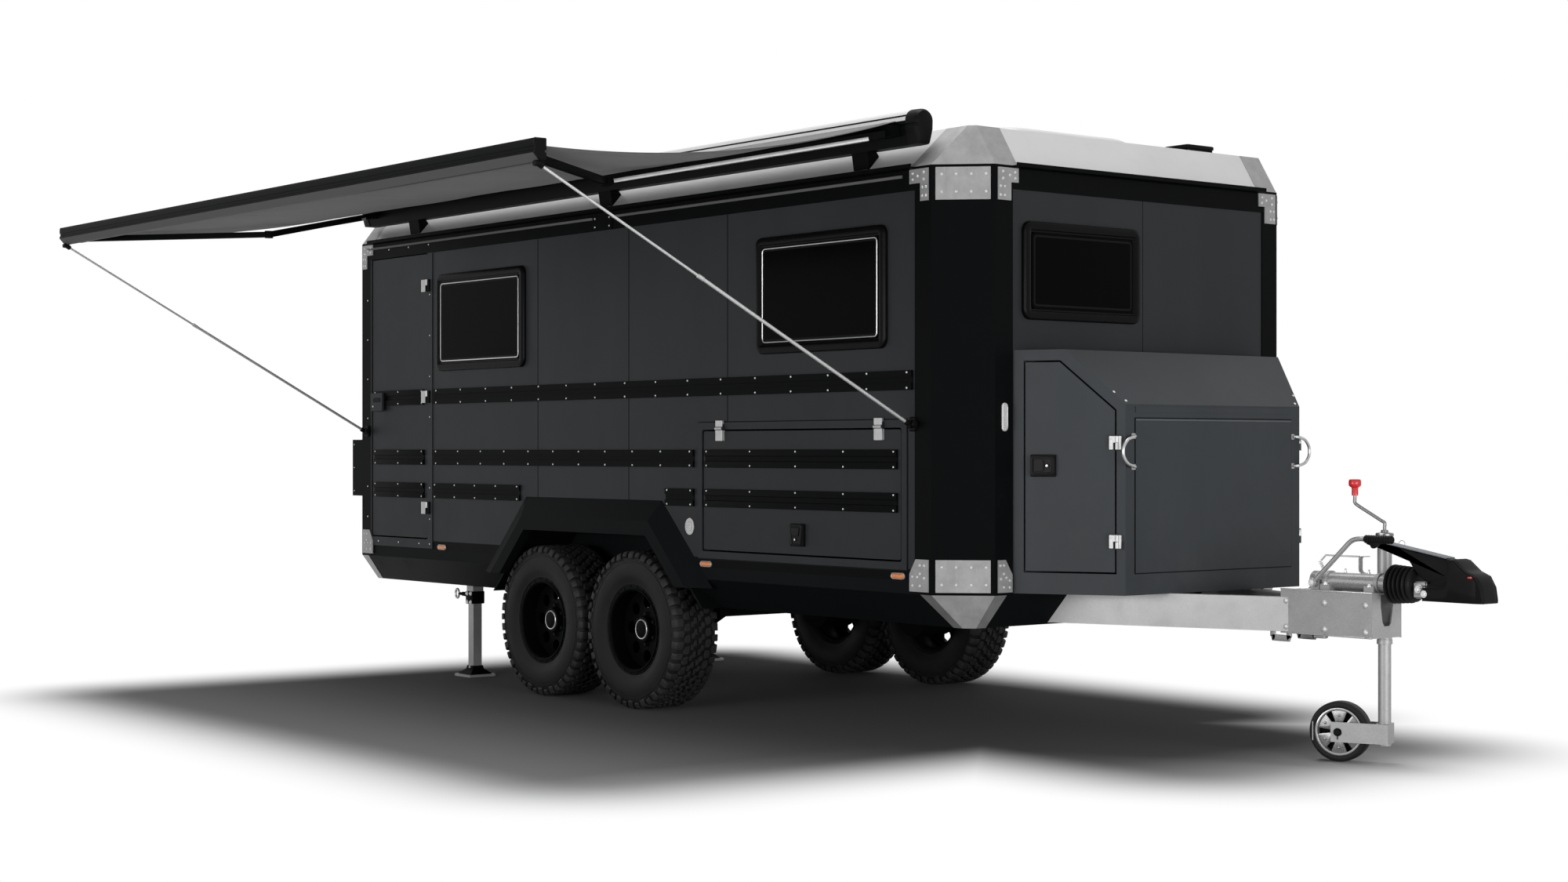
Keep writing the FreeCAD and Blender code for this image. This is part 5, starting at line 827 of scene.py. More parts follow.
def case_outline(grow):
    """The case's outline as (y, z): round above, tapering to a narrow foot, with a slot at the front."""
    radius = 0.051 + grow
    front = CASE_Y - radius
    foot = 0.030 + grow
    lower = [(front, 2.012), (front + 0.006, 2.009), (front + 0.006, 2.002), (front, 1.999), (front, 1.984),
             (CASE_Y - foot, CASE_LOW), (CASE_Y + foot, CASE_LOW), (CASE_Y + radius, 1.984)]
    return np.concatenate([case_arc(radius, np.linspace(0, math.pi, 17)), lower])


def extruded_x(outline, x0, x1):
    """An outline of (y, z) carried from one x to another."""
    return loft([level(outline, x, 0) for x in (x0, x1)])


def case_band(outer, inner, turn):
    """A band round the case's crown between two radii, from end to end."""
    return extruded_x(np.concatenate([case_arc(outer, turn), case_arc(inner, turn[::-1])]), *CASE_SPAN)


def make_case():
    """A black body, a silver crown over its round top with a dark line on it, and two moulded end caps."""
    x0, x1 = CASE_SPAN
    piece("awning_case_body", extruded_x(case_outline(-0.001), x0, x1), "black_metal", CASE_BLACK,
          replaces=("awning_case",), crease=20)
    crown = case_band(0.0535, 0.0500, np.radians(np.linspace(-10, 178, 22)))
    piece("awning_case_crown", crown, "bare_aluminium", SILVER, crease=20)
    dark_line = case_band(0.0546, 0.0525, np.radians([150.0, 158.0]))
    piece("awning_case_line", dark_line, "black_metal", CASE_BLACK)
    caps = []
    base = case_outline(0.0025)
    centre = (CASE_Y, 1.995)
    span = np.linalg.norm(base - centre, axis=1)[:, None]
    for x, way in ((x1, 1), (x0, -1)):
        rings = ((0.0, 0.0), (0.0015, 0.050), (0.004, 0.062), (0.010, 0.071), (0.020, 0.0745))
        caps.append(loft([level(centre + (base - centre) * (1 - drop / span), x + way * reach, 0)
                          for drop, reach in rings]))
    piece("awning_case_caps", caps, "black_plastic", replaces=("awning_caps",))


ARM_ROOT = (0.080, -1.151, 1.975)
ARM_ELBOW = (0.800, -2.190, 1.757)


def make_arm_covers():
    """A bright cover below each arm from the case to its elbow."""
    covers = []
    section = rounded(0.031, 0.017, 0.002, 2) - (0.0, 0.008)
    share = np.linspace(0.08, 0.96, 5)[:, None]
    for end, way in ((CASE_SPAN[1], -1), (CASE_SPAN[0], 1)):
        root, elbow = (np.array([end + way * x, y, z]) for x, y, z in (ARM_ROOT, ARM_ELBOW))
        covers.append(swept(section, root + (elbow - root) * share, (0, 0, 1)))
    piece("awning_arm_covers", covers, "bare_aluminium", PALE_METAL)


LEAD_SPAN = (-6.953, -2.162)
LEAD_OUTLINE = mm([
    (-3023.5, 1800), (-2975.5, 1800), (-2972.5, 1797), (-2972.5, 1755), (-2980.5, 1752), (-2980.5, 1744),
    (-2972.5, 1741), (-2972.5, 1716), (-2976.5, 1712), (-3000, 1712), (-3027.5, 1741), (-3027.5, 1752),
    (-3023.5, 1756), (-3023.5, 1766), (-3027.5, 1770), (-3027.5, 1790),
])
LEAD_LIP = mm([(-3029.5, 1742), (-2999.5, 1710.5), (-2980, 1710.5), (-2980, 1712.5), (-2998.5, 1712.8),
               (-3027.5, 1743)])


def make_lead_rail():
    """A tall rounded rail with a channel, a thin lighter lip below it and two end caps."""
    x0, x1 = LEAD_SPAN
    body = extruded_x(LEAD_OUTLINE, x0, x1)
    piece("awning_lead_body", body, "black_metal", CASE_BLACK, replaces=("awning_lead_rail",), crease=24)
    piece("awning_lead_lip", extruded_x(LEAD_LIP, x0 + 0.002, x1 - 0.002), "black_metal", LIP_METAL)
    caps = []
    centre = (-3.0, 1.756)
    for x, way in ((x1, 1), (x0, -1)):
        rings = ((1.02, 0.0), (1.02, 0.008), (0.93, 0.0118))
        caps.append(loft([level(centre + (LEAD_OUTLINE - centre) * share, x + way * reach, 0)
                          for share, reach in rings]))
    piece("awning_lead_caps", caps, "black_plastic")


# Windows

SIDE_WINDOWS = ((-3.198, -2.263), (-6.171, -5.236))
WINDOW_TOP = 1.585
WINDOW_FOOT = 1.036
FRONT_FOOT = 1.155
FRAME_SECTION = mm([
    (0, 0), (0, 12), (-3, 18), (-9, 21), (-30, 22), (-36, 20), (-40, 15), (-47, 13.5), (-49, 11), (-49, 0),
])
LINE_SECTION = mm([(0, 13.5), (0, 17.5), (-2.8, 18.8), (-5.6, 17.5), (-5.6, 13.5)])
SEAL_SECTION = mm([(0, 12.5), (0, 16.5), (-6, 16.5), (-9, 16.2), (-9, 12.5)])


def window_places():
    """Every window as (plane, middle across, foot, width, face)."""
    found = [(plane, (x0 + x1) / 2, WINDOW_FOOT, x1 - x0, SIDE) for x0, x1 in SIDE_WINDOWS
             for plane in ("right", "left")]
    return found + [("front", -0.3985, FRONT_FOOT, 0.735, NOSE), ("rear", 0.0, WINDOW_FOOT, 0.9, -TAIL)]


def make_windows():
    """Moulded frames round the panes, each with a bright line, except in front, and a dark seal."""
    groups = {"frame": [], "line": [], "seal": []}
    for plane, across, foot, width, face in window_places():
        height = WINDOW_TOP - foot
        rings = {
            "frame": carried(FRAME_SECTION, rounded(width, height, 0.045, 8)),
            "line": carried(LINE_SECTION, rounded(width - 0.105, height - 0.105, 0.022, 8)),
            "seal": carried(SEAL_SECTION, rounded(width - 0.118, height - 0.118, 0.018, 6)),
        }
        if plane == "front":
            del rings["line"]
        for word, ring in rings.items():
            groups[word].append(ring.at(across, (WINDOW_TOP + foot) / 2, face).laid(plane))
    piece("window_surrounds", groups["frame"], "black_plastic", GLOSS_BLACK,
          replaces=("window_frames",), crease=28)
    piece("window_lines", groups["line"], "bare_aluminium", SILVER)
    piece("window_seals", groups["seal"], "black_plastic")


# Road wheels, drawn about an axle through the origin, with +Y outwards

TYRE_SIDE = mm([
    (217, 96), (220, 107), (230, 113), (231, 116.5), (240, 118), (260, 127), (285, 131.5), (310, 132.5),
    (330, 131.8), (340, 130), (341, 131.8), (348, 131.2), (349, 128.8), (362, 126.2), (376, 121), (385, 112),
    (388.5, 102), (389.3, 50), (389.5, 0),
])
TREAD_FOOT = 0.3865
TREAD_TOP = 0.4013
BLOCKS = 44
PITCH = 2 * math.pi / BLOCKS
HOOK_BLOCK = [(-0.44, 0.006), (0.10, 0.004), (0.16, 0.022), (0.46, 0.026), (0.40, 0.043), (-0.02, 0.040),
              (-0.10, 0.024), (-0.40, 0.020)]
MIDDLE_BLOCK = [(-0.36, 0.047), (0.30, 0.049), (0.40, 0.064), (0.34, 0.081), (-0.28, 0.079), (-0.40, 0.062)]


def round_axle(form, count, phase):
    """Copies of a form turned evenly about the axle."""
    angle = circle(count, phase)[:, None]
    x, y, z = form.points.T
    points = (x * np.cos(angle) + z * np.sin(angle), y + 0 * angle, z * np.cos(angle) - x * np.sin(angle))
    return copies(form, np.stack(points, axis=-1))


def repeated_round(form, count, radius, across, phase=0.0):
    """A small form drawn facing +Y at places evenly round the axle, not turned."""
    angle = circle(count, phase)
    return repeated(form, level(np.column_stack([np.sin(angle), np.cos(angle)]) * radius, across, 1))


def wrapped(arc, across, radius):
    """Points round the axle at angles of arc, as (x, y, z)."""
    return np.stack([radius * np.sin(arc), across, radius * np.cos(arc)], axis=1)


def on_tread(block_outline, way, phase, high, taper=0.0016):
    """Blocks round the tyre: an outline of (share of a pitch, across), its upper edge drawn in."""
    outline = np.array(block_outline) * (PITCH * TREAD_TOP * way, way)
    inner = outline - outward(outline) * taper
    rings = ((outline, TREAD_FOOT), (outline, high - taper), (inner, high))
    single = loft([wrapped(ring[:, 0] / TREAD_TOP, ring[:, 1], radius) for ring, radius in rings])
    return round_axle(single, BLOCKS, phase)


def shoulder_lugs(phase, reach, wide):
    """Lugs over the shoulder: a stepped profile from the tread down the sidewall, a few degrees wide."""
    profile = np.array([
        (0.3850, 0.0860), (TREAD_TOP, 0.0860), (TREAD_TOP - 0.0006, 0.1080), (0.3965, 0.1225),
        (0.3862, 0.1312), (reach + 0.004, 0.1354), (reach - 0.003, 0.1300), (0.3700, 0.1190),
    ])
    middle = profile.mean(axis=0)
    rings = []
    for lean, share in ((-1.0, 0.93), (-0.86, 1.0), (0.86, 1.0), (1.0, 0.93)):
        ring = middle + (profile - middle) * share
        rings.append(wrapped(lean * wide / TREAD_TOP + 0.045 * (ring[:, 1] - 0.1), ring[:, 1], ring[:, 0]))
    return round_axle(loft(rings), BLOCKS // 2, phase)


def tyre_form():
    """An all-terrain tyre: sidewalls with raised rings, hooked centre blocks and stepped shoulder lugs."""
    casing = ring_lathe(np.concatenate([TYRE_SIDE, TYRE_SIDE[-2::-1] * (1, -1)]), 120)
    tread = [
        on_tread(HOOK_BLOCK, 1, 0.0, TREAD_TOP), on_tread(HOOK_BLOCK, -1, PITCH / 2, TREAD_TOP),
        on_tread(MIDDLE_BLOCK, 1, PITCH * 0.42, TREAD_TOP - 0.0003),
        on_tread(MIDDLE_BLOCK, -1, PITCH * 0.92, TREAD_TOP - 0.0003),
    ]
    for phase, reach, wide in ((0.0, 0.361, 0.0178 * 1.12), (PITCH, 0.371, 0.0178 * 0.92)):
        tread.append(shoulder_lugs(phase, reach, wide))
        tread.append(shoulder_lugs(phase + PITCH * 0.5, reach, wide).other_side())
    nub = lathe([(0.0035, -0.001), (0.0032, 0.0010), (0, 0.0014)], 6)
    return casing, together(tread + [both(repeated_round(nub, 88, 0.3555, 0.1284))])


def make_wheels():
    """Each wheel: casing, tread in a lighter rubber as a painted highlight, ring bolts and nuts, rolled lip,
    bare domed hub cap and its bright ring.
    """
    casing, tread = tyre_form()
    bolt = lathe(mm([(5.5, -2), (5.5, 3), (4.2, 4.5), (0, 4.5)]), 8)
    nut = hex_bolt(0.0105, 0.016, 1.3).turned("X", -90)
    bolts = together([repeated_round(bolt, 24, 0.2205, 0.1118, math.pi / 24),
                      repeated_round(nut, 6, 0.078, 0.0288)])
    lip = mm([(199.5, 108), (203.5, 115.5), (206, 117.8), (210.5, 118.2), (211, 112.5), (204, 110)])
    lip = ring_lathe(lip, 96)
    cap = lathe(mm([(0, 55), (44, 55), (44.5, 65.5), (44, 67), (30, 69), (14, 70), (0, 70.3)]), 40)
    ring = ring_lathe(mm([(44.5, 60), (50.5, 60), (51, 65.5), (48.5, 67.8), (45, 66.8)]))
    parts = (
        ("rim_bolts_{}", bolts, "rim_black", DARK_STEEL), ("rim_lip_{}", lip, "rim_black", None),
        ("hub_cap_{}", cap, "rim_black", None), ("hub_ring_{}", ring, "plate_aluminium", BRIGHT),
        # The tread's lighter rubber is a painted highlight.
        ("tyre_{}_tread", tread, "road_tyre", TREAD_HIGHLIGHT_RUBBER), ("tyre_{}_skin", casing, "road_tyre", TYRE),
    )
    for axle, x in AXLES.items():
        for word, way in (("left", 1), ("right", -1)):
            wheel = f"{axle}_{word}"
            for name, form, slot, look in parts:
                drawn = form if way > 0 else form.other_side()
                tyre = name.startswith("tyre")
                piece(name.format(wheel), drawn.at(x, way * WHEEL_MIDDLE, WHEEL_HEIGHT), slot, look,
                      f"wheel_{wheel}", (f"tyre_{wheel}",) if form is casing else (), 30 if tyre else 32)


# Hinges, handles and latches on the sides

HINGE_OUT = 0.014
HATCH_PIN = 0.690
HATCH_HINGES = (-2.315, -3.487)
DOOR_PIN = -6.278
DOOR_HINGES = (0.254, 0.892, 1.531)


def hinge_knuckle(low, high):
    """A short round knuckle with chamfered ends, along its pin."""
    radius = 0.0079
    edge = 0.0012
    section = [(0, low), (radius - edge, low), (radius, low + edge), (radius, high - edge),
               (radius - edge, high), (0, high)]
    return lathe(section, 20, "Z")


def upright_knuckle(pin, low, high, z):
    """A knuckle on an upright pin, drawn as (across, up, out)."""
    standing = hinge_knuckle(low, high)
    return Form(standing.points[:, [0, 2, 1]] + (pin, z, HINGE_OUT), standing.faces)


def make_hatch_hinges():
    """Bright leaves over each hatch hinge: the upper one stays on the frame, the lower one swings."""
    fixed = []
    moving = []
    along = hinge_knuckle(0.0003, 0.027).turned("Y", 90)
    for x in HATCH_HINGES:
        fixed.append(slab(0.054, 0.031, 0.003, 2, 0.0045, 0.0155, 0.0015).at(x, HATCH_PIN + 0.0235))
        moving.append(slab(0.054, 0.052, 0.003, 2, -0.001, 0.0155, 0.0015).at(x, HATCH_PIN - 0.0345))
        fixed.append(along.turned("Y", 180).at(x, HATCH_PIN, HINGE_OUT))
        moving.append(along.at(x, HATCH_PIN, HINGE_OUT))
    for word, forms, body in (("frames", fixed, None), ("leaves", moving, "storage_hatch")):
        placed = together(forms).at(0, 0, SIDE)
        side_pieces(f"hatch_hinge_{word}", on_sides(placed), "plate_aluminium", PALE_METAL, body)


def make_door_hinges():
    """Leaves over the door's hinges: the black front one stays on the frame, the bright rear one swings."""
    fixed = []
    moving = []
    for z in DOOR_HINGES:
        fixed.append(slab(0.016, 0.070, 0.003, 2, 0.0045, 0.0155, 0.0015).at(DOOR_PIN + 0.0165, z))
        moving.append(slab(0.050, 0.070, 0.003, 2, 0.011, 0.0168, 0.0015).at(DOOR_PIN - 0.0345, z))
        moving.append(slab(0.040, 0.066, 0.003, 2, -0.001, 0.0115, 0.001).at(DOOR_PIN - 0.0385, z))
        fixed.append(upright_knuckle(DOOR_PIN, -0.035, -0.0003, z))
        moving.append(upright_knuckle(DOOR_PIN, 0.0003, 0.035, z))
    frames, leaves = (together(forms).at(0, 0, SIDE).laid("right") for forms in (fixed, moving))
    piece("door_hinge_frames", frames, "black_plastic")
    piece("door_hinge_leaves", leaves, "plate_aluminium", PALE_METAL, "entrance")


LATCH_SEAT = 0.0152
LATCH_STAND = LATCH_SEAT - 0.004


def paddle_latch(width, height, out, narrow=0.72):
    """A flat seat, and on it a moulded latch: a tapered tray, a sunk well, a lifting paddle and a lock."""
    half = height / 2
    top = rounded(width, height, 0.012, 5)
    tray = top * np.column_stack([narrow + (1 - narrow) * (top[:, 1] / height + 0.5), np.ones(len(top))])
    rim = carried([(0.0, -0.001), (0.0, out * 0.55), (-0.003, out * 0.8), (-0.007, out * 0.86),
                   (-0.010, out * 0.7), (-0.012, -0.001)], tray)
    well = plate(tray * 0.84, -0.001, out * 0.5, 0.001)
    paddle = plate(tray * (0.66, 0.42) + (0, half * 0.30), out * 0.3, out, 0.003)
    lip = slab(width * 0.45, height * 0.11, 0.004, 3, out * 0.3, out * 0.92, 0.002).at(0, half * 0.02)
    lock = lathe([(0.0075, out * 0.3), (0.0075, out * 0.86), (0.0062, out * 0.93), (0, out * 0.93)], 20, "Z")
    details = together([rim, well, paddle, lip, lock.at(0, -half * 0.42)])
    seat = slab(width + 0.006, height + 0.004, 0.005, 3, -0.001, LATCH_SEAT, 0.0025)
    return seat, details.at(0, 0, LATCH_STAND)


def lock_face(radius):
    """The bright face of a lock barrel."""
    out = 0.0012
    return lathe([(radius, -0.001), (radius, out * 0.7), (radius * 0.8, out), (0, out)], 20, "Z")


def latch_pieces(name, forms, put, body):
    """A latch's seat, paddle and lock on both sides; put gives the right and the left form."""
    # The moulded latch is a lighter grey than its black seat: a painted highlight.
    looks = (("latch_seat", "black_plastic", None), ("latch_paddle", "black_plastic", LATCH_HIGHLIGHT_GREY),
             ("lock", "plate_aluminium", BRIGHT))
    for form, (word, slot, look) in zip(forms, looks):
        side_pieces(f"{name}_{word}", put(form), slot, look, body)


HATCH_LATCH = (-2.890, 0.1935)


def make_latches():
    """The latch and the lock on each storage hatch."""
    latch = [*paddle_latch(0.0925, 0.1, 0.0155), lock_face(0.0052).at(0, -0.021, 0.0144 + LATCH_STAND)]
    latch_pieces("hatch", [form.at(*HATCH_LATCH, SIDE) for form in latch], on_sides, "storage_hatch")


def make_door_handle():
    """The entrance handle: a moulded escutcheon with a long pull and a lock, 30 mm proud of the door."""
    across, up = -6.845, 0.8705
    rim = slab(0.143, 0.108, 0.016, 6, -0.001, 0.020, 0.004)
    inset = slab(0.120, 0.085, 0.012, 5, 0.015, 0.0245, 0.003)
    pull = slab(0.096, 0.034, 0.014, 6, 0.018, 0.030, 0.005).at(0.006, 0.012)
    key = lathe(mm([(9.5, 18), (9.5, 26.5), (8, 28.5), (0, 28.5)]), 24, "Z").at(-0.040, -0.026)
    handle = together([rim, inset, pull, key]).at(across, up, SIDE)
    piece("door_handle", handle.laid("right"), "black_plastic", None, "entrance")
    lock = lock_face(0.0060).at(across - 0.040, up - 0.026, SIDE + 0.0283)
    piece("door_lock", lock.laid("right"), "plate_aluminium", BRIGHT, "entrance")


# Lamps

SIDE_LAMPS = (-2.192, -3.606, -6.125)
SIDE_LAMP_Z = 0.033
TAIL_LAMP_Y = 0.705
TAIL_LAMP_Z = 0.015
LENS_STEP = 0.0468


def make_lamps():
    """Oval side lamps with bright bezels, and double tail lamps."""
    section = mm([(0, 0), (0, 5.5), (-1.8, 7.2), (-4.2, 6), (-5, 0)])
    rim = carried(section, stadium(0.090, 0.029))
    swell = ((1.0, 0.001), (1.0, 0.0075), (0.93, 0.0102), (0.78, 0.0116), (0.4, 0.012))
    lens = loft([level(stadium(0.080, 0.019) * share, out) for share, out in swell])
    spots = [(x, SIDE_LAMP_Z, SIDE) for x in SIDE_LAMPS]
    bezels, lenses = (on_sides(repeated(form, spots)) for form in (rim, lens))
    piece("side_lamp_bezels", bezels, "plate_aluminium", PALE_METAL, replaces=("lamps",))
    piece("side_lamp_lenses", lenses, "amber_lens")
    housing = slab(0.210, 0.090, 0.014, 6, 0.0, 0.014, 0.003)
    tail_lens = slab(0.085, 0.070, 0.010, 5, 0.010, 0.0215, 0.004)
    for name, form, step, slot, look in (
        ("housings", housing, 0.0, "black_plastic", None),
        ("turn_lenses", tail_lens, LENS_STEP, "amber_lens", None),
        ("stop_lenses", tail_lens, -LENS_STEP, "amber_lens", RED_LENS),
    ):
        right = form.at(TAIL_LAMP_Y + step, TAIL_LAMP_Z, -TAIL).laid("rear")
        piece(f"tail_lamp_{name}", both(right), slot, look)


# Drawbar head: coupling, overrun gear, handbrake and jockey wheel

HOOD_LINE = mm([
    (-214, -20), (-216, 10), (-210, 34), (-160, 38), (-135, 42), (-114, 52), (-101, 70), (-95, 96),
    (-93, 124), (-90, 146), (-80, 152), (-64, 149), (-42, 131), (-20, 112), (-4, 104), (16, 96),
    (34, 83), (49, 62), (58, 36), (63, 6), (65, -20),
])
HANDLE_LINE = mm([
    (-128, 47), (-108, 60), (-98, 88), (-95, 128), (-99, 145), (-112, 152), (-280, 180), (-450, 209),
    (-500, 213), (-513, 209), (-516, 202), (-509, 195), (-450, 188), (-392, 186), (-354, 178),
    (-327, 161), (-306, 139), (-286, 112), (-262, 84), (-236, 63), (-206, 51),
])


def pillow(outline, levels):
    """An outline of (x, z) at several y places, drawn in by an amount at each: rounded on both faces."""
    mitre = outward(outline)
    return loft([level(outline - mitre * inset, y, 1) for y, inset in levels])


def soft_levels(half, radius, steps=5):
    """Levels across a pillow: a quarter circle of draw-in at each face."""
    turn = np.linspace(0, math.pi / 2, steps)
    faces = [(-half + radius * (1 - math.sin(a)), radius * (1 - math.cos(a))) for a in turn[::-1]]
    return faces + [(-y, inset) for y, inset in faces[::-1]]


def hood_shell():
    """The coupling's cover: each point of its ridge line is joined to the foot by a rounded cross-section."""
    ridge = smooth_path(HOOD_LINE, 3)
    foot = np.column_stack([np.clip(ridge[:, 0], -0.2135, 0.0645), np.full(len(ridge), -0.0205)])
    reach = np.linalg.norm(ridge - foot, axis=1)
    half = 0.059
    radius = 0.020
    bend = np.minimum(radius, reach) / np.maximum(reach, 1e-6)
    narrow = 1 - 0.30 * np.clip(ridge[:, 0] / 0.065, 0, 1) ** 3
    steps = [(share * (1 - bend), half) for share in (0.0, 0.4, 0.7)]
    steps += [(1 - (1 - math.sin(a)) * bend, half - radius * (1 - math.cos(a)))
              for a in np.linspace(0, math.pi / 2, 7)]
    right = [level(foot + (ridge - foot) * share[:, None], -out * narrow, 1) for share, out in steps]
    return surface(right + [ring * (1, -1, 1) for ring in right[::-1]])


def make_coupling():
    """The cover over the ball head, its handle with a lighter top that is a painted highlight, lock, gauges,
    ribs, yoke and bolts.
    """
    thickened(piece("coupling_cover", hood_shell(), "black_plastic", HITCH_BLACK, crease=40), 0.0025)
    arm = pillow(smooth_closed(HANDLE_LINE, 2), soft_levels(0.029, 0.010))
    piece("coupling_handle_arm", arm, "black_plastic", HITCH_BLACK, replaces=("coupling_handle",))
    # The light grey top is a painted highlight on the black handle.
    top = mm([(-122, 156), (-280, 183.2), (-450, 212.2), (-500, 216), (-510, 212), (-500, 212.4),
              (-450, 208.6), (-280, 179.6), (-122, 152.4)])
    piece("coupling_handle_highlight", pillow(top, [(-0.0315, 0.0), (0.0315, 0.0)]), "plate_aluminium", HANDLE_HIGHLIGHT_GREY)
    lock = mm([(-230, -18), (-90, -18), (-88, 78), (-120, 82), (-190, 58), (-212, 36)])
    piece("coupling_lock", pillow(lock, soft_levels(0.034, 0.006, 4)), "black_plastic", HITCH_BLACK)
    gauge = slab(0.020, 0.007, 0.003, 4, 0.0, 0.0035, 0.001).at(0.012, 0.082, 0.0572)
    piece("coupling_gauges", on_sides(gauge), "amber_lens", RED)
    line = level(mm([(-206, 40), (-150, 41), (-108, 60), (-99, 100), (-97, 130)]), -0.0600, 1)
    rib = swept(rounded(0.0035, 0.003, 0.001, 2), smooth_path(line, 6))
    piece("coupling_ribs", both(rib), "black_plastic", HITCH_BLACK)
    yoke = block((-0.276, -0.212), (-0.036, 0.036), (-0.014, 0.054), 0.006)
    lug = block((-0.262, -0.226), (-0.046, 0.046), (0.004, 0.044), 0.004)
    piece("coupling_yoke_casting", [yoke, lug], "galvanised_steel")
    bolt = hex_bolt(0.011, 0.010).turned("X", 90)
    bolts = repeated(bolt, [(-0.244, -0.046, 0.024), (-0.205, -0.059, 0.008)])
    piece("coupling_bolts", both(bolts), "galvanised_steel", BRIGHT)


SHAFT_Z = 0.038


def make_bellows():
    """The bellows: five thin discs with round edges over a narrower neck, then a plain boot."""
    start = -0.402
    end = -0.275
    neck = 0.058
    section = [(0.0, start), (0.050, start), (neck, start + 0.002)]
    for fold in range(5):
        x = start + 0.005 + fold * 0.0205
        top = 0.0805 - 0.0015 * fold
        section += [(neck, x), (top - 0.004, x + 0.006), (top, x + 0.008), (top, x + 0.010),
                    (top - 0.004, x + 0.012), (neck, x + 0.018)]
    section += [(0.068, start + 0.110), (0.069, start + 0.116), (0.064, end - 0.004), (0.050, end + 0.001),
                (0.0, end + 0.001)]
    piece("overrun_bellows", lathe(section, 64, "X").at(0, 0, SHAFT_Z), "castor_rubber", BELLOWS,
          replaces=("shaft_bellows",), crease=38)


def make_shaft_details():
    """A smooth bright sleeve with a collar over the shaft's housing, clamps, grease nipples and bolts."""
    sleeve = lathe(mm([(0, -803.5), (30, -803.5), (34.5, -801), (39.5, -798), (39.5, -772), (36.8, -768),
                       (36.8, -405), (0, -405)]), 48, "X")
    piece("overrun_sleeve", sleeve.at(0, 0, SHAFT_Z), "galvanised_steel", ZINC_SMOOTH)
    clamp = ring_lathe(mm([(36.6, 0), (42.5, 1), (42.5, 19), (36.6, 20)]), 40, "X")
    piece("overrun_clamps", repeated(clamp, [(x, 0, SHAFT_Z) for x in (-0.728, -0.470)]), "galvanised_steel")
    nipple = lathe(mm([(6, 0), (6, 6), (3.5, 8), (3.5, 12), (4.8, 14), (3, 18), (0, 18.5)]), 12, "Z")
    tops = repeated(nipple, [(x, 0, SHAFT_Z + 0.036) for x in (-0.640, -0.520)])
    bolts = repeated(hex_bolt(0.0095, 0.009), crossing((-0.712, -0.487), (-0.0405, 0.0405), 0.0255))
    piece("overrun_fasteners", [tops, bolts], "galvanised_steel", BRIGHT)


HEAD_FACE = 0.096


def make_drawbar_bolts():
    """Six round-headed bolts on each side plate, its edge strips and joint, and hooks under the beams."""
    head = lathe(mm([(13.5, -2), (13.5, 2), (12, 5.2), (7.5, 7.8), (0, 8.6)]), 20, "Z")
    spots = crossing((-0.877, -0.673, -0.464), (-0.050, -0.160), HEAD_FACE)
    piece("drawbar_bolts", both(repeated(head, spots).laid("right")), "plate_aluminium", PALE_METAL)
    strips = [block((-0.905, -0.430), (-0.0985, -0.0945), heights, 0.0010)
              for heights in ((-0.0035, 0.0025), (-0.187, -0.181))]
    joint = block((-0.836, -0.833), (-0.098, -0.050), (-0.0005, 0.0018), 0.0005)
    piece("drawbar_edges", both(*strips, joint), "galvanised_steel", ZINC_SMOOTH)
    line = mm([(-955, -183), (-955, -206), (-951, -210), (-872, -210), (-868, -206), (-868, -183)])
    line = level(line, -0.085, 1)
    hook = swept(rounded(0.028, 0.005, 0.001, 2), smooth_path(line, 4))
    pad = block((-0.735, -0.675), (-0.094, -0.066), (-0.199, -0.185), 0.004)
    piece("drawbar_hooks", both(hook, pad), "galvanised_steel")


LEVER_PIVOT = (-0.760, -0.062, 0.030)


def make_handbrake():
    """The lever: one smoothly bent tube with an eye, a ribbed grip with a trigger, and its pivot's bolt."""
    y = LEVER_PIVOT[1]
    line = mm([(-760, 30), (-722, 65), (-660, 122), (-604, 174), (-572, 203), (-548, 216), (-520, 220.5),
               (-480, 220.5), (-360, 220.5)])
    bar_form = tube(smooth_path(level(line, y, 1)), 0.0104, 20)
    eye = lathe(mm([(0, -9), (17.5, -9), (18.5, -8), (18.5, 8), (17.5, 9), (0, 9)]))
    piece("handbrake_tube", [bar_form, eye.at(*LEVER_PIVOT)], "galvanised_steel", ZINC_SMOOTH, "handbrake",
          ("handbrake_lever",))
    x = np.linspace(-0.495, -0.3525, 46)
    swell = 0.0162 + 0.0012 * np.cos((x + 0.4237) * 2 * math.pi / 0.0125)
    ends = np.clip(np.minimum(x + 0.497, -0.3505 - x) / 0.006, 0, 1) ** 0.5
    section = [(0.0, x[0]), *zip(np.maximum(swell * ends, 0.008), x), (0.0, x[-1])]
    grip = lathe(section, 28, "X").at(0, y, 0.2205)
    trigger = mm([(-470, 208), (-412, 210), (-425, 195), (-444, 184), (-455, 184), (-463, 194)])
    trigger = pillow(smooth_closed(trigger), soft_levels(0.008, 0.003, 3))
    piece("handbrake_grip", [grip, trigger.at(0, y)], "black_plastic", HITCH_BLACK, "handbrake")
    bolt = hex_bolt(0.0095, 0.008).turned("X", 90).at(-0.760, -0.0740, 0.030)
    piece("handbrake_bolt", bolt, "galvanised_steel", BRIGHT)


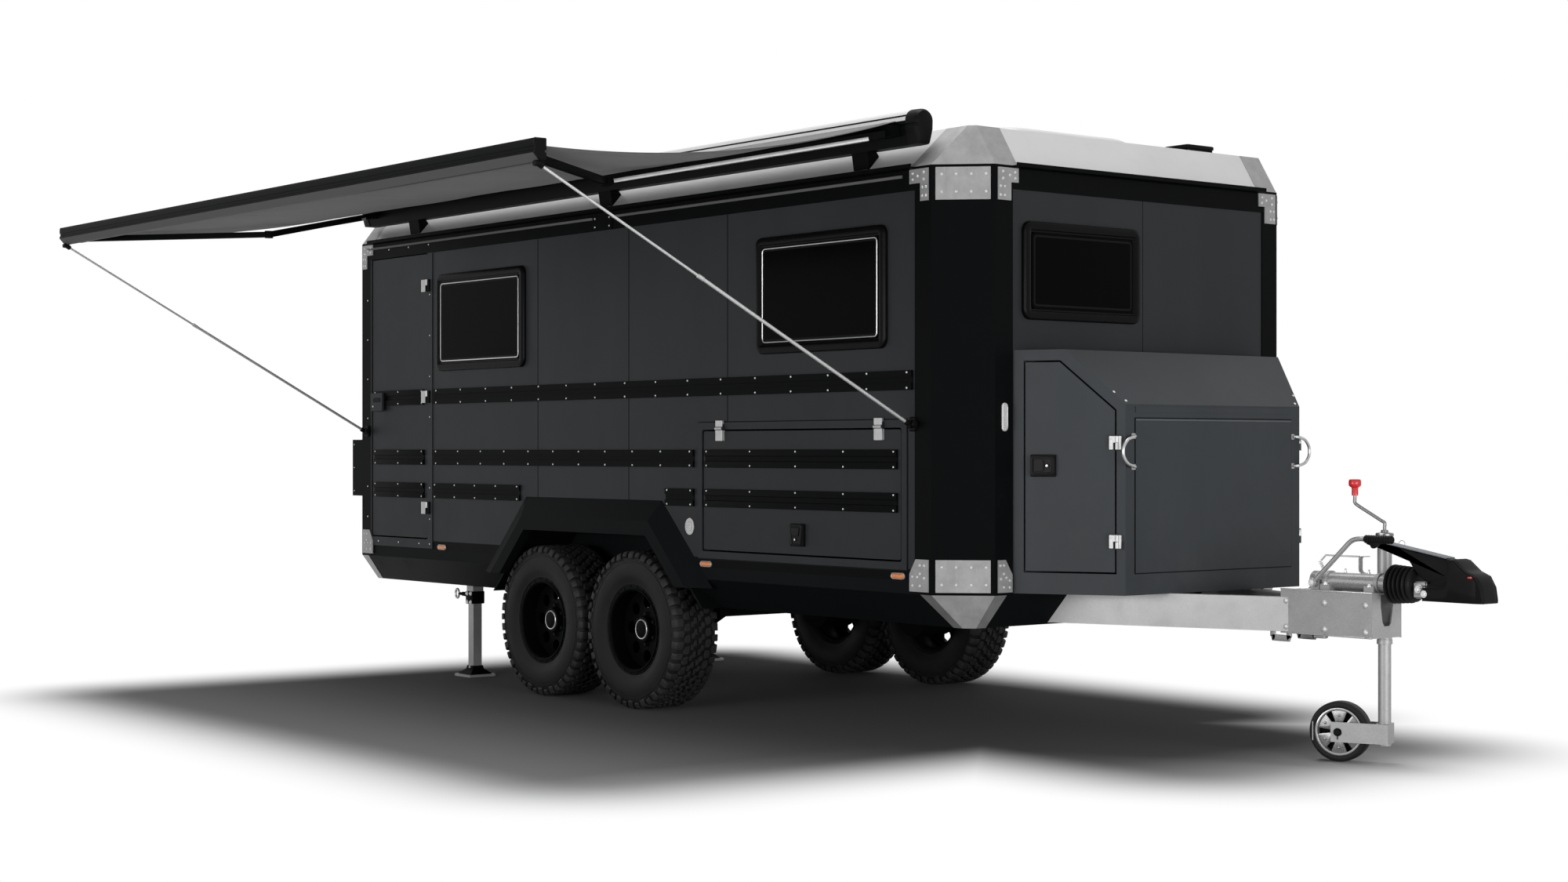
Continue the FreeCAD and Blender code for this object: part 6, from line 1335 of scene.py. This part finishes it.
def make_brake_rod():
    """The brake's rod with its spring and post, and the stirrup that holds the jockey tube's clamp."""
    line = mm([(-815, 118), (-790, 141), (-740, 141), (-630, 141), (-615, 141)])
    rod = tube(level(line, 0.060, 1), 0.004, 10)
    turn = np.linspace(0, 9 * 2 * math.pi, 180)
    coil = np.column_stack([-0.786 + 0.0042 * np.cos(turn) - turn * 0.0006, 0.060 + 0.0095 * np.sin(turn),
                            0.052 + turn * 0.0011])
    post = block((-0.822, -0.792), (0.046, 0.074), (0.0, 0.050), 0.003)
    piece("brake_rod", [rod, tube(coil, 0.0018, 6, (0, 0, 1)), post], "galvanised_steel", BRIGHT)
    line = mm([(-575, 70), (-602, 72), (-616, 82), (-617, 110), (-616, 134), (-603, 141), (-578, 142)])
    stirrup = swept(rounded(0.003, 0.026, 0.001, 2), smooth_path(level(line, 0.070, 1), 5))
    piece("jockey_stirrup", stirrup, "galvanised_steel")


JOCKEY = (-0.545, 0.136)


def make_jockey_head():
    """The crank: a bent bar with a two-step knob, and the tube's cap."""
    turn = math.radians(202.5)
    out = np.array([math.cos(turn), math.sin(turn)]) * 0.125
    steps = ((0, 0.230), (0, 0.262), (0, 0.282), (0.12, 0.292), (0.5, 0.322), (0.88, 0.352),
             (1, 0.366), (1, 0.385), (1, 0.405))
    path = np.array([(*(JOCKEY + out * share), z) for share, z in steps])
    bar_form = tube(smooth_path(path, 6), 0.0072, 16, (math.sin(turn), -math.cos(turn), 0))
    cap = lathe(mm([(0, 226), (36.2, 226), (37.5, 227.5), (37.5, 236), (34, 240), (16, 243), (14.5, 252),
                    (10, 253.5), (0, 253.5)]), 40, "Z")
    piece("jockey_crank_bar", [bar_form, cap.at(*JOCKEY)], "galvanised_steel", CRANK_STEEL,
          replaces=("jockey_crank",))
    knob = lathe(mm([(0, 395), (12.5, 395), (13.5, 396.5), (13.5, 424), (14.5, 428), (23.5, 434.5),
                     (25.5, 438), (26.2, 446), (25.8, 456), (22.8, 462.5), (14, 464), (0, 464.3)]), 40, "Z")
    piece("jockey_knob", knob.at(*(JOCKEY + out)), "amber_lens", RED)


def make_jockey_clamp():
    """Collars and a clamp's jaw round the tube, its bolts with a handle, and a wire clip."""
    bands = (
        [(29.8, 195), (33.5, 196), (33.5, 216), (29.8, 217)],
        [(29.8, -224), (32.5, -223), (32.5, -205), (29.8, -204)],
        [(30.3, -106), (36.5, -105), (36.5, -35), (30.3, -34)],
    )
    forms = [ring_lathe(mm(band), 40, "Z") for band in bands]
    forms += [block((-0.030, 0.030), (-0.056, -0.031), (-0.106, -0.034), 0.003),
              block((0.031, 0.042), (-0.030, 0.012), (-0.106, -0.034), 0.003)]
    piece("jockey_clamp_jaw", together(forms).at(*JOCKEY), "galvanised_steel")
    bolt = hex_bolt(0.009, 0.010).turned("Y", 90)
    bolts = repeated(bolt, [(0.042, -0.012, -0.052), (0.042, -0.012, -0.088)])
    line = level(mm([(45, -70), (75, -70), (78, -60), (78, -10)]), -0.012, 1)
    handle = tube(smooth_path(line, 5), 0.005, 12)
    piece("jockey_clamp_bolts", together([bolts, handle]).at(*JOCKEY), "galvanised_steel", BRIGHT)
    clip = mm([(36, 200), (52, 199), (66, 194), (76, 205), (86, 211), (98, 208), (103, 198), (98, 188),
               (86, 184), (74, 188), (64, 186), (36, 190)])
    wire = tube(smooth_path(level(clip, 0.0, 1), 5), 0.0016, 8)
    piece("jockey_clip", wire.at(*JOCKEY), "galvanised_steel", BRIGHT)


def make_jockey_wheel():
    """The jockey wheel: a black band, a bright rim and a pressed wheel of six windows, turned into line."""
    radius = 0.127
    trail = 0.185

    def put(*forms):
        return together(forms).at(-trail, 0, radius).turned("Z", 22.5).at(*JOCKEY, GROUND)

    band = mm([(99.5, -33), (104, -36.5), (114.5, -37.5), (122.5, -34.5), (126.2, -27.5), (126.8, -14)])
    band = np.concatenate([band, band[::-1] * (1, -1)])
    piece("jockey_tyre", put(ring_lathe(band, 72)), "castor_rubber", CASTOR, "jockey_roller",
          ("jockey_wheel",), 36)
    rim = mm([(90, -30), (91.5, -34.5), (95.5, -36), (100, -35), (100.5, -30)])
    rim = ring_lathe(np.concatenate([rim, rim[::-1] * (1, -1)]), 72)
    hub = mm([(0, -31), (18.5, -31), (20, -29.5), (21, -18), (34, -12.5)])
    hub = lathe(np.concatenate([hub, hub[::-1] * (1, -1)]), 40)
    piece("jockey_rim", put(rim, hub), "galvanised_steel", ZINC_SMOOTH, "jockey_roller")
    span = np.linspace(-0.36, 0.36, 9) * math.pi / 3
    arc = np.column_stack([np.sin(span), np.cos(span)])
    edge = np.concatenate([arc * 0.090, arc[::-1] * 0.030])
    faces = [pillow(edge, [(way * 0.0235, 0.0), (way * 0.0255, 0.001), (way * 0.0265, 0.006)])
             for way in (-1, 1)]
    spokes = [face.turned("Y", 60.0 * turn) for turn in range(6) for face in faces]
    dimple = lathe(mm([(6, 26.2), (6, 28.2), (3.5, 29.2), (0, 29.2)]), 12)
    dimples = both(repeated_round(dimple, 6, 0.068, 0.0))
    piece("jockey_spokes", put(*spokes, dimples), "galvanised_steel", SPOKE_METAL, "jockey_roller")
    web = ring_lathe(mm([(20, -4), (90.5, -4), (90.5, 4), (20, 4)]))
    piece("jockey_web", put(web), "black_metal", None, "jockey_roller")
    nut = hex_bolt(0.013, 0.012).turned("X", 90).at(0, -0.050, 0)
    pin = tube(mm([(0, -54.5, 16), (0, -54.8, 0), (0, -54.5, -30)]), 0.002, 8, (1, 0, 0))
    piece("jockey_axle_nuts", put(both(nut), pin), "rim_black", DARK_STEEL, "jockey_castor")
    seam = block((-0.108, -0.104), (-0.0515, -0.0495), (-0.040, 0.040), 0.0006)
    piece("jockey_fork_seam", put(both(seam)), "galvanised_steel", None, "jockey_castor")


# Front locker

LOCKER_SLOPE = math.atan2(0.244, 0.433)
LOCKER_ROOT = 0.816
LOCKER_PIN = 0.463


def on_locker(form):
    """A form drawn as (along from the wall, up, out), on the locker's right and left side walls."""
    u, v, w = form.points.T
    x = NOSE + u * math.cos(LOCKER_SLOPE) + w * math.sin(LOCKER_SLOPE)
    y = -LOCKER_ROOT + u * math.sin(LOCKER_SLOPE) - w * math.cos(LOCKER_SLOPE)
    right = Form(np.stack([x, y, v], axis=1), form.faces)
    return right, right.other_side()


def make_locker_details():
    """Latches on the side doors, grab bars on the front, and screws at the lid's corners."""
    across, up = 0.1365, 0.519
    latch = [form.turned("Z", 90).at(across, up) for form in paddle_latch(0.090, 0.106, 0.018, 0.80)]
    latch.append(lock_face(0.0055).at(across + 0.0222, up, 0.0166 + LATCH_STAND))
    latch_pieces("locker", latch, on_locker, "locker_side")
    foot = slab(0.026, 0.024, 0.006, 4, -0.001, 0.003, 0.001)
    screws = repeated(screw_head(0.0032, 0.002), [(-0.008, 0, 0.003), (0.008, 0, 0.003)])
    spots = [(-0.523, z, LOCKER_FACE) for z in (0.514, 0.646)]
    feet = repeated(together([foot, screws]), spots).laid("front")
    half_bow = mm([(0, -523, -66), (14, -526, -66), (24, -546, -63), (25, -583, -51), (25, -607, -24)])
    bow = np.concatenate([half_bow, mm([(25, -612, 0)]), half_bow[::-1] * (1, 1, -1)])
    bow = bow + (LOCKER_FACE, 0, 0.580)
    grab = tube(smooth_path(bow, 6), 0.0068, 16, (1, 0.2, 0))
    piece("grab_bars", both(grab, feet), "bare_aluminium", CHROMED, replaces=("grab_handles",))
    lid = math.degrees(math.atan2(0.237, 0.234))
    spots = [(LOCKER_FACE - back, y, z) for back, half, z in ((0.012, 0.556, 0.797), (0.050, 0.590, 0.835))
             for y in (-half, half)]
    head = screw_head(0.006, 0.003, 10).turned("Y", 90 - lid)
    piece("locker_lid_screws", repeated(head, spots), "plate_aluminium", BRIGHT)


def make_locker_hinges():
    """Bright butt hinges at the locker doors' front edges."""
    fixed = []
    moving = []
    for z in (0.195, 0.617):
        fixed.append(slab(0.016, 0.058, 0.003, 2, 0.0, 0.0150, 0.0012).at(LOCKER_PIN + 0.0105, z))
        moving.append(slab(0.018, 0.058, 0.003, 2, -0.001, 0.0150, 0.0012).at(LOCKER_PIN - 0.0255, z))
        cover = slab(0.020, 0.0285, 0.001, 2, 0.0105, 0.0160, 0.001)
        moving.append(cover.at(LOCKER_PIN - 0.0095, z + 0.01435))
        fixed.append(upright_knuckle(LOCKER_PIN, -0.029, -0.0003, z))
        moving.append(upright_knuckle(LOCKER_PIN, 0.0003, 0.029, z))
    head = screw_head(0.003, 0.0015)
    groups = (("frames", fixed, 0.0115, None), ("leaves", moving, -0.0265, "locker_side"))
    for word, forms, across, body in groups:
        screws = repeated(head, crossing(LOCKER_PIN + across, (0.178, 0.212, 0.600, 0.634), 0.0150))
        placed = on_locker(together([*forms, screws]))
        side_pieces(f"locker_hinge_{word}", placed, "plate_aluminium", PALE_METAL, body)


# Rails on the door and the hatches

HALF_RAIL = mm([(-43.6, 0), (-43.6, 12.5), (-42.8, 13.3), (-14, 13.3), (-12.6, 12), (-11.8, 6.2)])
RAIL_SECTION = np.concatenate([HALF_RAIL, HALF_RAIL[::-1] * (-1, 1)])


def rail_skins(x0, x1, heights):
    """Rails with a hat-shaped section along the wall, their ends drawn in."""
    return together([bar(RAIL_SECTION, x0, x1, 0.002, 0.97).at(0, height, SIDE) for height in heights])


def make_rail_skins():
    """Black rails over the ones that the door and the hatches carry."""
    door = rail_skins(-6.9045, -6.3225, RAIL_HEIGHTS)
    piece("door_rails", door.laid("right"), "black_metal", None, "entrance")
    hatch = rail_skins(-3.6075, -2.1945, RAIL_HEIGHTS[:2])
    side_pieces("hatch_rails", on_sides(hatch), "black_metal", None, "storage_hatch")


# Roof

DOME_X = -2.605


def dome(width, depth, corner, low, high, soft):
    """A low cover: a rounded outline whose rings follow a quarter-ellipse inwards and up."""
    base = rounded(width, depth, corner, 8)
    rings = [level(base, low)]
    for angle in np.linspace(0, math.pi / 2, 9):
        inset = soft * (1 - math.cos(angle))
        share = (1 - 2 * inset / width, 1 - 2 * inset / depth)
        rings.append(level(base * share, high - soft * 0.55 * (1 - math.sin(angle))))
    rings.append(level(base * 0.35, high + 0.004))
    return loft(rings)


def make_roof():
    """The front dome on its seal, and the lids of the vent and of the small box beside it."""
    cover = dome(0.780, 0.920, 0.15, 1.995, 2.081, 0.070).at(DOME_X)
    piece("roof_dome", cover, "roof_white", DOME_WHITE, replaces=("roof_unit",), crease=50)
    section = [(0.0, 1.995), (0.0, 2.003), (0.012, 2.003), (0.014, 1.995)]
    skirt = carried(section, rounded(0.780, 0.920, 0.15, 8))
    piece("roof_dome_seal", skirt.at(DOME_X), "castor_rubber")
    lids = [dome(0.432, 0.432, 0.035, 2.036, 2.051, 0.020).at(-4.835),
            dome(0.158, 0.198, 0.014, 2.062, 2.080, 0.010).at(-2.25, 0.835)]
    piece("roof_lids", lids, "black_plastic")


# Awning struts and brackets

STRUT_ENDS = (
    ((-2.086, -1.148, 0.699), (-2.175, -3.0, 1.704)),
    ((-6.986, -1.148, 0.699), (-6.94, -3.0, 1.704)),
)
STRUT_STEPS = ((0.0, 0.0078), (0.3, 0.0078), (0.58, 0.0078), (0.581, 0.0094), (0.596, 0.0094),
               (0.597, 0.0058), (0.8, 0.0058), (1.0, 0.0058))


def make_struts():
    """Each strut is two tubes, one in the other, with moulded ends on a wall block and the lead rail."""
    tubes = []
    fittings = []
    share, radius = np.array(STRUT_STEPS).T
    ends = mm([0, 4, 32, 36])
    for base, top in STRUT_ENDS:
        base = np.array(base)
        top = np.array(top)
        tubes.append(tube(base + (top - base) * share[:, None], radius, 16, (1, 0, 0)))
        for start, way in ((base, 1.0), (top, -1.0)):
            along = way * (top - base) / np.linalg.norm(top - base)
            path = start + along * (ends - 0.008)[:, None]
            fittings.append(tube(path, (0.009, 0.0125, 0.0125, 0.009), 16, (1, 0, 0)))
        for x, half, y, z in ((base[0], 0.018, (-1.136, -1.117), (0.667, 0.731)),
                              (base[0], 0.0125, (-1.156, -1.132), (0.682, 0.716)),
                              (top[0], 0.015, (-3.016, -2.984), (1.692, 1.714))):
            fittings.append(block((x - half, x + half), y, z, 0.004))
    knob = lathe(mm([(4, 0), (4, 10), (13, 12), (14.5, 15), (14.5, 22), (12, 26), (0, 26.5)]), 20, "X")
    knobs = repeated(knob, [(base[0] + 0.012, -1.1445, 0.699) for base, top in STRUT_ENDS])
    piece("strut_tubes", tubes, "bare_aluminium", STRUT_METAL, replaces=("awning_struts",))
    piece("strut_fittings", fittings, "black_plastic")
    piece("strut_knobs", knobs, "black_plastic")


BRACKET_XS = (-2.4645, -4.4967, -6.4658)


def make_bracket_details():
    """Bolts on the awning brackets' foot plates, and screws on the band joint."""
    spots = [(x + across, CASE_Y - 0.0005, 1.9215) for x in BRACKET_XS for across in (-0.038, 0.038)]
    feet = repeated(hex_bolt(0.0075, 0.006).turned("Y", 180), spots)
    joint = repeated(screw_head(0.005, 0.0028), crossing((-4.560, -4.430), (1.738, 1.782), SIDE + 0.0092))
    piece("bracket_bolts", [feet, joint.laid("right")], "plate_aluminium", BRIGHT)


# Rear legs, drawn about the right leg's axis

LEG = (-6.244, -0.83)
FOOT_Z = GROUND + 0.014


def make_legs():
    """Black collars and crank rods on the housings, ring handles, and cast feet on the inner legs."""
    square = rounded(0.0704, 0.0704, 0.002, 2)
    band = carried(mm([(0, -304), (5, -303), (6, -300), (6, -236), (5, -233), (0, -232)]), square)
    flange = carried(mm([(0, -128), (22, -127), (24, -124), (24, -114), (22, -111), (0, -110)]), square)
    rod = lathe(mm([(0, -176), (7.5, -176), (8.5, -172), (8.5, -140), (12.5, -138), (12.5, -110), (14, -108),
                    (14, -36), (0, -36)]), 20, "X").at(0, 0, -0.255)
    piece("leg_collars", both(together([band, flange, rod]).at(*LEG)), "black_metal")
    turn = circle(28)[np.arange(30) % 28]
    loop = level(np.column_stack([-0.200 + 0.019 * np.cos(turn), -0.255 + 0.026 * np.sin(turn)]), 0.0, 1)
    bolts = repeated(hex_bolt(0.009, 0.008).turned("X", 90), [(x, -0.041, z) for x in (-0.02, 0.02)
                                                              for z in (-0.245, -0.295)])
    eye = tube(loop, 0.0065, 12)
    piece("leg_crank_eyes", both(together([eye, bolts]).at(*LEG)), "galvanised_steel", BRIGHT)
    foot = lathe(mm([(0, -2), (100, -2), (98, 3), (52, 30), (47, 48), (0, 48)]), 4, "Z", math.pi / 4)
    pin = hex_bolt(0.008, 0.010).turned("X", 90).at(0, -0.030, 0.040)
    parts = (("foot", foot, "black_metal", None), ("pin", pin, "galvanised_steel", BRIGHT))
    for word, form, slot, look in parts:
        right = form.at(*LEG, FOOT_Z)
        side_pieces(f"leg_{word}", (right, right.other_side()), slot, look, "rear_leg")


# Small fittings on the walls

def make_inlets():
    """An oval filler cap low on each side, and an oval connection plate on the front wall by the corner."""
    rim = lathe(mm([(0, 0), (36.5, 0), (37, 4), (34.5, 7.5), (31, 8), (30, 5.5), (0, 5.5)]), 40, "Z")
    rim = Form(rim.points * (0.92, 1.13, 1.0), rim.faces)
    cap = lathe(mm([(0, 5), (25, 5), (25.5, 9.5), (23, 12.5), (0, 13.5)]), 32, "Z")
    grip = slab(0.038, 0.010, 0.004, 4, 0.012, 0.0185, 0.002)
    filler = together([rim, cap, grip]).at(-3.740, 0.212, SIDE)
    piece("filler_caps", on_sides(filler), "roof_white", WHITE_PLASTIC)
    oval = stadium(0.124, 0.034)[:, ::-1]
    ring = carried(mm([(0, 7), (0, 10.5), (-3, 10.5), (-4, 7)]), oval * (0.75, 0.86))
    screws = repeated(screw_head(0.003, 0.002), [(0, 0.052, 0.008), (0, -0.052, 0.008)])
    base = plate(oval, -0.001, 0.008, 0.003)
    cover = plate(oval * (0.62, 0.80), 0.006, 0.0095, 0.001)
    drawn = together([base, ring, cover, screws]).at(-0.874, 0.729, NOSE + 0.005)
    piece("corner_connection", drawn.laid("front"), "plate_aluminium", BRIGHT)


# Stage

# Where the floor is painted dark grey: a painted shadow under the trailer.
PAINTED_SHADOW_PLACE = ((-7.1, -1.5), (-1.0, 1.0))
SHADOW_PLACES = (((-6.4, -2.2), (-2.7, 1.0)), ((-2.2, -0.9), (-0.6, 0.5)))
SKY_LIGHT = 0.04


def from_place(x, y, place):
    """How far a spot of the floor lies outside a rectangle."""
    across, along = (((value - (low + high) / 2).absolute() - (high - low) / 2).most(0.0)
                     for value, (low, high) in zip((x, y), place))
    return (across ** 2 + along ** 2) ** 0.5


def make_floor():
    """A floor painted dark grey below the trailer, a painted shadow under the real one, and plain white
    farther out.

    The plain white counts for rays from the camera, from a glossy surface or through a clear one.
    """
    bpy.ops.mesh.primitive_plane_add(size=160, location=(-3, 0, GROUND - 0.001))
    floor = bpy.context.object
    floor.name = "studio_floor"
    finish = Finish("studio_floor_paint", Roughness=0.9, Specular_IOR_Level=0.1)
    x, y = finish.axes(finish.node("ShaderNodeNewGeometry").outputs["Position"])[:2]
    # The floor's colour is painted dark grey near the trailer: a painted shadow beneath the real one.
    outside = from_place(x, y, PAINTED_SHADOW_PLACE).step(0.0, 2.4)
    finish.set(Base_Color=finish.mix(outside, (0.17, 0.17, 0.17), (0.93, 0.93, 0.93)))
    reach = from_place(x, y, SHADOW_PLACES[0]).least(from_place(x, y, SHADOW_PLACES[1]))
    path = finish.node("ShaderNodeLightPath")
    camera, glossy, clear = (Value(finish, path.outputs[f"Is {word} Ray"])
                             for word in ("Camera", "Glossy", "Transmission"))
    share = camera.most(glossy).most(clear) * reach.step(0.1, 1.1)
    white = finish.node("ShaderNodeEmission", Color=(1, 1, 1, 1), Strength=1.0)
    mixed = finish.node("ShaderNodeMixShader")
    for place, value in zip(mixed.inputs, (share, finish.shader.outputs[0], white.outputs[0])):
        finish.give(place, value)
    finish.give(finish.tree.nodes["Material Output"].inputs["Surface"], mixed.outputs[0])
    floor.data.materials.append(finish.material)


def set_world():
    """White for what is seen directly or in a reflection, a weaker even sky for diffuse light."""
    world = bpy.context.scene.world or bpy.data.worlds.new("studio")
    bpy.context.scene.world = world
    world.use_nodes = True
    tree = world.node_tree
    tree.nodes.clear()
    path = tree.nodes.new("ShaderNodeLightPath")
    seen = path.outputs["Is Camera Ray"]
    for word in ("Glossy", "Transmission"):
        larger = tree.nodes.new("ShaderNodeMath")
        larger.operation = "MAXIMUM"
        tree.links.new(seen, larger.inputs[0])
        tree.links.new(path.outputs[f"Is {word} Ray"], larger.inputs[1])
        seen = larger.outputs[0]
    mixed = tree.nodes.new("ShaderNodeMixShader")
    tree.links.new(seen, mixed.inputs[0])
    for place, strength in zip(mixed.inputs[1:], (SKY_LIGHT, 1.0)):
        sky = tree.nodes.new("ShaderNodeBackground")
        sky.inputs["Strength"].default_value = strength
        sky.inputs["Color"].default_value = (1, 1, 1, 1)
        tree.links.new(sky.outputs[0], place)
    tree.links.new(mixed.outputs[0], tree.nodes.new("ShaderNodeOutputWorld").inputs[0])


def area_lamp(name, where, at, size, height, power):
    """A rectangular lamp that stands at one place and faces another."""
    lamp = bpy.data.lights.new(name, "AREA")
    lamp.energy = power
    lamp.shape = "RECTANGLE"
    lamp.size = size
    lamp.size_y = height
    holder = bpy.data.objects.new(name, lamp)
    holder.location = where
    holder.rotation_euler = (Vector(at) - Vector(where)).to_track_quat("-Z", "Y").to_euler()
    bpy.context.scene.collection.objects.link(holder)


def set_lamps():
    """A large lamp overhead, and two lower ones that fill the side and the front."""
    area_lamp("lamp_top", (-4.0, -0.6, 9.0), (-4.2, -0.6, 0), 4.5, 4.5, 680)
    area_lamp("lamp_side", (-2.0, -12.2, 0.7), (-4.2, -1.1, 0.7), 7, 1.8, 490)
    area_lamp("lamp_front", (8.0, -2.5, 0.7), (-1.5, -0.3, 0.7), 7, 1.8, 510)


EYE = (5.632, -7.984, 0.586)
EYE_TURN = 51.5
LENS = 54.34
LENS_SHIFT = 0.0058


def set_camera():
    """The photograph's view: level, eye height 1.31 m above the ground, seen from the front right."""
    camera = bpy.data.cameras.new("view")
    camera.sensor_width = 36
    camera.lens = LENS
    camera.shift_y = LENS_SHIFT
    camera.clip_end = 500
    holder = bpy.data.objects.new("view", camera)
    holder.location = EYE
    holder.rotation_euler = (math.radians(90), 0, math.radians(EYE_TURN))
    bpy.context.scene.collection.objects.link(holder)
    bpy.context.scene.camera = holder
    bpy.context.scene.view_settings.view_transform = "Standard"


dress_frame()
make_rail_screws()
make_trim_screws()
make_corner_screws()
make_wall_lines()
make_locker_lines()
make_cloth()
make_case()
make_lead_rail()
make_arm_covers()
make_windows()
make_wheels()
make_hatch_hinges()
make_door_hinges()
make_latches()
make_door_handle()
make_lamps()
make_coupling()
make_bellows()
make_shaft_details()
make_drawbar_bolts()
make_handbrake()
make_brake_rod()
make_jockey_head()
make_jockey_clamp()
make_jockey_wheel()
make_locker_details()
make_locker_hinges()
make_rail_skins()
make_roof()
make_struts()
make_bracket_details()
make_legs()
make_inlets()
make_floor()
set_world()
set_lamps()
set_camera()
